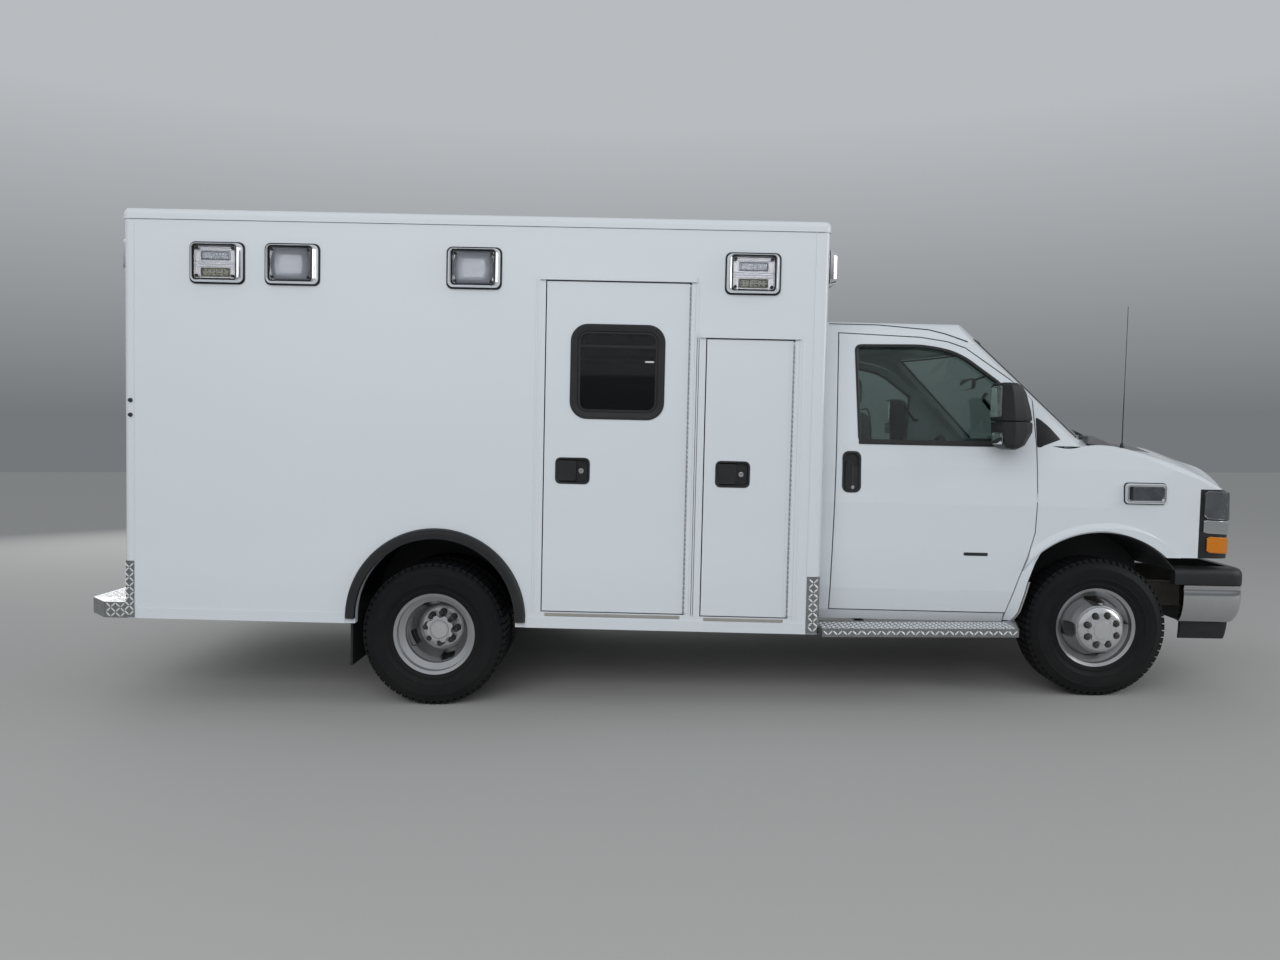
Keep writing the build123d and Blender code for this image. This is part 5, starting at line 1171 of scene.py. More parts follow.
def pocket_pan(bm, place):
    steps = ((0.006, 0.003, 0.0002), (0.006, 0.003, 0.0030), (0.002, 0.001, 0.0046),
             (-0.010, -0.003, 0.0046), (-0.016, -0.005, 0.0015), (-0.022, -0.007, -0.0170))
    skin(bm, plates(POCKET, [(grow, POCKET_R + r, d) for grow, r, d in steps]), place, pan=True)


def paddle(bm, place):
    steps = ((0.0012, 0.0125, -0.0168), (0.0012, 0.0125, 0.0004), (-0.003, 0.0110, 0.0022),
             (-0.020, 0.0080, 0.0012), (-0.050, 0.0060, 0.0004))
    skin(bm, plates(PADDLE, steps), place)


def lock(bm, place):
    steps = ((0.0125, -0.0168), (0.0125, -0.0030), (0.0105, -0.0018), (0.0090, -0.0018),
             (0.0082, -0.0026), (0.0030, -0.0024))
    stack(bm, steps, 24, place)
    box_in(bm, (-0.0010, -0.0045, -0.003), (0.0010, 0.0045, -0.0019), place)


def handle(name, body, place, way):
    """Way is the direction of the hinge along U."""
    pan, bright = bmesh.new(), bmesh.new()
    pocket_pan(pan, place)
    paddle(pan, place @ Matrix.Translation((-way * PADDLE_SHIFT, 0, 0)))
    lock(bright, place @ Matrix.Translation((way * LOCK_SHIFT, 0, 0)))
    piece(name + "_handle", pan, handle_black, body, "black_plastic", bevel=0.0008)
    piece(name + "_lock", bright, chrome, body, "chrome")


def build_handles():
    for side, x, _, body, name in SIDE_DOORS:
        handle(name, body, on_wall(side, x[0] + HANDLE_IN, HANDLE_Z), 1)
    for side, name in SIDES:
        handle("rear_door_" + name, "door_rear_" + name,
               on_end(REAR_X, side * HANDLE_IN, HANDLE_Z, -1), -side)


handle_black = surface("handle_black", (0.014, 0.015, 0.017), (0.022, 0.023, 0.025),
                       (0.28, 0.40), 9.0, dust=0.05, fine=700.0, share=0.2, bump=0.08)
build_handles()
print("handles", len(SIDE_DOORS) + 2)

# %% [markdown]
# The windows have a deep black frame with a rounded lip, a thin inner sash, a bar across the
# upper quarter where the sliding pane meets the fixed one, and a small latch.

# %% Windows of the module
ENTRY_WINDOW_X = (0.695, 1.170)
WINDOW_Z = (1.514, 1.990)
REAR_WINDOW_Y = (0.170, 0.500)
WINDOW_R = 0.085
FRAME_STEPS = ((0.004, 0.0003), (0.004, 0.0040), (0.0, 0.0062), (-0.012, 0.0062),
               (-0.016, 0.0040), (-0.028, 0.0034), (-0.032, 0.0010), (-0.033, -0.0066),
               (-0.002, -0.0066), (-0.002, 0.0003))
SASH_STEPS = ((-0.034, -0.0072), (-0.034, -0.0020), (-0.037, -0.0008), (-0.044, -0.0008),
              (-0.046, -0.0030), (-0.046, -0.0072))
SASH_BAR = 0.77


def window_ring(bm, size, steps, place):
    outlines = []
    for grow, depth in steps:
        radius = max(0.012, WINDOW_R + grow)
        outlines.append((rounded(size[0] + 2 * grow, size[1] + 2 * grow, radius, 9), depth))
    skin(bm, outlines, place, closed=True)


def sash_bar(bm, size, place):
    """Meeting rail of the two panes."""
    low = -size[1] / 2 + SASH_BAR * size[1]
    half = size[0] / 2 - 0.040
    outline = outline_box((-half, low - 0.007), (half, low + 0.007))
    inner = outline_box((-half, low - 0.004), (half, low + 0.004))
    skin(bm, [(outline, -0.0075), (outline, -0.0020), (inner, 0.0)], place)


def window_latch(bm, size, place):
    at = place @ Matrix.Translation((size[0] / 2 - 0.075, size[1] * 0.115, 0))
    grip = rounded(0.046, 0.0085, 0.0035)
    skin(bm, [(grip, -0.0072), (grip, -0.0015), (scaled(grip, 0.85), -0.0002)], at)


def window_set(name, body, size, place):
    black, white = bmesh.new(), bmesh.new()
    window_ring(black, size, FRAME_STEPS, place)
    window_ring(black, size, SASH_STEPS, place)
    sash_bar(black, size, place)
    window_latch(white, size, place)
    piece(name + "_frame", black, frame_black, body, "black_rubber")
    piece(name + "_latch", white, latch_white, body, "black_plastic")


def window_places():
    """Each door's window by its body: its name, size and place."""
    high, middle = WINDOW_Z[1] - WINDOW_Z[0], sum(WINDOW_Z) / 2
    found = {"door_entry": ("entry_window", (ENTRY_WINDOW_X[1] - ENTRY_WINDOW_X[0], high),
                            on_wall(-1, sum(ENTRY_WINDOW_X) / 2, middle))}
    for side, name in SIDES:
        found["door_rear_" + name] = (
            "rear_window_" + name, (REAR_WINDOW_Y[1] - REAR_WINDOW_Y[0], high),
            on_end(REAR_X, side * sum(REAR_WINDOW_Y) / 2, middle, -1))
    return found


def build_windows():
    for body, (name, size, place) in window_places().items():
        window_set(name, body, size, place)


frame_black = surface("frame_black", (0.016, 0.017, 0.019), (0.024, 0.025, 0.027), (0.38, 0.5),
                      7.0, dust=0.06, fine=600.0, share=0.25, bump=0.12)
latch_white = surface("latch_white", (0.72, 0.73, 0.74), (0.66, 0.67, 0.68), (0.3, 0.4), 20.0,
                      dust=0.0, bump=0.05)
build_windows()
print("windows framed")

# %% [markdown]
# Thin extrusions frame the module: flanges round each doorway, bright sill strips below the
# doors, beads on the corners, and a rubber seal along the top gap of each door, below its drip
# rail. A thin black line along the foot of the roof's edge is painted shadow under the cornice.

# %% Trim of the module
FLANGE_W = 0.026
FLANGE_GAP = 0.024
SILL_IN = 0.021
SILL_Z = (-0.022, -0.005)
CORNER_IN = 0.0715
REAR_CORNER_IN = 0.0565
END_BEAD_Z = 0.780
BEAD_R = 0.0022
SKIRT_Z = 0.480
CORNICE_Z = 2.479
KNOB_X = -1.568
KNOB_Z = (1.555, 1.480)


def flange(bm, x, z, place):
    """Low frame round a doorway with two shallow steps."""
    rings = []
    for grow, out in ((FLANGE_GAP, 0.0), (FLANGE_GAP, 0.0012), (FLANGE_GAP + 0.003, 0.0020),
                      (FLANGE_GAP + 0.013, 0.0020), (FLANGE_GAP + 0.014, 0.0010),
                      (FLANGE_GAP + 0.016, 0.0010), (FLANGE_GAP + 0.017, 0.0020),
                      (FLANGE_GAP + FLANGE_W - 0.003, 0.0020), (FLANGE_GAP + FLANGE_W, 0.0)):
        rings.append((outline_box((x[0] - grow, z[0] - 0.001), (x[1] + grow, z[1] + 0.001)), out))
    for low, high in zip(rings, rings[1:]):
        for edge in (0, 1):
            pair = []
            for points, out in (low, high):
                side = [points[3], points[0]] if edge == 0 else [points[1], points[2]]
                pair.append([bm.verts.new(place @ Vector((u, v, out))) for u, v in side])
            bm.faces.new((pair[0][0], pair[0][1], pair[1][1], pair[1][0]))


def bead(bm, start, end, radius=BEAD_R):
    """A straight thin rod between two level points."""
    start, end = Vector(start), Vector(end)
    turn = (end - start).to_track_quat("Z", "Y").to_matrix().to_4x4()
    stack(bm, ((radius, 0.0), (radius, (end - start).length)), 8,
          LEVEL @ Matrix.Translation(start) @ turn)


def build_trim():
    white, bright, black = bmesh.new(), bmesh.new(), bmesh.new()
    for side, x, z, *_ in SIDE_DOORS:
        place = on_wall(side, 0, 0)
        flange(white, x, z, place)
        strip = outline_box((x[0] + SILL_IN, z[0] + SILL_Z[0]), (x[1] - SILL_IN, z[0] + SILL_Z[1]))
        inner = outline_box((x[0] + SILL_IN + 0.002, z[0] + SILL_Z[0] + 0.003),
                            (x[1] - SILL_IN - 0.002, z[0] + SILL_Z[1] - 0.003))
        skin(bright, [(strip, 0.0), (strip, 0.0016), (inner, 0.0026)], place)
        y, top = side * (WALL_Y - 0.003), z[1] - 0.001
        bead(black, (x[0] - 0.002, y, top), (x[1] + 0.002, y, top), 0.0030)
    for side in (-1, 1):
        y = side * (WALL_Y + 0.0002)
        for x in (REAR_X + REAR_CORNER_IN, FRONT_X - CORNER_IN):
            bead(white, (x, y, SKIRT_Z), (x, y, CORNICE_Z))
        y = side * (WALL_Y - CORNER_IN)
        for x in (REAR_X, FRONT_X):
            bead(white, (x, y, END_BEAD_Z), (x, y, CORNICE_Z))
        # A thin black rod along the foot of the roof's edge: painted shadow under the cornice.
        y = side * (WALL_Y + 0.0008)
        bead(black, (REAR_X + 0.03, y, CORNICE_Z), (FRONT_X - 0.03, y, CORNICE_Z), 0.0016)
    for z in KNOB_Z:
        knob = ((0.011, 0.0), (0.011, 0.006), (0.009, 0.012), (0.005, 0.014))
        stack(black, knob, 20, on_wall(-1, KNOB_X, z))
    piece("door_flanges", white, paint, "vehicle", "body_paint", sharp=50)
    piece("sill_strips", bright, sill_steel, "vehicle", "tread_plate")
    piece("wall_seals", black, frame_black, "vehicle", "black_rubber")


sill_steel = surface("sill_steel", (0.62, 0.60, 0.57), (0.54, 0.53, 0.51), (0.30, 0.42), 30.0,
                     dust=0.3, dust_top=0.7, bump=0.1, fixed={"Metallic": 0.8})
build_trim()
print("trim laid")

# %% [markdown]
# The cab's skin is curved, so its trim is draped: every point of an outline is dropped onto the
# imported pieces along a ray, and then pushed out by its height. The side trim drops along Y, and
# the headlamp's trim drops towards a post inside the corner, which carries it round the bend.

# %% Draping on the cab
CAB_LINE = ((0.470, 0.960), (0.523, 0.985), (0.640, 1.000), (0.850, 1.006), (1.100, 1.006),
            (1.300, 0.990), (1.424, 0.975), (1.950, 0.885))
OUTER_NODES = ("front_fenders", "cab_shell", "cab_door_right", "cab_door_left", "hood")
SEAM_REACH = 0.012


def search_tree(names):
    bm = bmesh.new()
    for name in names:
        bm.from_mesh(nodes[name].data)
    tree = BVHTree.FromBMesh(bm)
    bm.free()
    return tree


OUTER = search_tree(OUTER_NODES)
FENDERS = search_tree(("front_fenders",))
HEADLAMPS = search_tree(("headlamps",))
SHIELD = search_tree(("windshield",))
COWL = search_tree(("cowl",))


def dropped(tree, start, way, height):
    """Where a ray meets the tree, pushed back along the ray by a height."""
    hit = tree.ray_cast(Vector(start), Vector(way).normalized())[0]
    if hit is None:
        raise ValueError("nothing under the outline at %s" % (tuple(start),))
    return hit - Vector(way).normalized() * height


def side_drop(tree, side):
    """Drops (x, z) from the side, and bridges the seams between pieces."""
    def locate(u, v, height):
        found = []
        for step in (0.0, -SEAM_REACH, SEAM_REACH):
            start = LEVEL @ Vector((u + step, side * 1.5, v))
            hit = tree.ray_cast(start, Vector((0, -side, 0)))[0]
            if hit is not None:
                found.append(abs(hit.y))
        return LEVEL @ Vector((u, side * (max(found) + height), v))
    return locate


def door_skin(side):
    """The door's outer face, whose half width changes with height only."""
    def locate(u, v, height):
        for (z_low, y_low), (z_high, y_high) in zip(CAB_LINE, CAB_LINE[1:]):
            if v <= z_high:
                break
        y = y_low + (y_high - y_low) * (v - z_low) / (z_high - z_low)
        return LEVEL @ Vector((u, side * (y + height), v))
    return locate


def drape(bm, outlines, locate, closed=False, pan=False):
    """As skin, but each point is placed by a function of U, V and height."""
    lofted(bm, [[locate(u, v, height) for u, v in points] for points, height in outlines],
           closed, pan)


def soft_corners(points, radius, steps=4):
    """Rounds the corners of an outline. One radius serves all, or there is one for each."""
    made = []
    count = len(points)
    for k in range(count):
        here = Vector(points[k])
        before = (Vector(points[k - 1]) - here)
        after = (Vector(points[(k + 1) % count]) - here)
        r = radius[k] if isinstance(radius, (list, tuple)) else radius
        reach = min(r, 0.45 * before.length, 0.45 * after.length)
        start = here + before.normalized() * reach
        end = here + after.normalized() * reach
        for i in range(steps + 1):
            t = i / steps
            made.append(tuple(start * (1 - t) ** 2 + here * 2 * t * (1 - t) + end * t ** 2))
    return made


def moved_out(points, distance):
    """Offsets a closed outline. Positive goes outward."""
    count = len(points)
    area = sum(points[k][0] * points[(k + 1) % count][1] - points[(k + 1) % count][0]
               * points[k][1] for k in range(count))
    way = 1 if area > 0 else -1
    made = []
    for k in range(count):
        along = Vector(points[(k + 1) % count]) - Vector(points[k - 1])
        along.normalize()
        made.append((points[k][0] + way * along.y * distance,
                     points[k][1] - way * along.x * distance))
    return made


def shifted(points, u, v):
    return [(p + u, q + v) for p, q in points]


def tube(bm, path, radius, steps=10):
    """Round rod through world points. The radius is one number or one for each point."""
    path = [Vector(p) for p in path]
    rings = []
    side = None
    for k, here in enumerate(path):
        along = (path[min(k + 1, len(path) - 1)] - path[max(k - 1, 0)]).normalized()
        if side is None:
            side = along.orthogonal().normalized()
        side = (side - along * side.dot(along)).normalized()
        other = along.cross(side)
        r = radius[k] if isinstance(radius, (list, tuple)) else radius
        rings.append([here + side * u + other * v for u, v in circle(r, steps)])
    lofted(bm, rings)


print("draping ready")

# %% [markdown]
# The cab door has a black window seal with a deeper belt strip, an upright handle with its lock,
# a bare badge plate, and a black corner panel ahead of it that meets the windshield pillar.

# %% Cab doors
DOOR_WINDOW = ((2.227, 1.430), (2.210, 1.944), (2.559, 1.950), (2.656, 1.937), (2.729, 1.920),
               (2.802, 1.886), (2.985, 1.752), (2.985, 1.430))
DOOR_WINDOW_R = (0.022, 0.030, 0.060, 0.050, 0.040, 0.045, 0.020, 0.020)
SEAL_STEPS = ((0.008, 0.0002), (0.0075, 0.0030), (0.004, 0.0042), (-0.004, 0.0042),
              (-0.009, 0.0010), (-0.010, -0.0240), (-0.002, -0.0240), (-0.002, 0.0002))
BELT = ((2.222, 1.413), (2.222, 1.434), (2.990, 1.434), (2.990, 1.413))
CAB_HANDLE = (2.186, 1.2635)
CAB_HANDLE_SIZE = (0.092, 0.213)
CAB_GRIP_Z = (1.172, 1.290)
BADGE_AT = (2.858, 0.8385)
BADGE_SIZE = (0.127, 0.017)
SAIL = ((3.1720, 1.4160), (3.1690, 1.5760), (3.1985, 1.5600), (3.2411, 1.5229),
        (3.2858, 1.4731), (3.3322, 1.4160))


def window_seal(bm, side):
    shape = soft_corners(DOOR_WINDOW, DOOR_WINDOW_R, 6)
    rings = [(moved_out(shape, grow), height) for grow, height in SEAL_STEPS]
    drape(bm, rings, door_skin(side), closed=True)
    belt = soft_corners(BELT, 0.006, 2)
    drape(bm, [(belt, 0.0), (belt, 0.0052), (moved_out(belt, -0.003), 0.0072)], door_skin(side))


def cab_handle(pan, bright, side):
    locate = door_skin(side)
    w, h = CAB_HANDLE_SIZE
    steps = ((0.004, 0.034, 0.0002), (0.004, 0.034, 0.0035), (0.001, 0.032, 0.0055),
             (-0.006, 0.028, 0.0055), (-0.010, 0.025, 0.0020), (-0.012, 0.022, -0.0112))
    rings = [(shifted(rounded(w + 2 * g, h + 2 * g, r, 6), *CAB_HANDLE), d) for g, r, d in steps]
    drape(pan, rings, locate, pan=True)
    low, high = CAB_GRIP_Z
    cover = shifted(rounded(0.069, high - low + 0.006, 0.008), CAB_HANDLE[0], (low + high) / 2)
    drape(pan, [(cover, -0.0136), (cover, 0.0006), (moved_out(cover, -0.002), 0.0014)], locate)
    grip = shifted(rounded(0.040, high - low + 0.036, 0.018), CAB_HANDLE[0] - 0.012,
                   (low + high) / 2 + 0.012)
    drape(pan, [(grip, -0.0136), (grip, 0.0040), (moved_out(grip, -0.004), 0.0068)], locate)
    foot = shifted(rounded(0.062, 0.046, 0.018), CAB_HANDLE[0], low + 0.012)
    drape(pan, [(foot, -0.0136), (foot, 0.0036), (moved_out(foot, -0.004), 0.0050)], locate)
    at = (CAB_HANDLE[0] + 0.004, low + 0.010)
    for radius, start, end in ((0.0105, 0.0045, 0.0066), (0.0070, 0.0060, 0.0072)):
        disc = shifted(circle(radius, 20), *at)
        drape(bright, [(disc, start), (disc, end)], locate)


def badge(bm, side):
    plate_edge = shifted(rounded(*BADGE_SIZE, 0.004), *BADGE_AT)
    drape(bm, [(plate_edge, 0.0), (plate_edge, 0.0020), (moved_out(plate_edge, -0.0015), 0.0028)],
          door_skin(side))


def build_cab_doors():
    for side, name in SIDES:
        body = "door_cab_" + name
        seal, pan, bright, bare = bmesh.new(), bmesh.new(), bmesh.new(), bmesh.new()
        window_seal(seal, side)
        cab_handle(pan, bright, side)
        badge(bare, side)
        piece("cab_window_seal_" + name, seal, frame_black, body, "black_rubber")
        piece("cab_handle_" + name, pan, handle_black, body, "black_plastic")
        piece("cab_lock_" + name, bright, chrome, body, "chrome")
        piece("cab_badge_" + name, bare, handle_black, body, "black_plastic")
        sail = bmesh.new()
        shape = soft_corners(SAIL, 0.010, 3)
        drape(sail, [(shape, 0.0003), (shape, 0.0030), (moved_out(shape, -0.002), 0.0042)],
              side_drop(OUTER, side))
        piece("sail_panel_" + name, sail, trim, "vehicle", "black_plastic")


build_cab_doors()
print("cab doors dressed")

# %% [markdown]
# A mirror is a faceted head in two parts, the tall flat glass above and the round one below. Its
# sections are given by height: how far it reaches to the rear and to the front.

# %% Door mirrors
MIRROR_UPPER = ((1.548, 2.889, 3.066), (1.560, 2.886, 3.072), (1.606, 2.885, 3.062),
                (1.6945, 2.884, 3.034), (1.727, 2.884, 3.012), (1.742, 2.892, 2.992))
MIRROR_LOWER = ((1.401, 2.945, 2.988), (1.409, 2.918, 3.010), (1.424, 2.906, 3.036),
                (1.492, 2.892, 3.0745), (1.530, 2.889, 3.0755), (1.543, 2.891, 3.070))
MIRROR_NECK = ((2.905, 1.080, 1.541), (3.040, 1.215, 1.550))
MIRROR_Y = (1.066, 1.238)
MIRROR_GLASS = ((2.8846, (1.566, 1.726)), (2.8960, (1.428, 1.528)))
ARM_PATH = ((3.020, 1.100, 1.462), (3.024, 1.050, 1.458), (3.032, 1.000, 1.453),
            (3.040, 0.966, 1.450))


def mirror_ring(rear, front, inset, side):
    inner, outer = MIRROR_Y[0] + inset, MIRROR_Y[1] - inset
    deep = front - rear
    return [(rear, side * inner), (rear, side * (outer - 0.010)),
            (rear + 0.008, side * (outer - 0.001)), (rear + 0.36 * deep, side * outer),
            (rear + 0.74 * deep, side * (outer - 0.022)),
            (rear + 0.95 * deep, side * (outer - 0.062)), (front, side * (outer - 0.100)),
            (front - 0.006, side * (inner + 0.030)), (front - 0.030, side * inner)]


def mirror_shell(bm, table, side):
    last = len(table) - 1
    rings = []
    for k, (z, rear, front) in enumerate(table):
        inset = 0.012 if table is MIRROR_UPPER and k == last else 0.0
        if table is MIRROR_LOWER and k < 2:
            inset = (0.022, 0.008)[k]
        rings.append((mirror_ring(rear, front, inset, side), z))
    skin(bm, rings, LEVEL)


def mirror_glass(bm, rear, z, side):
    """Flat glass standing just proud of the head's rear face."""
    middle = (MIRROR_Y[0] + MIRROR_Y[1]) / 2
    face = rounded(0.150, z[1] - z[0], 0.014)
    skin(bm, [(face, 0.0), (face, 0.0022), (scaled(face, 0.97), 0.0030)],
         on_end(rear, side * middle, sum(z) / 2, -1))


def mirror_arm(bm, side):
    path = [LEVEL @ Vector((x, side * y, z)) for x, y, z in ARM_PATH]
    rings = []
    for k, here in enumerate(path):
        grow = 1.0 + 0.25 * k / (len(path) - 1)
        shape = [(u * grow, v * grow) for u, v in rounded(0.080, 0.040, 0.016)]
        rings.append([here + Vector((u, 0, v)) for u, v in shape])
    lofted(bm, rings)


def build_mirrors():
    for side, name in SIDES:
        body = "door_cab_" + name
        shell, glass = bmesh.new(), bmesh.new()
        mirror_shell(shell, MIRROR_UPPER, side)
        mirror_shell(shell, MIRROR_LOWER, side)
        box_in(shell, *((x, side * y, z) for x, y, z in MIRROR_NECK), LEVEL)
        mirror_arm(shell, side)
        for rear, z in MIRROR_GLASS:
            mirror_glass(glass, rear, z, side)
        head = piece("mirror_head_" + name, shell, trim, body, "black_plastic", bevel=0.004,
                     sharp=14)
        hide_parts("mirror_" + name)
        piece("mirror_glass_" + name, glass, mirror_face, body, "chrome")


build_mirrors()
print("mirrors built")

# %% [markdown]
# At the front, headlamp trim is carried round the corner: a clear lens over a grey reflector,
# a chrome band and an amber signal. The fender carries a marker lamp and the antenna, and the
# windshield has its black seal, wipers and the raised corners of the cowl.

# %% Nose, windshield and antenna
LAMP_POST = (4.120, 0.800)
LAMP_BEND = 0.200
BEND_STEPS = 22
UPPER_LENS = ((-0.052, 1.051), (0.385, 1.203))
CHROME_BAND = ((-0.052, 0.976), (0.385, 1.046))
AMBER_LENS = ((-0.030, 0.872), (0.330, 0.958))
MARKER_AT = (3.7465, 1.182)
MARKER_SIZE = (0.229, 0.116)
MARKER_LENS = (0.172, 0.072)
ANTENNA_AT = (3.646, 0.900)
ANTENNA_FOOT = 1.404
ANTENNA_TOP = 2.168
WIPER_PIVOTS = (-0.640, 0.060)
WIPER_REACH = 0.56
SLOT_COUNT = 22
SLOT_HALF = 0.56
SLOT_X = 3.800
SLOT_BOW = 0.33
SHIELD_LOW = (0.880, 1.470)
SHIELD_HIGH = (0.765, 1.998)
COWL_CAP = ((3.520, 1.440), (3.522, 1.486), (3.545, 1.486), (3.595, 1.468), (3.640, 1.448),
            (3.668, 1.430), (3.668, 1.415))
COWL_CAP_Y = (0.640, 0.800)
COWL_CAP_SKEW = 0.012


def corner_drop(side):
    """Carries U round the nose's corner, towards a post inside it."""
    def locate(u, v, height):
        turn = u / LAMP_BEND
        way = Vector((math.sin(turn), side * math.cos(turn), 0))
        start = LEVEL @ (Vector((LAMP_POST[0], side * LAMP_POST[1], v)) + way * 0.6)
        return dropped(HEADLAMPS, start, -way, height)
    return locate


def bent_panel(bm, corners, radius, low, high, locate):
    """Patch bent round the corner: its face is a grid, so that it follows the bend."""
    (u0, v0), (u1, v1) = corners
    step = (u1 - u0) / BEND_STEPS
    top, bottom = [], []
    for k in range(BEND_STEPS + 1):
        u = u0 + step * k
        near = min(u - u0, u1 - u)
        pull = radius - math.sqrt(max(0.0, radius ** 2 - max(0.0, radius - near) ** 2))
        for row, level in ((bottom, low), (top, high)):
            edge = 0.003 if row is top else 0.0
            row.append([bm.verts.new(locate(u, v, level if 0 < i < 3 else level - edge))
                        for i, v in enumerate((v0 + pull, v0 + pull + 0.004, v1 - pull - 0.004,
                                               v1 - pull))])
    for k in range(BEND_STEPS):
        for i in range(3):
            bm.faces.new((top[k][i], top[k + 1][i], top[k + 1][i + 1], top[k][i + 1]))
        bm.faces.new((bottom[k][0], bottom[k + 1][0], top[k + 1][0], top[k][0]))
        bm.faces.new((bottom[k][3], bottom[k + 1][3], top[k + 1][3], top[k][3]))
    for k in (0, BEND_STEPS):
        for i in range(3):
            bm.faces.new((bottom[k][i], bottom[k][i + 1], top[k][i + 1], top[k][i]))


def build_headlamps():
    back, clear_bm, band, amber = (bmesh.new() for k in range(4))
    for side in (-1, 1):
        locate = corner_drop(side)
        bent_panel(back, UPPER_LENS, 0.018, 0.0004, 0.0035, locate)
        bent_panel(clear_bm, UPPER_LENS, 0.018, 0.0045, 0.0100, locate)
        bent_panel(band, CHROME_BAND, 0.006, 0.0004, 0.0070, locate)
        bent_panel(amber, AMBER_LENS, 0.010, 0.0004, 0.0075, locate)
    piece("headlamp_reflectors", back, lamp_grey, "vehicle", "chrome")
    piece("headlamp_lenses", clear_bm, lens, "vehicle", "lamp_lens")
    piece("headlamp_bands", band, chrome, "vehicle", "chrome")
    piece("turn_signals", amber, amber_lens, "vehicle", "lamp_lens")


def marker(black, bright, shine, back, side):
    locate = side_drop(FENDERS, side)
    w, h = MARKER_SIZE

    def ring(grow, radius):
        return shifted(rounded(w + 2 * grow, h + 2 * grow, radius, 6), *MARKER_AT)

    gasket = ((0.000, 0.022, 0.0002), (0.000, 0.022, 0.0035), (-0.003, 0.020, 0.0040))
    drape(black, [(ring(g, r), d) for g, r, d in gasket], locate)
    bezel = ((-0.004, 0.020, 0.0038), (-0.005, 0.019, 0.0150), (-0.010, 0.016, 0.0235),
             (-0.014, 0.014, 0.0245), (-0.020, 0.011, 0.0225), (-0.021, 0.010, 0.0038))
    drape(bright, [(ring(g, r), d) for g, r, d in bezel], locate, closed=True)
    window = shifted(rounded(*MARKER_LENS, 0.010), MARKER_AT[0] + 0.010, MARKER_AT[1])
    drape(back, [(window, 0.004), (window, 0.008)], locate)
    drape(shine, [(window, 0.013), (window, 0.0225), (moved_out(window, -0.003), 0.0245)], locate)


def antenna(bm):
    x, y = ANTENNA_AT
    foot = dropped(OUTER, LEVEL @ Vector((x, -y, 2.0)), (0, 0, -1), 0.0)
    up = LEVEL.to_3x3() @ Vector((0, 0, 1))
    tip = ANTENNA_TOP - ANTENNA_FOOT
    heights = (-0.006, 0.004, 0.006, 0.018, 0.030, 0.034, 0.30, 0.302, tip - 0.004, tip)
    radii = (0.020, 0.020, 0.0165, 0.0105, 0.0075, 0.0030, 0.0025, 0.0018, 0.0015, 0.0024)
    tube(bm, [foot + up * h for h in heights], list(radii), 14)


def shield_point(y, z, height):
    """Point on the glass. Where the ray misses, it moves in towards the middle."""
    way = LEVEL.to_3x3() @ Vector((-1, 0, 0))
    for k in range(60):
        start = LEVEL @ Vector((4.6, y * (1 - 0.004 * k), z))
        if SHIELD.ray_cast(start, way)[0] is not None:
            return dropped(SHIELD, start, way, height)
    raise ValueError("no glass at height %.3f" % z)


def shield_seal(bm):
    """Black seal along the sides and the top of the windshield."""
    for side in (-1, 1):
        path = []
        for k in range(13):
            z = SHIELD_LOW[1] + (SHIELD_HIGH[1] - SHIELD_LOW[1]) * k / 12
            path.append(shield_point(side * SHIELD_LOW[0], z, 0.0))
        tube(bm, path, 0.0075, 8)
    path = [shield_point(SHIELD_HIGH[0] * (k / 8 - 1), SHIELD_HIGH[1], 0.0) for k in range(17)]
    tube(bm, path, 0.0070, 8)


def wiper(bm, pivot_y):
    """Arm and blade parked along the foot of the glass."""
    arm, blade = [], []
    for k in range(9):
        t = k / 8
        arm.append(shield_point(pivot_y + WIPER_REACH * 0.55 * t, 1.472 + 0.045 * t,
                                0.030 - 0.008 * t))
    for k in range(17):
        t = k / 16
        blade.append(shield_point(pivot_y + WIPER_REACH * (0.06 + 0.94 * t),
                                  1.500 + 0.030 * math.sin(math.pi * t) * 0.4 + 0.02 * t, 0.012))
    tube(bm, arm, 0.0075, 8)
    tube(bm, blade, 0.0055, 8)
    hub = arm[0]
    tube(bm, [hub + Vector((0.016, 0, -0.030)), hub + Vector((0.004, 0, -0.004)),
              hub + Vector((0, 0, 0.006))], [0.017, 0.016, 0.010], 16)


def cowl_drop(u, v, height):
    return dropped(COWL, LEVEL @ Vector((u, v, 1.7)), (0, 0, -1), height)


def cowl_trim(bm, dark):
    """Raised corners of the cowl, and its row of air slots."""
    for side in (-1, 1):
        near, far = side * COWL_CAP_Y[0], side * COWL_CAP_Y[1]
        lofted(bm, [[LEVEL @ Vector((x + shift, y, z)) for x, z in COWL_CAP]
                    for y, shift in ((near, COWL_CAP_SKEW), (far, 0.0))])
    for k in range(SLOT_COUNT):
        y = -SLOT_HALF + 2 * SLOT_HALF * k / (SLOT_COUNT - 1)
        slot = shifted(rounded(0.042, 0.012, 0.005, 3), SLOT_X - SLOT_BOW * y * y, y)
        drape(dark, [(slot, -0.001), (slot, 0.0012)], cowl_drop)


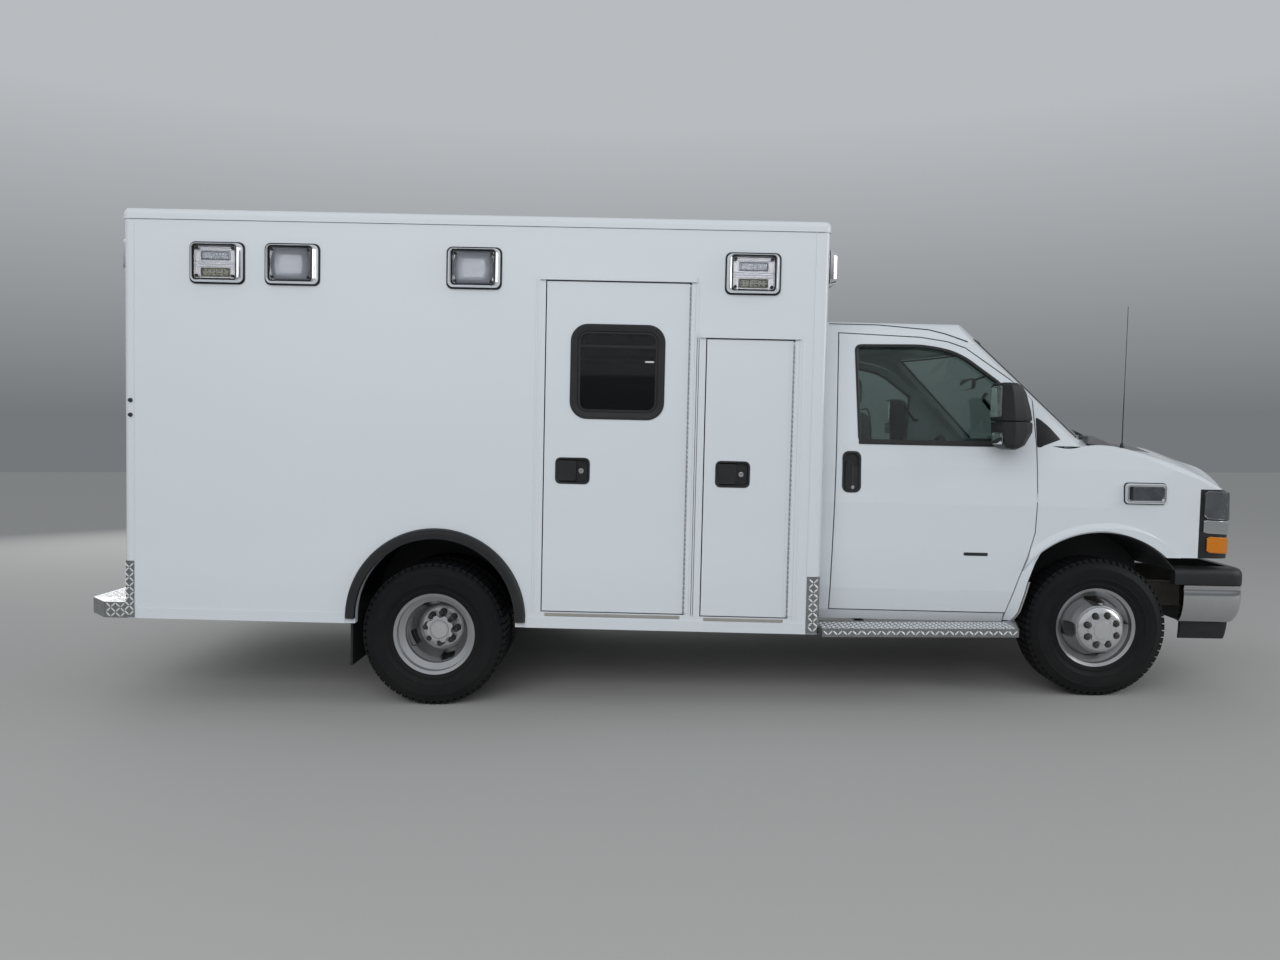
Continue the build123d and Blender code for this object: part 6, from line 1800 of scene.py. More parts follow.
def build_nose():
    black, bright, shine, back = (bmesh.new() for k in range(4))
    for side in (-1, 1):
        marker(black, bright, shine, back, side)
    piece("marker_gaskets", black, frame_black, "vehicle", "black_rubber")
    piece("marker_bezels", bright, chrome, "vehicle", "chrome")
    piece("marker_lenses", shine, lens, "vehicle", "lamp_lens")
    piece("marker_reflectors", back, lamp_grey, "vehicle", "chrome")
    rod, seal, arms, caps, slots = (bmesh.new() for k in range(5))
    antenna(rod)
    shield_seal(seal)
    for pivot_y in WIPER_PIVOTS:
        wiper(arms, pivot_y)
    cowl_trim(caps, slots)
    piece("antenna", rod, handle_black, "vehicle", "black_plastic")
    piece("windshield_seal", seal, frame_black, "vehicle", "black_rubber")
    piece("wipers", arms, trim, "vehicle", "black_plastic")
    piece("cowl_caps", caps, grey, "vehicle", "black_plastic", bevel=0.006)
    piece("cowl_slots", slots, chassis, "vehicle", "black_plastic")


lamp_grey = surface("lamp_grey", (0.20, 0.21, 0.23), (0.30, 0.31, 0.33), (0.15, 0.25), 16.0,
                    dust=0.0, fine=90.0, coarse=30.0, share=0.4, bump=0.15,
                    fixed={"Metallic": 0.9})
build_headlamps()
build_nose()
print("nose dressed")

# %% [markdown]
# The bumper is one profile carried along a line: straight sides, round corners and a shallow
# bow across the front. Its pad rolls over at the top, the bar under it draws in towards its
# foot, and the dam hangs behind. The same way of sweeping makes the fender's lower lip.

# %% Bumper
BUMPER_FRONT = 4.398
BUMPER_CORNER = (4.330, 0.962)
BUMPER_R = 0.095
BUMPER_FLARE = 0.012
PAD_REAR = 3.940
BAR_REAR = 3.992
DAM_REAR = 4.015
PAD_PROFILE = ((0.012, 0.694), (0.001, 0.697), (0.000, 0.708), (0.000, 0.748), (0.004, 0.766),
               (0.014, 0.780), (0.030, 0.787), (0.078, 0.790), (0.080, 0.784), (0.045, 0.774),
               (0.045, 0.694))
BAR_PROFILE = ((0.010, 0.6935), (0.001, 0.6925), (0.000, 0.688), (0.003, 0.680), (0.005, 0.672),
               (0.001, 0.660), (0.000, 0.630), (0.002, 0.590), (0.008, 0.555), (0.020, 0.522),
               (0.036, 0.498), (0.046, 0.490), (0.052, 0.492), (0.050, 0.520), (0.045, 0.560),
               (0.045, 0.690))
DAM_PROFILE = ((0.060, 0.4895), (0.062, 0.460), (0.068, 0.420), (0.076, 0.394), (0.080, 0.392),
               (0.086, 0.394), (0.082, 0.440), (0.080, 0.4895))


def bumper_line(rear):
    """Points and outward ways along the bumper's outer line, from right to left."""
    corner = Vector(BUMPER_CORNER)
    drop = BUMPER_FRONT - corner.x
    bow = (corner.y ** 2 + drop ** 2) / (2 * drop)
    side = (Vector((PAD_REAR, corner.y + BUMPER_FLARE)) - corner).normalized()
    front = Vector((corner.y / bow, -1.0)).normalized()
    reach = BUMPER_R * math.tan((math.pi - side.angle(front)) / 2)
    start, end = corner + side * reach, corner + front * reach
    flare = BUMPER_FLARE * (corner.x - rear) / (corner.x - PAD_REAR)
    path = [Vector((rear, corner.y + flare))]
    path += [path[0] * (1 - k / 4) + start * (k / 4) for k in range(1, 4)]
    for k in range(9):
        t = k / 8
        path.append(start * (1 - t) ** 2 + corner * 2 * t * (1 - t) + end * t ** 2)
    for k in range(1, 11):
        y = end.y * (1 - k / 10)
        path.append(Vector((BUMPER_FRONT - bow + math.sqrt(bow ** 2 - y ** 2), y)))
    right = [Vector((p.x, -p.y)) for p in path]
    whole = right + list(reversed(path[:-1]))
    made = []
    for k, here in enumerate(whole):
        along = whole[min(k + 1, len(whole) - 1)] - whole[max(k - 1, 0)]
        made.append((here, Vector((along.y, -along.x)).normalized()))
    return made


def swept(bm, line, profile):
    """Carries an (inset, height) profile along a line, with both ends closed."""
    lofted(bm, [[LEVEL @ Vector((*(here - out * inset), z)) for inset, z in profile]
                for here, out in line])


def build_bumper():
    black, bright = bmesh.new(), bmesh.new()
    swept(black, bumper_line(PAD_REAR), PAD_PROFILE)
    swept(black, bumper_line(DAM_REAR), DAM_PROFILE)
    swept(bright, bumper_line(BAR_REAR), BAR_PROFILE)
    pads = piece("bumper_pad_and_dam", black, trim, "vehicle", "black_plastic", sharp=40)
    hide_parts("bumper_pads")
    bar = piece("bumper_bar", bright, bumper_chrome, "vehicle", "chrome", sharp=40)
    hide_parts("front_bumper")


bumper_chrome = surface("bumper_chrome", (0.60, 0.61, 0.62), (0.54, 0.55, 0.56), (0.04, 0.10),
                        3.0, dust=0.10, bump=0.03, fixed={"Metallic": 1.0})
build_bumper()
print("bumper swept")

# %% [markdown]
# Behind the front wheel the fender's lip goes on down to the running board, and a bright guard
# edges the splash panel beside the tyre. A black line over each cab door is painted shadow
# under the roof's edge.

# %% Fender lips, splash guards and painted shadow over the cab doors
LIP_TABLE = ((0.852, 3.189, 3.201, 1.006), (0.800, 3.143, 3.176, 1.0045),
             (0.747, 3.1105, 3.158, 1.003), (0.694, 3.092, 3.140, 1.0015),
             (0.640, 3.0745, 3.128, 1.000), (0.591, 3.059, 3.116, 0.9937),
             (0.530, 3.039, 3.101, 0.985), (0.500, 3.034, 3.086, 0.974),
             (0.480, 3.030, 3.072, 0.965))
LIP_CREST = 0.012
LIP_BACK = 0.955
GUARD_SHIFT = 0.011
GUARD_T = 0.0045
GUTTER_SHADOW = ((2.075, 2.066), (2.340, 2.065), (2.610, 2.041), (2.695, 2.019), (2.812, 1.977))


def lower_lip(bm, side):
    """Goes on from the rolled lip, from the seam of the door to the wheel opening."""
    rings = []
    for z, near, far, y in LIP_TABLE:
        shape = ((near, LIP_BACK), (near, y - 0.003), (near + 0.003, y),
                 (near + 0.5 * (far - near), y + 0.4 * LIP_CREST), (far - 0.010, y + LIP_CREST),
                 (far - 0.003, y + LIP_CREST - 0.002), (far, y + LIP_CREST - 0.008),
                 (far, LIP_BACK))
        rings.append([LEVEL @ Vector((x, side * out, z)) for x, out in shape])
    lofted(bm, rings)


def guard_strip(bm, side):
    """Thin bright plate that stands along the splash panel's edge."""
    rings = []
    for z, _, far, y in LIP_TABLE[3:]:
        x = far + GUARD_SHIFT
        rings.append([LEVEL @ Vector((x + GUARD_T * u, side * out, z))
                      for u, out in ((-1, 0.900), (-1, y), (1, y), (1, 0.900))])
    lofted(bm, rings)


def gutter_shadow(bm, side):
    """Round black rod laid along the roof's edge over the door: a painted shadow line."""
    locate = side_drop(OUTER, side)
    path = []
    for (x0, z0), (x1, z1) in zip(GUTTER_SHADOW, GUTTER_SHADOW[1:]):
        for k in range(8):
            t = k / 8
            path.append(locate(x0 + (x1 - x0) * t, z0 + (z1 - z0) * t, 0.0))
    path.append(locate(*GUTTER_SHADOW[-1], 0.0))
    tube(bm, path, 0.0035, 8)


def build_sides():
    white, bright, black = bmesh.new(), bmesh.new(), bmesh.new()
    for side in (-1, 1):
        lower_lip(white, side)
        guard_strip(bright, side)
        gutter_shadow(black, side)
    piece("fender_lower_lips", white, paint, "vehicle", "body_paint", bevel=0.002)
    piece("splash_guard_edges", bright, sill_steel, "vehicle", "tread_plate", bevel=0.001)
    piece("cab_gutters", black, frame_black, "vehicle", "black_rubber")


build_sides()
print("cab sides edged")

# %% [markdown]
# Warning lamps show two modules of small lights between flat fins, and the tail lamps have
# ribbed lenses: red above, amber in the middle and clear below. Each module's lights and each
# lens's ribs are one call of the grid tree.

# %% Light modules and tail lamps
MODULE_SHARE = (0.480, 0.150)
MODULE_SHIFT = (0.160, -0.235)
LIGHTS_ACROSS = 7
LIGHT_R = 0.0042
TAIL_SIZE = (0.190, 0.120)
TAIL_Y = 1.010
TAIL_ROWS = ((0.960, "red"), (0.800, "amber"), (0.640, "clear"))
RIB_PITCH = 0.0125
RIB_COUNT = 11


def light_seed():
    seed = bmesh.new()
    dome = ((LIGHT_R, 0.0), (LIGHT_R, 0.0015), (LIGHT_R * 0.8, 0.0030), (LIGHT_R * 0.4, 0.0038))
    stack(seed, dome, 10, Matrix.Identity(4))
    return seed


def light_module(frame_bm, light_bm, size, v, material, place):
    w, h = size[0] * MODULE_SHARE[0], size[1] * MODULE_SHARE[1]
    at = place @ Matrix.Translation((0, v, 0.012))
    steps = ((w + 0.014, h + 0.014, 0.0), (w + 0.014, h + 0.014, 0.004), (w, h, 0.0055),
             (w - 0.002, h - 0.002, 0.0015))
    skin(frame_bm, [(rounded(a, b, 0.003, 2), d) for a, b, d in steps], at)
    pitch = (w - 0.012) / (LIGHTS_ACROSS - 1)
    start = Matrix.Translation((-(w - 0.012) / 2, -0.25 * h, 0.0015))
    copies(light_bm, GRID, light_seed(), material, at @ start, Across=LIGHTS_ACROSS, Up=2,
           Pitch_U=pitch, Pitch_V=0.5 * h)


def lamp_fins(bm, size, place):
    """Flat fins across a warning lamp's reflector, above and below each module."""
    half = lamp_opening(size, 0.012)[0] / 2
    for v in (-0.10, -0.045, 0.01, 0.29, 0.34):
        y = v * size[1]
        box_in(bm, (-half, y - 0.0010, 0.012), (half, y + 0.0010, 0.0165), place)


def tail_lamp(gasket, bezel, glass, place):
    w, h = TAIL_SIZE
    face = rounded(w, h, 0.016)
    skin(gasket, [(face, 0), (face, 0.004)], place)
    rim = ((0.002, 0.003), (0.003, 0.012), (0.007, 0.016), (0.011, 0.015), (0.012, 0.004))
    skin(bezel, [(rounded(w - 2 * g, h - 2 * g, 0.015 - g / 2), d) for g, d in rim], place,
         closed=True)
    steps = ((0.0125, 0.004), (0.0125, 0.016), (0.016, 0.0205), (0.030, 0.0215))
    skin(glass, [(rounded(w - 2 * g, h - 2 * g, 0.010), d) for g, d in steps], place)
    seed = bmesh.new()
    skin(seed, [(outline_box((-0.0022, -0.036), (0.0022, 0.036)), 0.0),
                (outline_box((-0.0010, -0.034), (0.0010, 0.034)), 0.0014)], Matrix.Identity(4))
    at = Matrix.Translation((-(RIB_COUNT - 1) * RIB_PITCH / 2, 0, 0.0205))
    copies(glass, GRID, seed, red_lens, place @ at, Across=RIB_COUNT, Up=1, Pitch_U=RIB_PITCH)


def build_lights():
    frames, white_leds, warm_leds, fins = (bmesh.new() for k in range(4))
    for size, kind, place in lamp_places():
        if kind != "warning":
            continue
        lamp_fins(fins, size, place)
        light_module(frames, white_leds, size, MODULE_SHIFT[0] * size[1], led_white, place)
        light_module(warm_leds, warm_leds, size, MODULE_SHIFT[1] * size[1], led, place)
    piece("light_frames", frames, led_frame, "vehicle", "grey_plastic")
    piece("light_rows_upper", white_leds, led_white, "vehicle", "lamp_lens")
    piece("light_rows_lower", warm_leds, led, "vehicle", "lamp_lens")
    piece("lamp_fins", fins, led_white, "vehicle", "grey_plastic")
    gasket, bezel = bmesh.new(), bmesh.new()
    finish = {"red": red_lens, "amber": amber_lens, "clear": lens}
    for z, colour in TAIL_ROWS:
        glass = bmesh.new()
        for side in (-1, 1):
            tail_lamp(gasket, bezel, glass, on_end(REAR_X, side * TAIL_Y, z, -1))
        piece("tail_lens_" + colour, glass, finish[colour], "vehicle", "lamp_lens")
    piece("tail_gaskets", gasket, frame_black, "vehicle", "black_rubber")
    piece("tail_rims", bezel, chrome, "vehicle", "chrome")


led_white = surface("led_white", (0.74, 0.76, 0.82), (0.62, 0.65, 0.72), (0.2, 0.3), 90.0,
                    dust=0.0, bump=0.1)
led_frame = surface("led_frame", (0.34, 0.36, 0.41), (0.27, 0.29, 0.34), (0.25, 0.35), 20.0,
                    dust=0.0, bump=0.05, fixed={"Metallic": 0.3})
build_lights()
print("tail lamps", 2 * len(TAIL_ROWS))

# %% [markdown]
# Cushions are blown up as cloth: a rounded form is remeshed into small even faces, filled with
# a little pressure for twenty frames, and held within a few millimetres of where it started.
# One side is worked out and the other is its mirror image.

# %% Padded forms
PAD_VOXEL = 0.009
PAD_PRESSURE = 4.0
PAD_FRAMES = 20


def blown_up(holder, reach):
    """Fills a holder's mesh with pressure as cloth. No point moves further than reach."""
    blown = holder.modifiers.new("blown", "CLOTH")
    blown.settings.use_pressure = True
    blown.settings.uniform_pressure_force = PAD_PRESSURE
    blown.settings.effector_weights.gravity = 0.0
    for frame_number in range(1, PAD_FRAMES + 1):
        bpy.context.scene.frame_set(frame_number)
    made = evaluated(holder)
    for before, after in zip(holder.data.vertices, made.vertices):
        move = after.co - before.co
        if move.length > reach:
            after.co = before.co + move.normalized() * reach
    bpy.context.scene.frame_set(1)
    return made


def padded_mesh(name, outlines, place, reach):
    """A crowned cushion in world coordinates, as a mesh."""
    bm = bmesh.new()
    skin(bm, outlines, Matrix.Identity(4))
    bmesh.ops.recalc_face_normals(bm, faces=bm.faces)
    holder = to_object(name, bm)
    fine = holder.modifiers.new("fine", "REMESH")
    fine.mode = "VOXEL"
    fine.voxel_size = PAD_VOXEL
    start = evaluated(holder)
    holder.modifiers.remove(fine)
    holder.data = start
    made = blown_up(holder, reach)
    bpy.data.objects.remove(holder)
    made.transform(place)
    return made


def pad_piece(name, mesh, material, body, slot, mirror=False):
    bm = bmesh.new()
    bm.from_mesh(mesh)
    if mirror:
        for vert in bm.verts:
            vert.co.y = -vert.co.y
    bmesh.ops.smooth_vert(bm, verts=bm.verts, factor=0.5, use_axis_x=True, use_axis_y=True,
                          use_axis_z=True)
    made = piece(name, bm, material, body, slot, sharp=180)
    return made


def pad_form(width, height, depth, radius):
    """Outlines of a cushion lying on U and V, with rounded edges."""
    steps = ((0.030, 0.0), (0.010, 0.10), (0.0, 0.30), (0.0, 0.70), (0.010, 0.90), (0.035, 1.0))
    return [(rounded(width - 2 * inset, height - 2 * inset, radius - inset * 0.5, 4), depth * t)
            for inset, t in steps]


print("padding ready")

# %% [markdown]
# The cab has two seats: a steel box, a cushion, a raked back and a headrest on two posts, with
# piping round the cushion and the back.

# %% Cab seats
SEAT_MIDDLE_Y = 0.450
SEAT_LEAN = math.radians(4.5)
SEAT_REACH = 0.020
CUSHION_FORM = (0.475, 0.450, 0.088, 0.070)
BACK_FORM = (0.450, 0.640, 0.078, 0.080)
HEADREST_FORM = (0.188, 0.160, 0.060, 0.045)
CUSHION_AT = (2.580, 0.902)
BACK_AT = (2.292, 1.285)
HEADREST_AT = (2.272, 1.712)
PIPING_R = 0.0035
PIPING_SHARE = 0.95
BASE_X = (2.402, 2.758)
BASE_Y = (0.282, 0.618)
BASE_Z = (0.642, 0.884)
POST_APART = 0.045
POST_LINE = ((2.318, 1.56), (2.308, 1.64), (2.304, 1.70))


def flat_frame(x, y, z):
    """Lying frame: U forward, V to the left, third way up."""
    return LEVEL @ Matrix.Translation((x, y, z))


def back_frame(x, y, z, lean):
    """Standing frame: U across, V up along the back, third way forward."""
    return on_end(x, y, z, 1) @ Matrix.Rotation(-lean, 4, "X")


def seat_frames(side):
    """The places of one seat's cushion, back and headrest."""
    y = side * SEAT_MIDDLE_Y
    return {"cushion": flat_frame(CUSHION_AT[0], y, CUSHION_AT[1]),
            "back": back_frame(BACK_AT[0], y, BACK_AT[1], SEAT_LEAN),
            "headrest": back_frame(HEADREST_AT[0], y, HEADREST_AT[1], SEAT_LEAN * 0.5)}


def piping(bm, form, place):
    """Round cord sewn along a cushion's edge."""
    width, height, depth, corner = form
    points = rounded(width + 0.004, height + 0.004, corner, 6)
    path = [place @ Vector((u, v, depth * PIPING_SHARE)) for u, v in points]
    tube(bm, path + [path[0]], PIPING_R, 6)


def seat_base(bm, side):
    low_y, high_y = sorted((side * BASE_Y[0], side * BASE_Y[1]))
    middle = (BASE_X[0] + BASE_X[1]) / 2
    size, (foot, top) = (BASE_X[1] - BASE_X[0], high_y - low_y), BASE_Z
    steps = ((0.0, 0.020, foot), (0.0, 0.020, foot + 0.03), (-0.02, 0.018, foot + 0.05),
             (-0.02, 0.018, top - 0.045), (0.02, 0.020, top - 0.035), (0.02, 0.020, top))
    skin(bm, plates(size, steps), flat_frame(middle, (low_y + high_y) / 2, 0))
    for y in (low_y + 0.03, high_y - 0.03):
        box_in(bm, (2.372, y - 0.016, 0.878), (2.800, y + 0.016, 0.896), LEVEL)


def seat_posts(bm, side):
    for y in (-POST_APART, POST_APART):
        tube(bm, [LEVEL @ Vector((x, side * SEAT_MIDDLE_Y + y, z)) for x, z in POST_LINE],
             0.0055, 10)


def build_seats():
    forms = {"cushion": CUSHION_FORM, "back": BACK_FORM, "headrest": HEADREST_FORM}
    right = seat_frames(-1)
    meshes = {key: padded_mesh(key, pad_form(*forms[key]), right[key], SEAT_REACH)
              for key in right}
    base, cord, posts = bmesh.new(), bmesh.new(), bmesh.new()
    for side, name in SIDES:
        for key in meshes:
            pad_piece("seat_%s_%s" % (key, name), meshes[key], cloth, "vehicle",
                      "interior_vinyl", mirror=side > 0)
        seat_base(base, side)
        seat_posts(posts, side)
        for key in ("cushion", "back"):
            piping(cord, forms[key], seat_frames(side)[key])
    made = piece("seat_bases", base, grey, "vehicle", "interior_panel", bevel=0.003)
    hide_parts("seats")
    piece("seat_piping", cord, trim, "vehicle", "interior_vinyl")
    piece("headrest_posts", posts, chrome, "vehicle", "chrome")


build_seats()
print("seats padded")

# %% [markdown]
# The driver's place has a padded wheel rim, an instrument hood, a screen with round vents and a
# grab handle on each windshield pillar.

# %% Dash, wheel and handles
RIM_AT = (2.990, 0.420, 1.300)
RIM_R = 0.190
RIM_TILT = math.radians(62)
RIM_GRIP = 0.0152
RIM_STEPS = 72
RIM_BUMPS = 18
RIM_BUMP = 0.0010
DASH_FACE = 3.110
DIALS_AT = (0.420, 1.312)
DIAL_APART = 0.085
SCREEN_AT = (0.0, 1.300)
KNOBS_Y = (-0.05, 0.0, 0.05)
FLAP_AT = (-0.520, 1.205)
VENTS = ((-0.72, 1.298), (-0.48, 1.298), (-0.19, 1.298), (0.19, 1.298), (0.72, 1.298))
VENT_R = 0.038
GRAB_LOW = (3.035, 0.865, 1.585)
GRAB_HIGH = (2.935, 0.845, 1.700)
GRAB_BOW = (-0.018, -0.034, -0.014)
INNER_MIRROR_AT = (3.100, 0.0, 1.800)
INNER_MIRROR_STALK = ((3.120, 0, 1.802), (3.170, 0, 1.835), (3.215, 0, 1.853))


def wheel_frame():
    return LEVEL @ Matrix.Translation(RIM_AT) @ Matrix.Rotation(-RIM_TILT, 4, "Y")


def wheel_grip(bm):
    """Covered rim with finger bumps, a little thicker than the rim it covers."""
    place = wheel_frame()
    rings = []
    for k in range(RIM_STEPS):
        turn = math.tau * k / RIM_STEPS
        bump = RIM_BUMP * max(0.0, math.cos(turn * RIM_BUMPS))
        out = Vector((math.cos(turn), math.sin(turn), 0))
        rings.append([place @ (out * (RIM_R + u) + Vector((0, 0, v)))
                      for u, v in circle(RIM_GRIP + bump, 12)])
    lofted(bm, rings, closed=True)


def wheel_pad(bm):
    """Bare pad over the wheel's middle."""
    place = wheel_frame()
    face = rounded(0.150, 0.170, 0.045, 6)
    skin(bm, [(face, 0.008), (scaled(face, 1.03), 0.016), (face, 0.028),
              (scaled(face, 0.86), 0.036), (scaled(face, 0.5), 0.038)], place)


def on_dash(y, z):
    """Place on the dash's rear face: U to the left, V up, third way rearward."""
    return on_end(DASH_FACE, y, z, -1)


def dash_hood(dark, bright):
    """Hood over two round instruments."""
    hood_line = rounded(0.36, 0.15, 0.060, 6)
    at = on_dash(*DIALS_AT)
    skin(dark, [(hood_line, -0.010), (hood_line, 0.022), (scaled(hood_line, 0.93), 0.030),
                (scaled(hood_line, 0.88), 0.012)], at)
    rim = ((0.050, 0.012), (0.050, 0.018), (0.046, 0.019), (0.045, 0.014))
    for u in (-DIAL_APART, DIAL_APART):
        stack(bright, rim, 32, at @ Matrix.Translation((u, 0, 0)))


def dash_middle(dark, shine, bright):
    """Screen with three knobs below it, and the flap in front of the passenger."""
    screen = on_dash(*SCREEN_AT)
    face = rounded(0.26, 0.150, 0.014)
    skin(dark, [(face, -0.004), (face, 0.008), (scaled(face, 0.97), 0.011)], screen)
    glass = rounded(0.190, 0.112, 0.006)
    skin(shine, [(glass, 0.010), (glass, 0.0125), (scaled(glass, 0.99), 0.0130)], screen)
    knob = ((0.016, 0.0), (0.016, 0.012), (0.013, 0.018), (0.004, 0.019))
    for y in KNOBS_Y:
        stack(bright, knob, 24, on_dash(y, 1.185))
    box_in(dark, (-0.30, -0.035, -0.002), (0.30, 0.035, 0.004), on_dash(*FLAP_AT))


def dash_vent(dark, place):
    """Round vent with four slats."""
    rim = ((VENT_R + 0.008, -0.003), (VENT_R + 0.008, 0.007), (VENT_R + 0.003, 0.009),
           (VENT_R, 0.002))
    stack(dark, rim, 32, place)
    for v in (-0.020, -0.007, 0.007, 0.020):
        half = math.sqrt(VENT_R ** 2 - v ** 2)
        box_in(dark, (-half, v - 0.002, 0.001), (half, v + 0.002, 0.007), place)


def grab_handle(bm, side):
    """Handle that leans with the windshield pillar."""
    low, high, inward = (Vector((x, side * y, z)) for x, y, z in (GRAB_LOW, GRAB_HIGH, GRAB_BOW))
    along = (high - low).normalized()
    path = [low, low + along * 0.010 + inward * 0.7, low + along * 0.030 + inward,
            low + (high - low) * 0.5 + inward * 1.1, high - along * 0.030 + inward,
            high - along * 0.010 + inward * 0.7, high]
    tube(bm, [LEVEL @ p for p in path], 0.0105, 12)


def inner_mirror(bm, glass):
    at = on_end(*INNER_MIRROR_AT, -1)
    face = rounded(0.245, 0.068, 0.030, 6)
    skin(bm, [(scaled(face, 0.85), -0.026), (scaled(face, 0.97), -0.016), (face, 0.0),
              (scaled(face, 0.985), 0.003)], at)
    skin(glass, [(scaled(face, 0.94), 0.0030), (scaled(face, 0.94), 0.0042)], at)
    tube(bm, [LEVEL @ Vector(p) for p in INNER_MIRROR_STALK], 0.007, 10)


def build_dash():
    grip, dark, shine, bright, glass = (bmesh.new() for k in range(5))
    wheel_grip(grip)
    wheel_pad(grip)
    dash_hood(dark, bright)
    dash_middle(dark, shine, bright)
    for y, z in VENTS:
        dash_vent(dark, on_dash(y, z))
    for side in (-1, 1):
        grab_handle(dark, side)
    inner_mirror(dark, glass)
    piece("steering_wheel_cover", grip, trim, "vehicle", "interior_vinyl", sharp=60)
    piece("dash_details", dark, trim, "vehicle", "black_plastic", bevel=0.0015)
    piece("dash_screen", shine, screen_glass, "vehicle", "dark_glass")
    piece("dash_rings", bright, frosted, "vehicle", "chrome")
    piece("inner_mirror_glass", glass, mirror_face, "vehicle", "chrome")


screen_glass = surface("screen_glass", (0.010, 0.012, 0.016), (0.016, 0.018, 0.022),
                       (0.06, 0.12), 4.0, dust=0.0, bump=0.01)
build_dash()
print("dash dressed")

# %% [markdown]
# In the patient room a bench has three vinyl cushions and a back rail of pads, the cabinets have
# framed sliding panes over their bays, and lamps and a grab rail run along the ceiling.

# %% Patient room
BENCH_X = (-1.540, 0.480)
BENCH_MIDDLE_Y = -0.888
BENCH_TOP = 1.180
BENCH_PADS = 3
BENCH_FORM = (0.655, 0.530, 0.070, 0.035)
BENCH_BACK_FORM = (0.655, 0.330, 0.050, 0.035)
BENCH_BACK_AT = (-1.148, 1.520)
BENCH_REACH = 0.012
CABINET_X = (-1.500, 1.300)
CABINET_Y = 0.780
CABINET_Z = (1.960, 2.470)
CABINET_BAYS = 4
CEILING_Z = 2.490
CEILING_LAMPS_X = (-1.05, -0.25, 0.55, 1.30)
RAIL_X = (-1.350, 1.350)
RAIL_Y = -0.350


def copy_shifted(mesh, shift):
    moved = mesh.copy()
    moved.transform(Matrix.Translation(LEVEL.to_3x3() @ Vector(shift)))
    return moved


def build_bench():
    pitch = (BENCH_X[1] - BENCH_X[0]) / BENCH_PADS
    first = BENCH_X[0] + pitch / 2
    seat_place = flat_frame(first, BENCH_MIDDLE_Y, BENCH_TOP + 0.012)
    seat = padded_mesh("bench_pad", pad_form(*BENCH_FORM), seat_place, BENCH_REACH)
    back_place = across(first, *BENCH_BACK_AT, 1)
    back = padded_mesh("bench_back", pad_form(*BENCH_BACK_FORM), back_place, BENCH_REACH)
    for k in range(BENCH_PADS):
        shift = (pitch * k, 0, 0)
        pad_piece("bench_pad_%d" % (k + 1), copy_shifted(seat, shift), vinyl, "vehicle",
                  "interior_vinyl")
        pad_piece("bench_back_%d" % (k + 1), copy_shifted(back, shift), vinyl, "vehicle",
                  "interior_vinyl")


def cabinet_fronts(bright, panes):
    bay = (CABINET_X[1] - CABINET_X[0]) / CABINET_BAYS
    low_z, high_z = CABINET_Z
    place = across(0, CABINET_Y, 0, -1)
    for k in range(CABINET_BAYS):
        low_x = CABINET_X[0] + bay * k + 0.012
        high_x = low_x + bay - 0.024
        outer = outline_box((low_x, low_z + 0.012), (high_x, high_z - 0.012))
        inner = outline_box((low_x + 0.018, low_z + 0.034), (high_x - 0.018, high_z - 0.034))
        skin(bright, [(outer, 0.0005), (outer, 0.012), (inner, 0.012), (inner, 0.0005)], place,
             closed=True)
        middle = (low_x + high_x) / 2
        for x0, x1, depth in ((low_x + 0.016, middle + 0.02, 0.002),
                              (middle - 0.02, high_x - 0.016, 0.006)):
            box_in(panes, (x0, low_z + 0.032, depth), (x1, high_z - 0.032, depth + 0.003), place)
            grip_x = x0 + 0.035 if depth < 0.004 else x1 - 0.035
            grip_at = place @ Matrix.Translation((grip_x, 2.15, depth + 0.003))
            skin(bright, [(rounded(0.020, 0.11, 0.008), 0.0), (rounded(0.020, 0.11, 0.008), 0.006),
                          (rounded(0.014, 0.10, 0.006), 0.008)], grip_at)


def ceiling(bright, glow):
    for x in CEILING_LAMPS_X:
        at = LEVEL @ Matrix(((1, 0, 0, x), (0, 1, 0, 0.12), (0, 0, -1, CEILING_Z), (0, 0, 0, 1)))
        skin(bright, [(rounded(0.42, 0.16, 0.03), 0.0005), (rounded(0.42, 0.16, 0.03), 0.012),
                      (rounded(0.38, 0.12, 0.02), 0.014)], at)
        skin(glow, [(rounded(0.37, 0.11, 0.018), 0.0145), (rounded(0.36, 0.10, 0.016), 0.022)], at)
    low, high = RAIL_X
    rail = ((low, 0.002), (low + 0.01, 0.060), (low + 0.05, 0.085), (0.0, 0.085),
            (high - 0.05, 0.085), (high - 0.01, 0.060), (high, 0.002))
    tube(bright, [LEVEL @ Vector((x, RAIL_Y, CEILING_Z - drop)) for x, drop in rail], 0.014, 14)


def build_room():
    bright, panes, glow = bmesh.new(), bmesh.new(), bmesh.new()
    cabinet_fronts(bright, panes)
    ceiling(bright, glow)
    piece("cabinet_frames_and_rail", bright, plate, "vehicle", "chrome", bevel=0.001)
    piece("cabinet_panes", panes, tinted, "vehicle", "cab_glass")
    piece("ceiling_lamps", glow, led_white, "vehicle", "lamp_lens")


vinyl = surface("bench_vinyl", (0.055, 0.075, 0.12), (0.070, 0.092, 0.14), (0.38, 0.50), 6.0,
                dust=0.0, fine=900.0, coarse=120.0, share=0.35, bump=0.25)
build_bench()
build_room()
print("patient room fitted")

# %% [markdown]
# Inside, each door of the module has a shallow panel with a raised rim. The doors that people
# walk through have a window frame and a grab rail on this side too.

# %% Door linings
DOOR_T = 0.060
PANEL_IN = 0.075
PANEL_RIM = ((0.0, 0.0), (0.0, 0.0020), (0.005, 0.0032), (0.016, 0.0032), (0.022, 0.0012))
PANEL_BELOW = 0.170
RAIL_OFF = 0.048
RAIL_IN = 0.160
RAIL_Z = 1.000


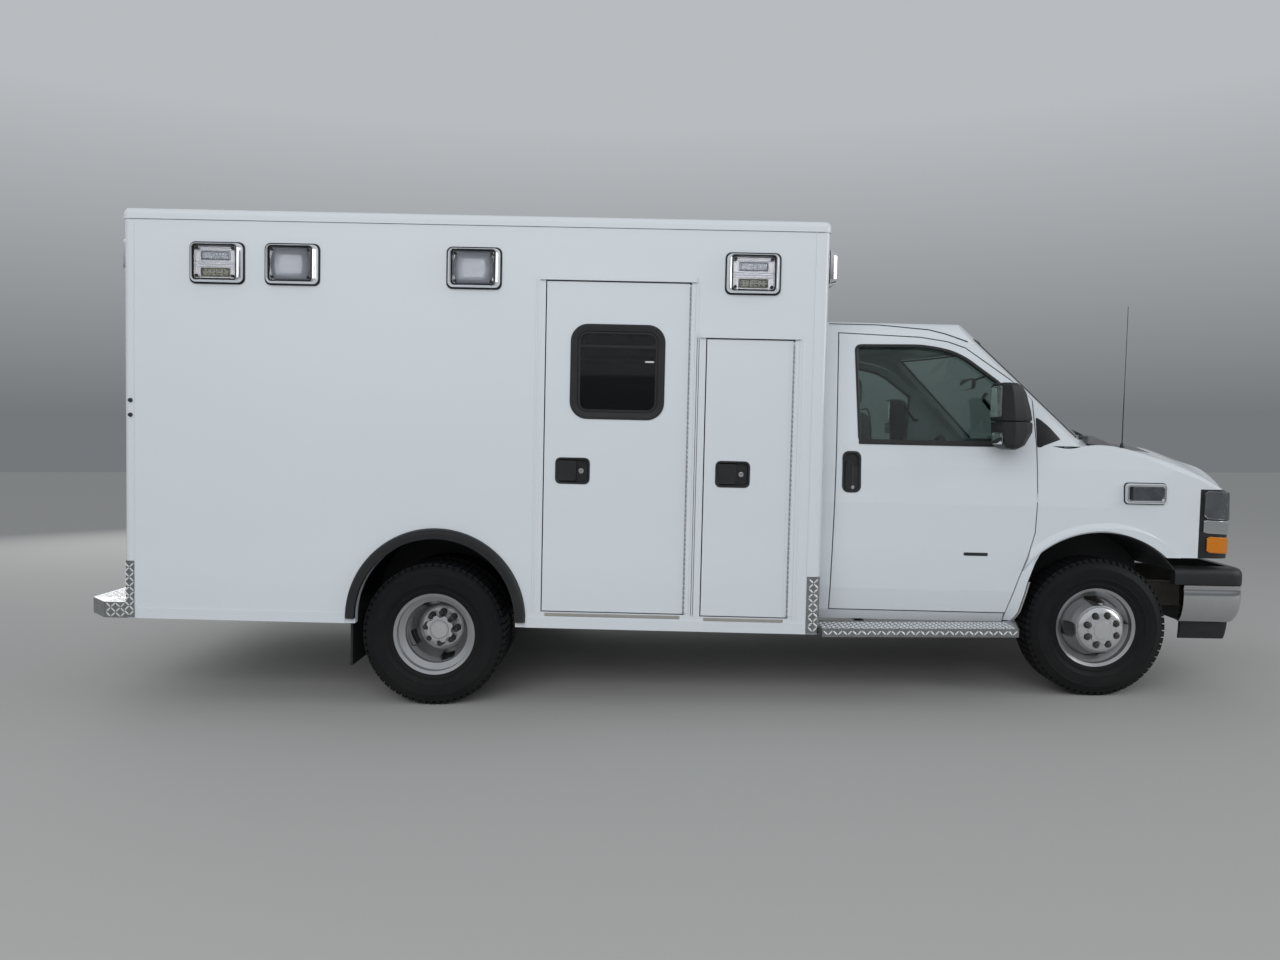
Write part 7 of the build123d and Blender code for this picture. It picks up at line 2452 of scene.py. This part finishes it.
def inner_face(place):
    """The same place on the door's inner face, looking inwards."""
    return place @ Matrix.Translation((0, 0, -DOOR_T)) @ Matrix.Rotation(math.pi, 4, "Y")


def door_panel(bm, size, place):
    shapes = [(rounded(size[0] - 2 * g, size[1] - 2 * g, 0.020), d) for g, d in PANEL_RIM]
    skin(bm, shapes, place)


def grab_rail(bm, half, place):
    path = [(-half, 0, 0), (-half, 0, RAIL_OFF - 0.020), (-half + 0.008, 0, RAIL_OFF - 0.006),
            (-half + 0.022, 0, RAIL_OFF)]
    path += [(-x, y, z) for x, y, z in reversed(path)]
    tube(bm, [place @ Vector(p) for p in path], 0.0125, 14)
    foot = ((0.030, 0.0), (0.030, 0.003), (0.026, 0.005), (0.013, 0.006))
    for u in (-half, half):
        stack(bm, foot, 20, place @ Matrix.Translation((u, 0, 0)))


def line_door(name, body, at, wide, z):
    """Lines one door. At turns a height into a place on the door's middle line."""
    window = window_places().get(body)
    top = (WINDOW_Z[0] - PANEL_BELOW) if window else z[1] - PANEL_IN
    low = z[0] + PANEL_IN
    panel = bmesh.new()
    door_panel(panel, (wide - 2 * PANEL_IN, top - low), inner_face(at((low + top) / 2)))
    finish, slot = (lining, "interior_panel") if window else (plate, "tread_plate")
    piece(name + "_lining", panel, finish, body, slot)
    if not window:
        return
    frame, rail = bmesh.new(), bmesh.new()
    window_ring(frame, window[1], FRAME_STEPS, inner_face(window[2]))
    piece(name + "_inner_frame", frame, frame_black, body, "black_rubber")
    grab_rail(rail, wide / 2 - RAIL_IN, inner_face(at(RAIL_Z)))
    piece(name + "_grab_rail", rail, chrome, body, "chrome")


def line_doors():
    for side, x, z, body, name in SIDE_DOORS:
        line_door(name, body, lambda h: on_wall(side, (x[0] + x[1]) / 2, h), x[1] - x[0], z)
    for side, name in SIDES:
        line_door("rear_door_" + name, "door_rear_" + name,
                  lambda h: on_end(REAR_X, side * REAR_DOOR_Y / 2, h, -1), REAR_DOOR_Y,
                  REAR_DOOR_Z)


line_doors()
print("doors lined")
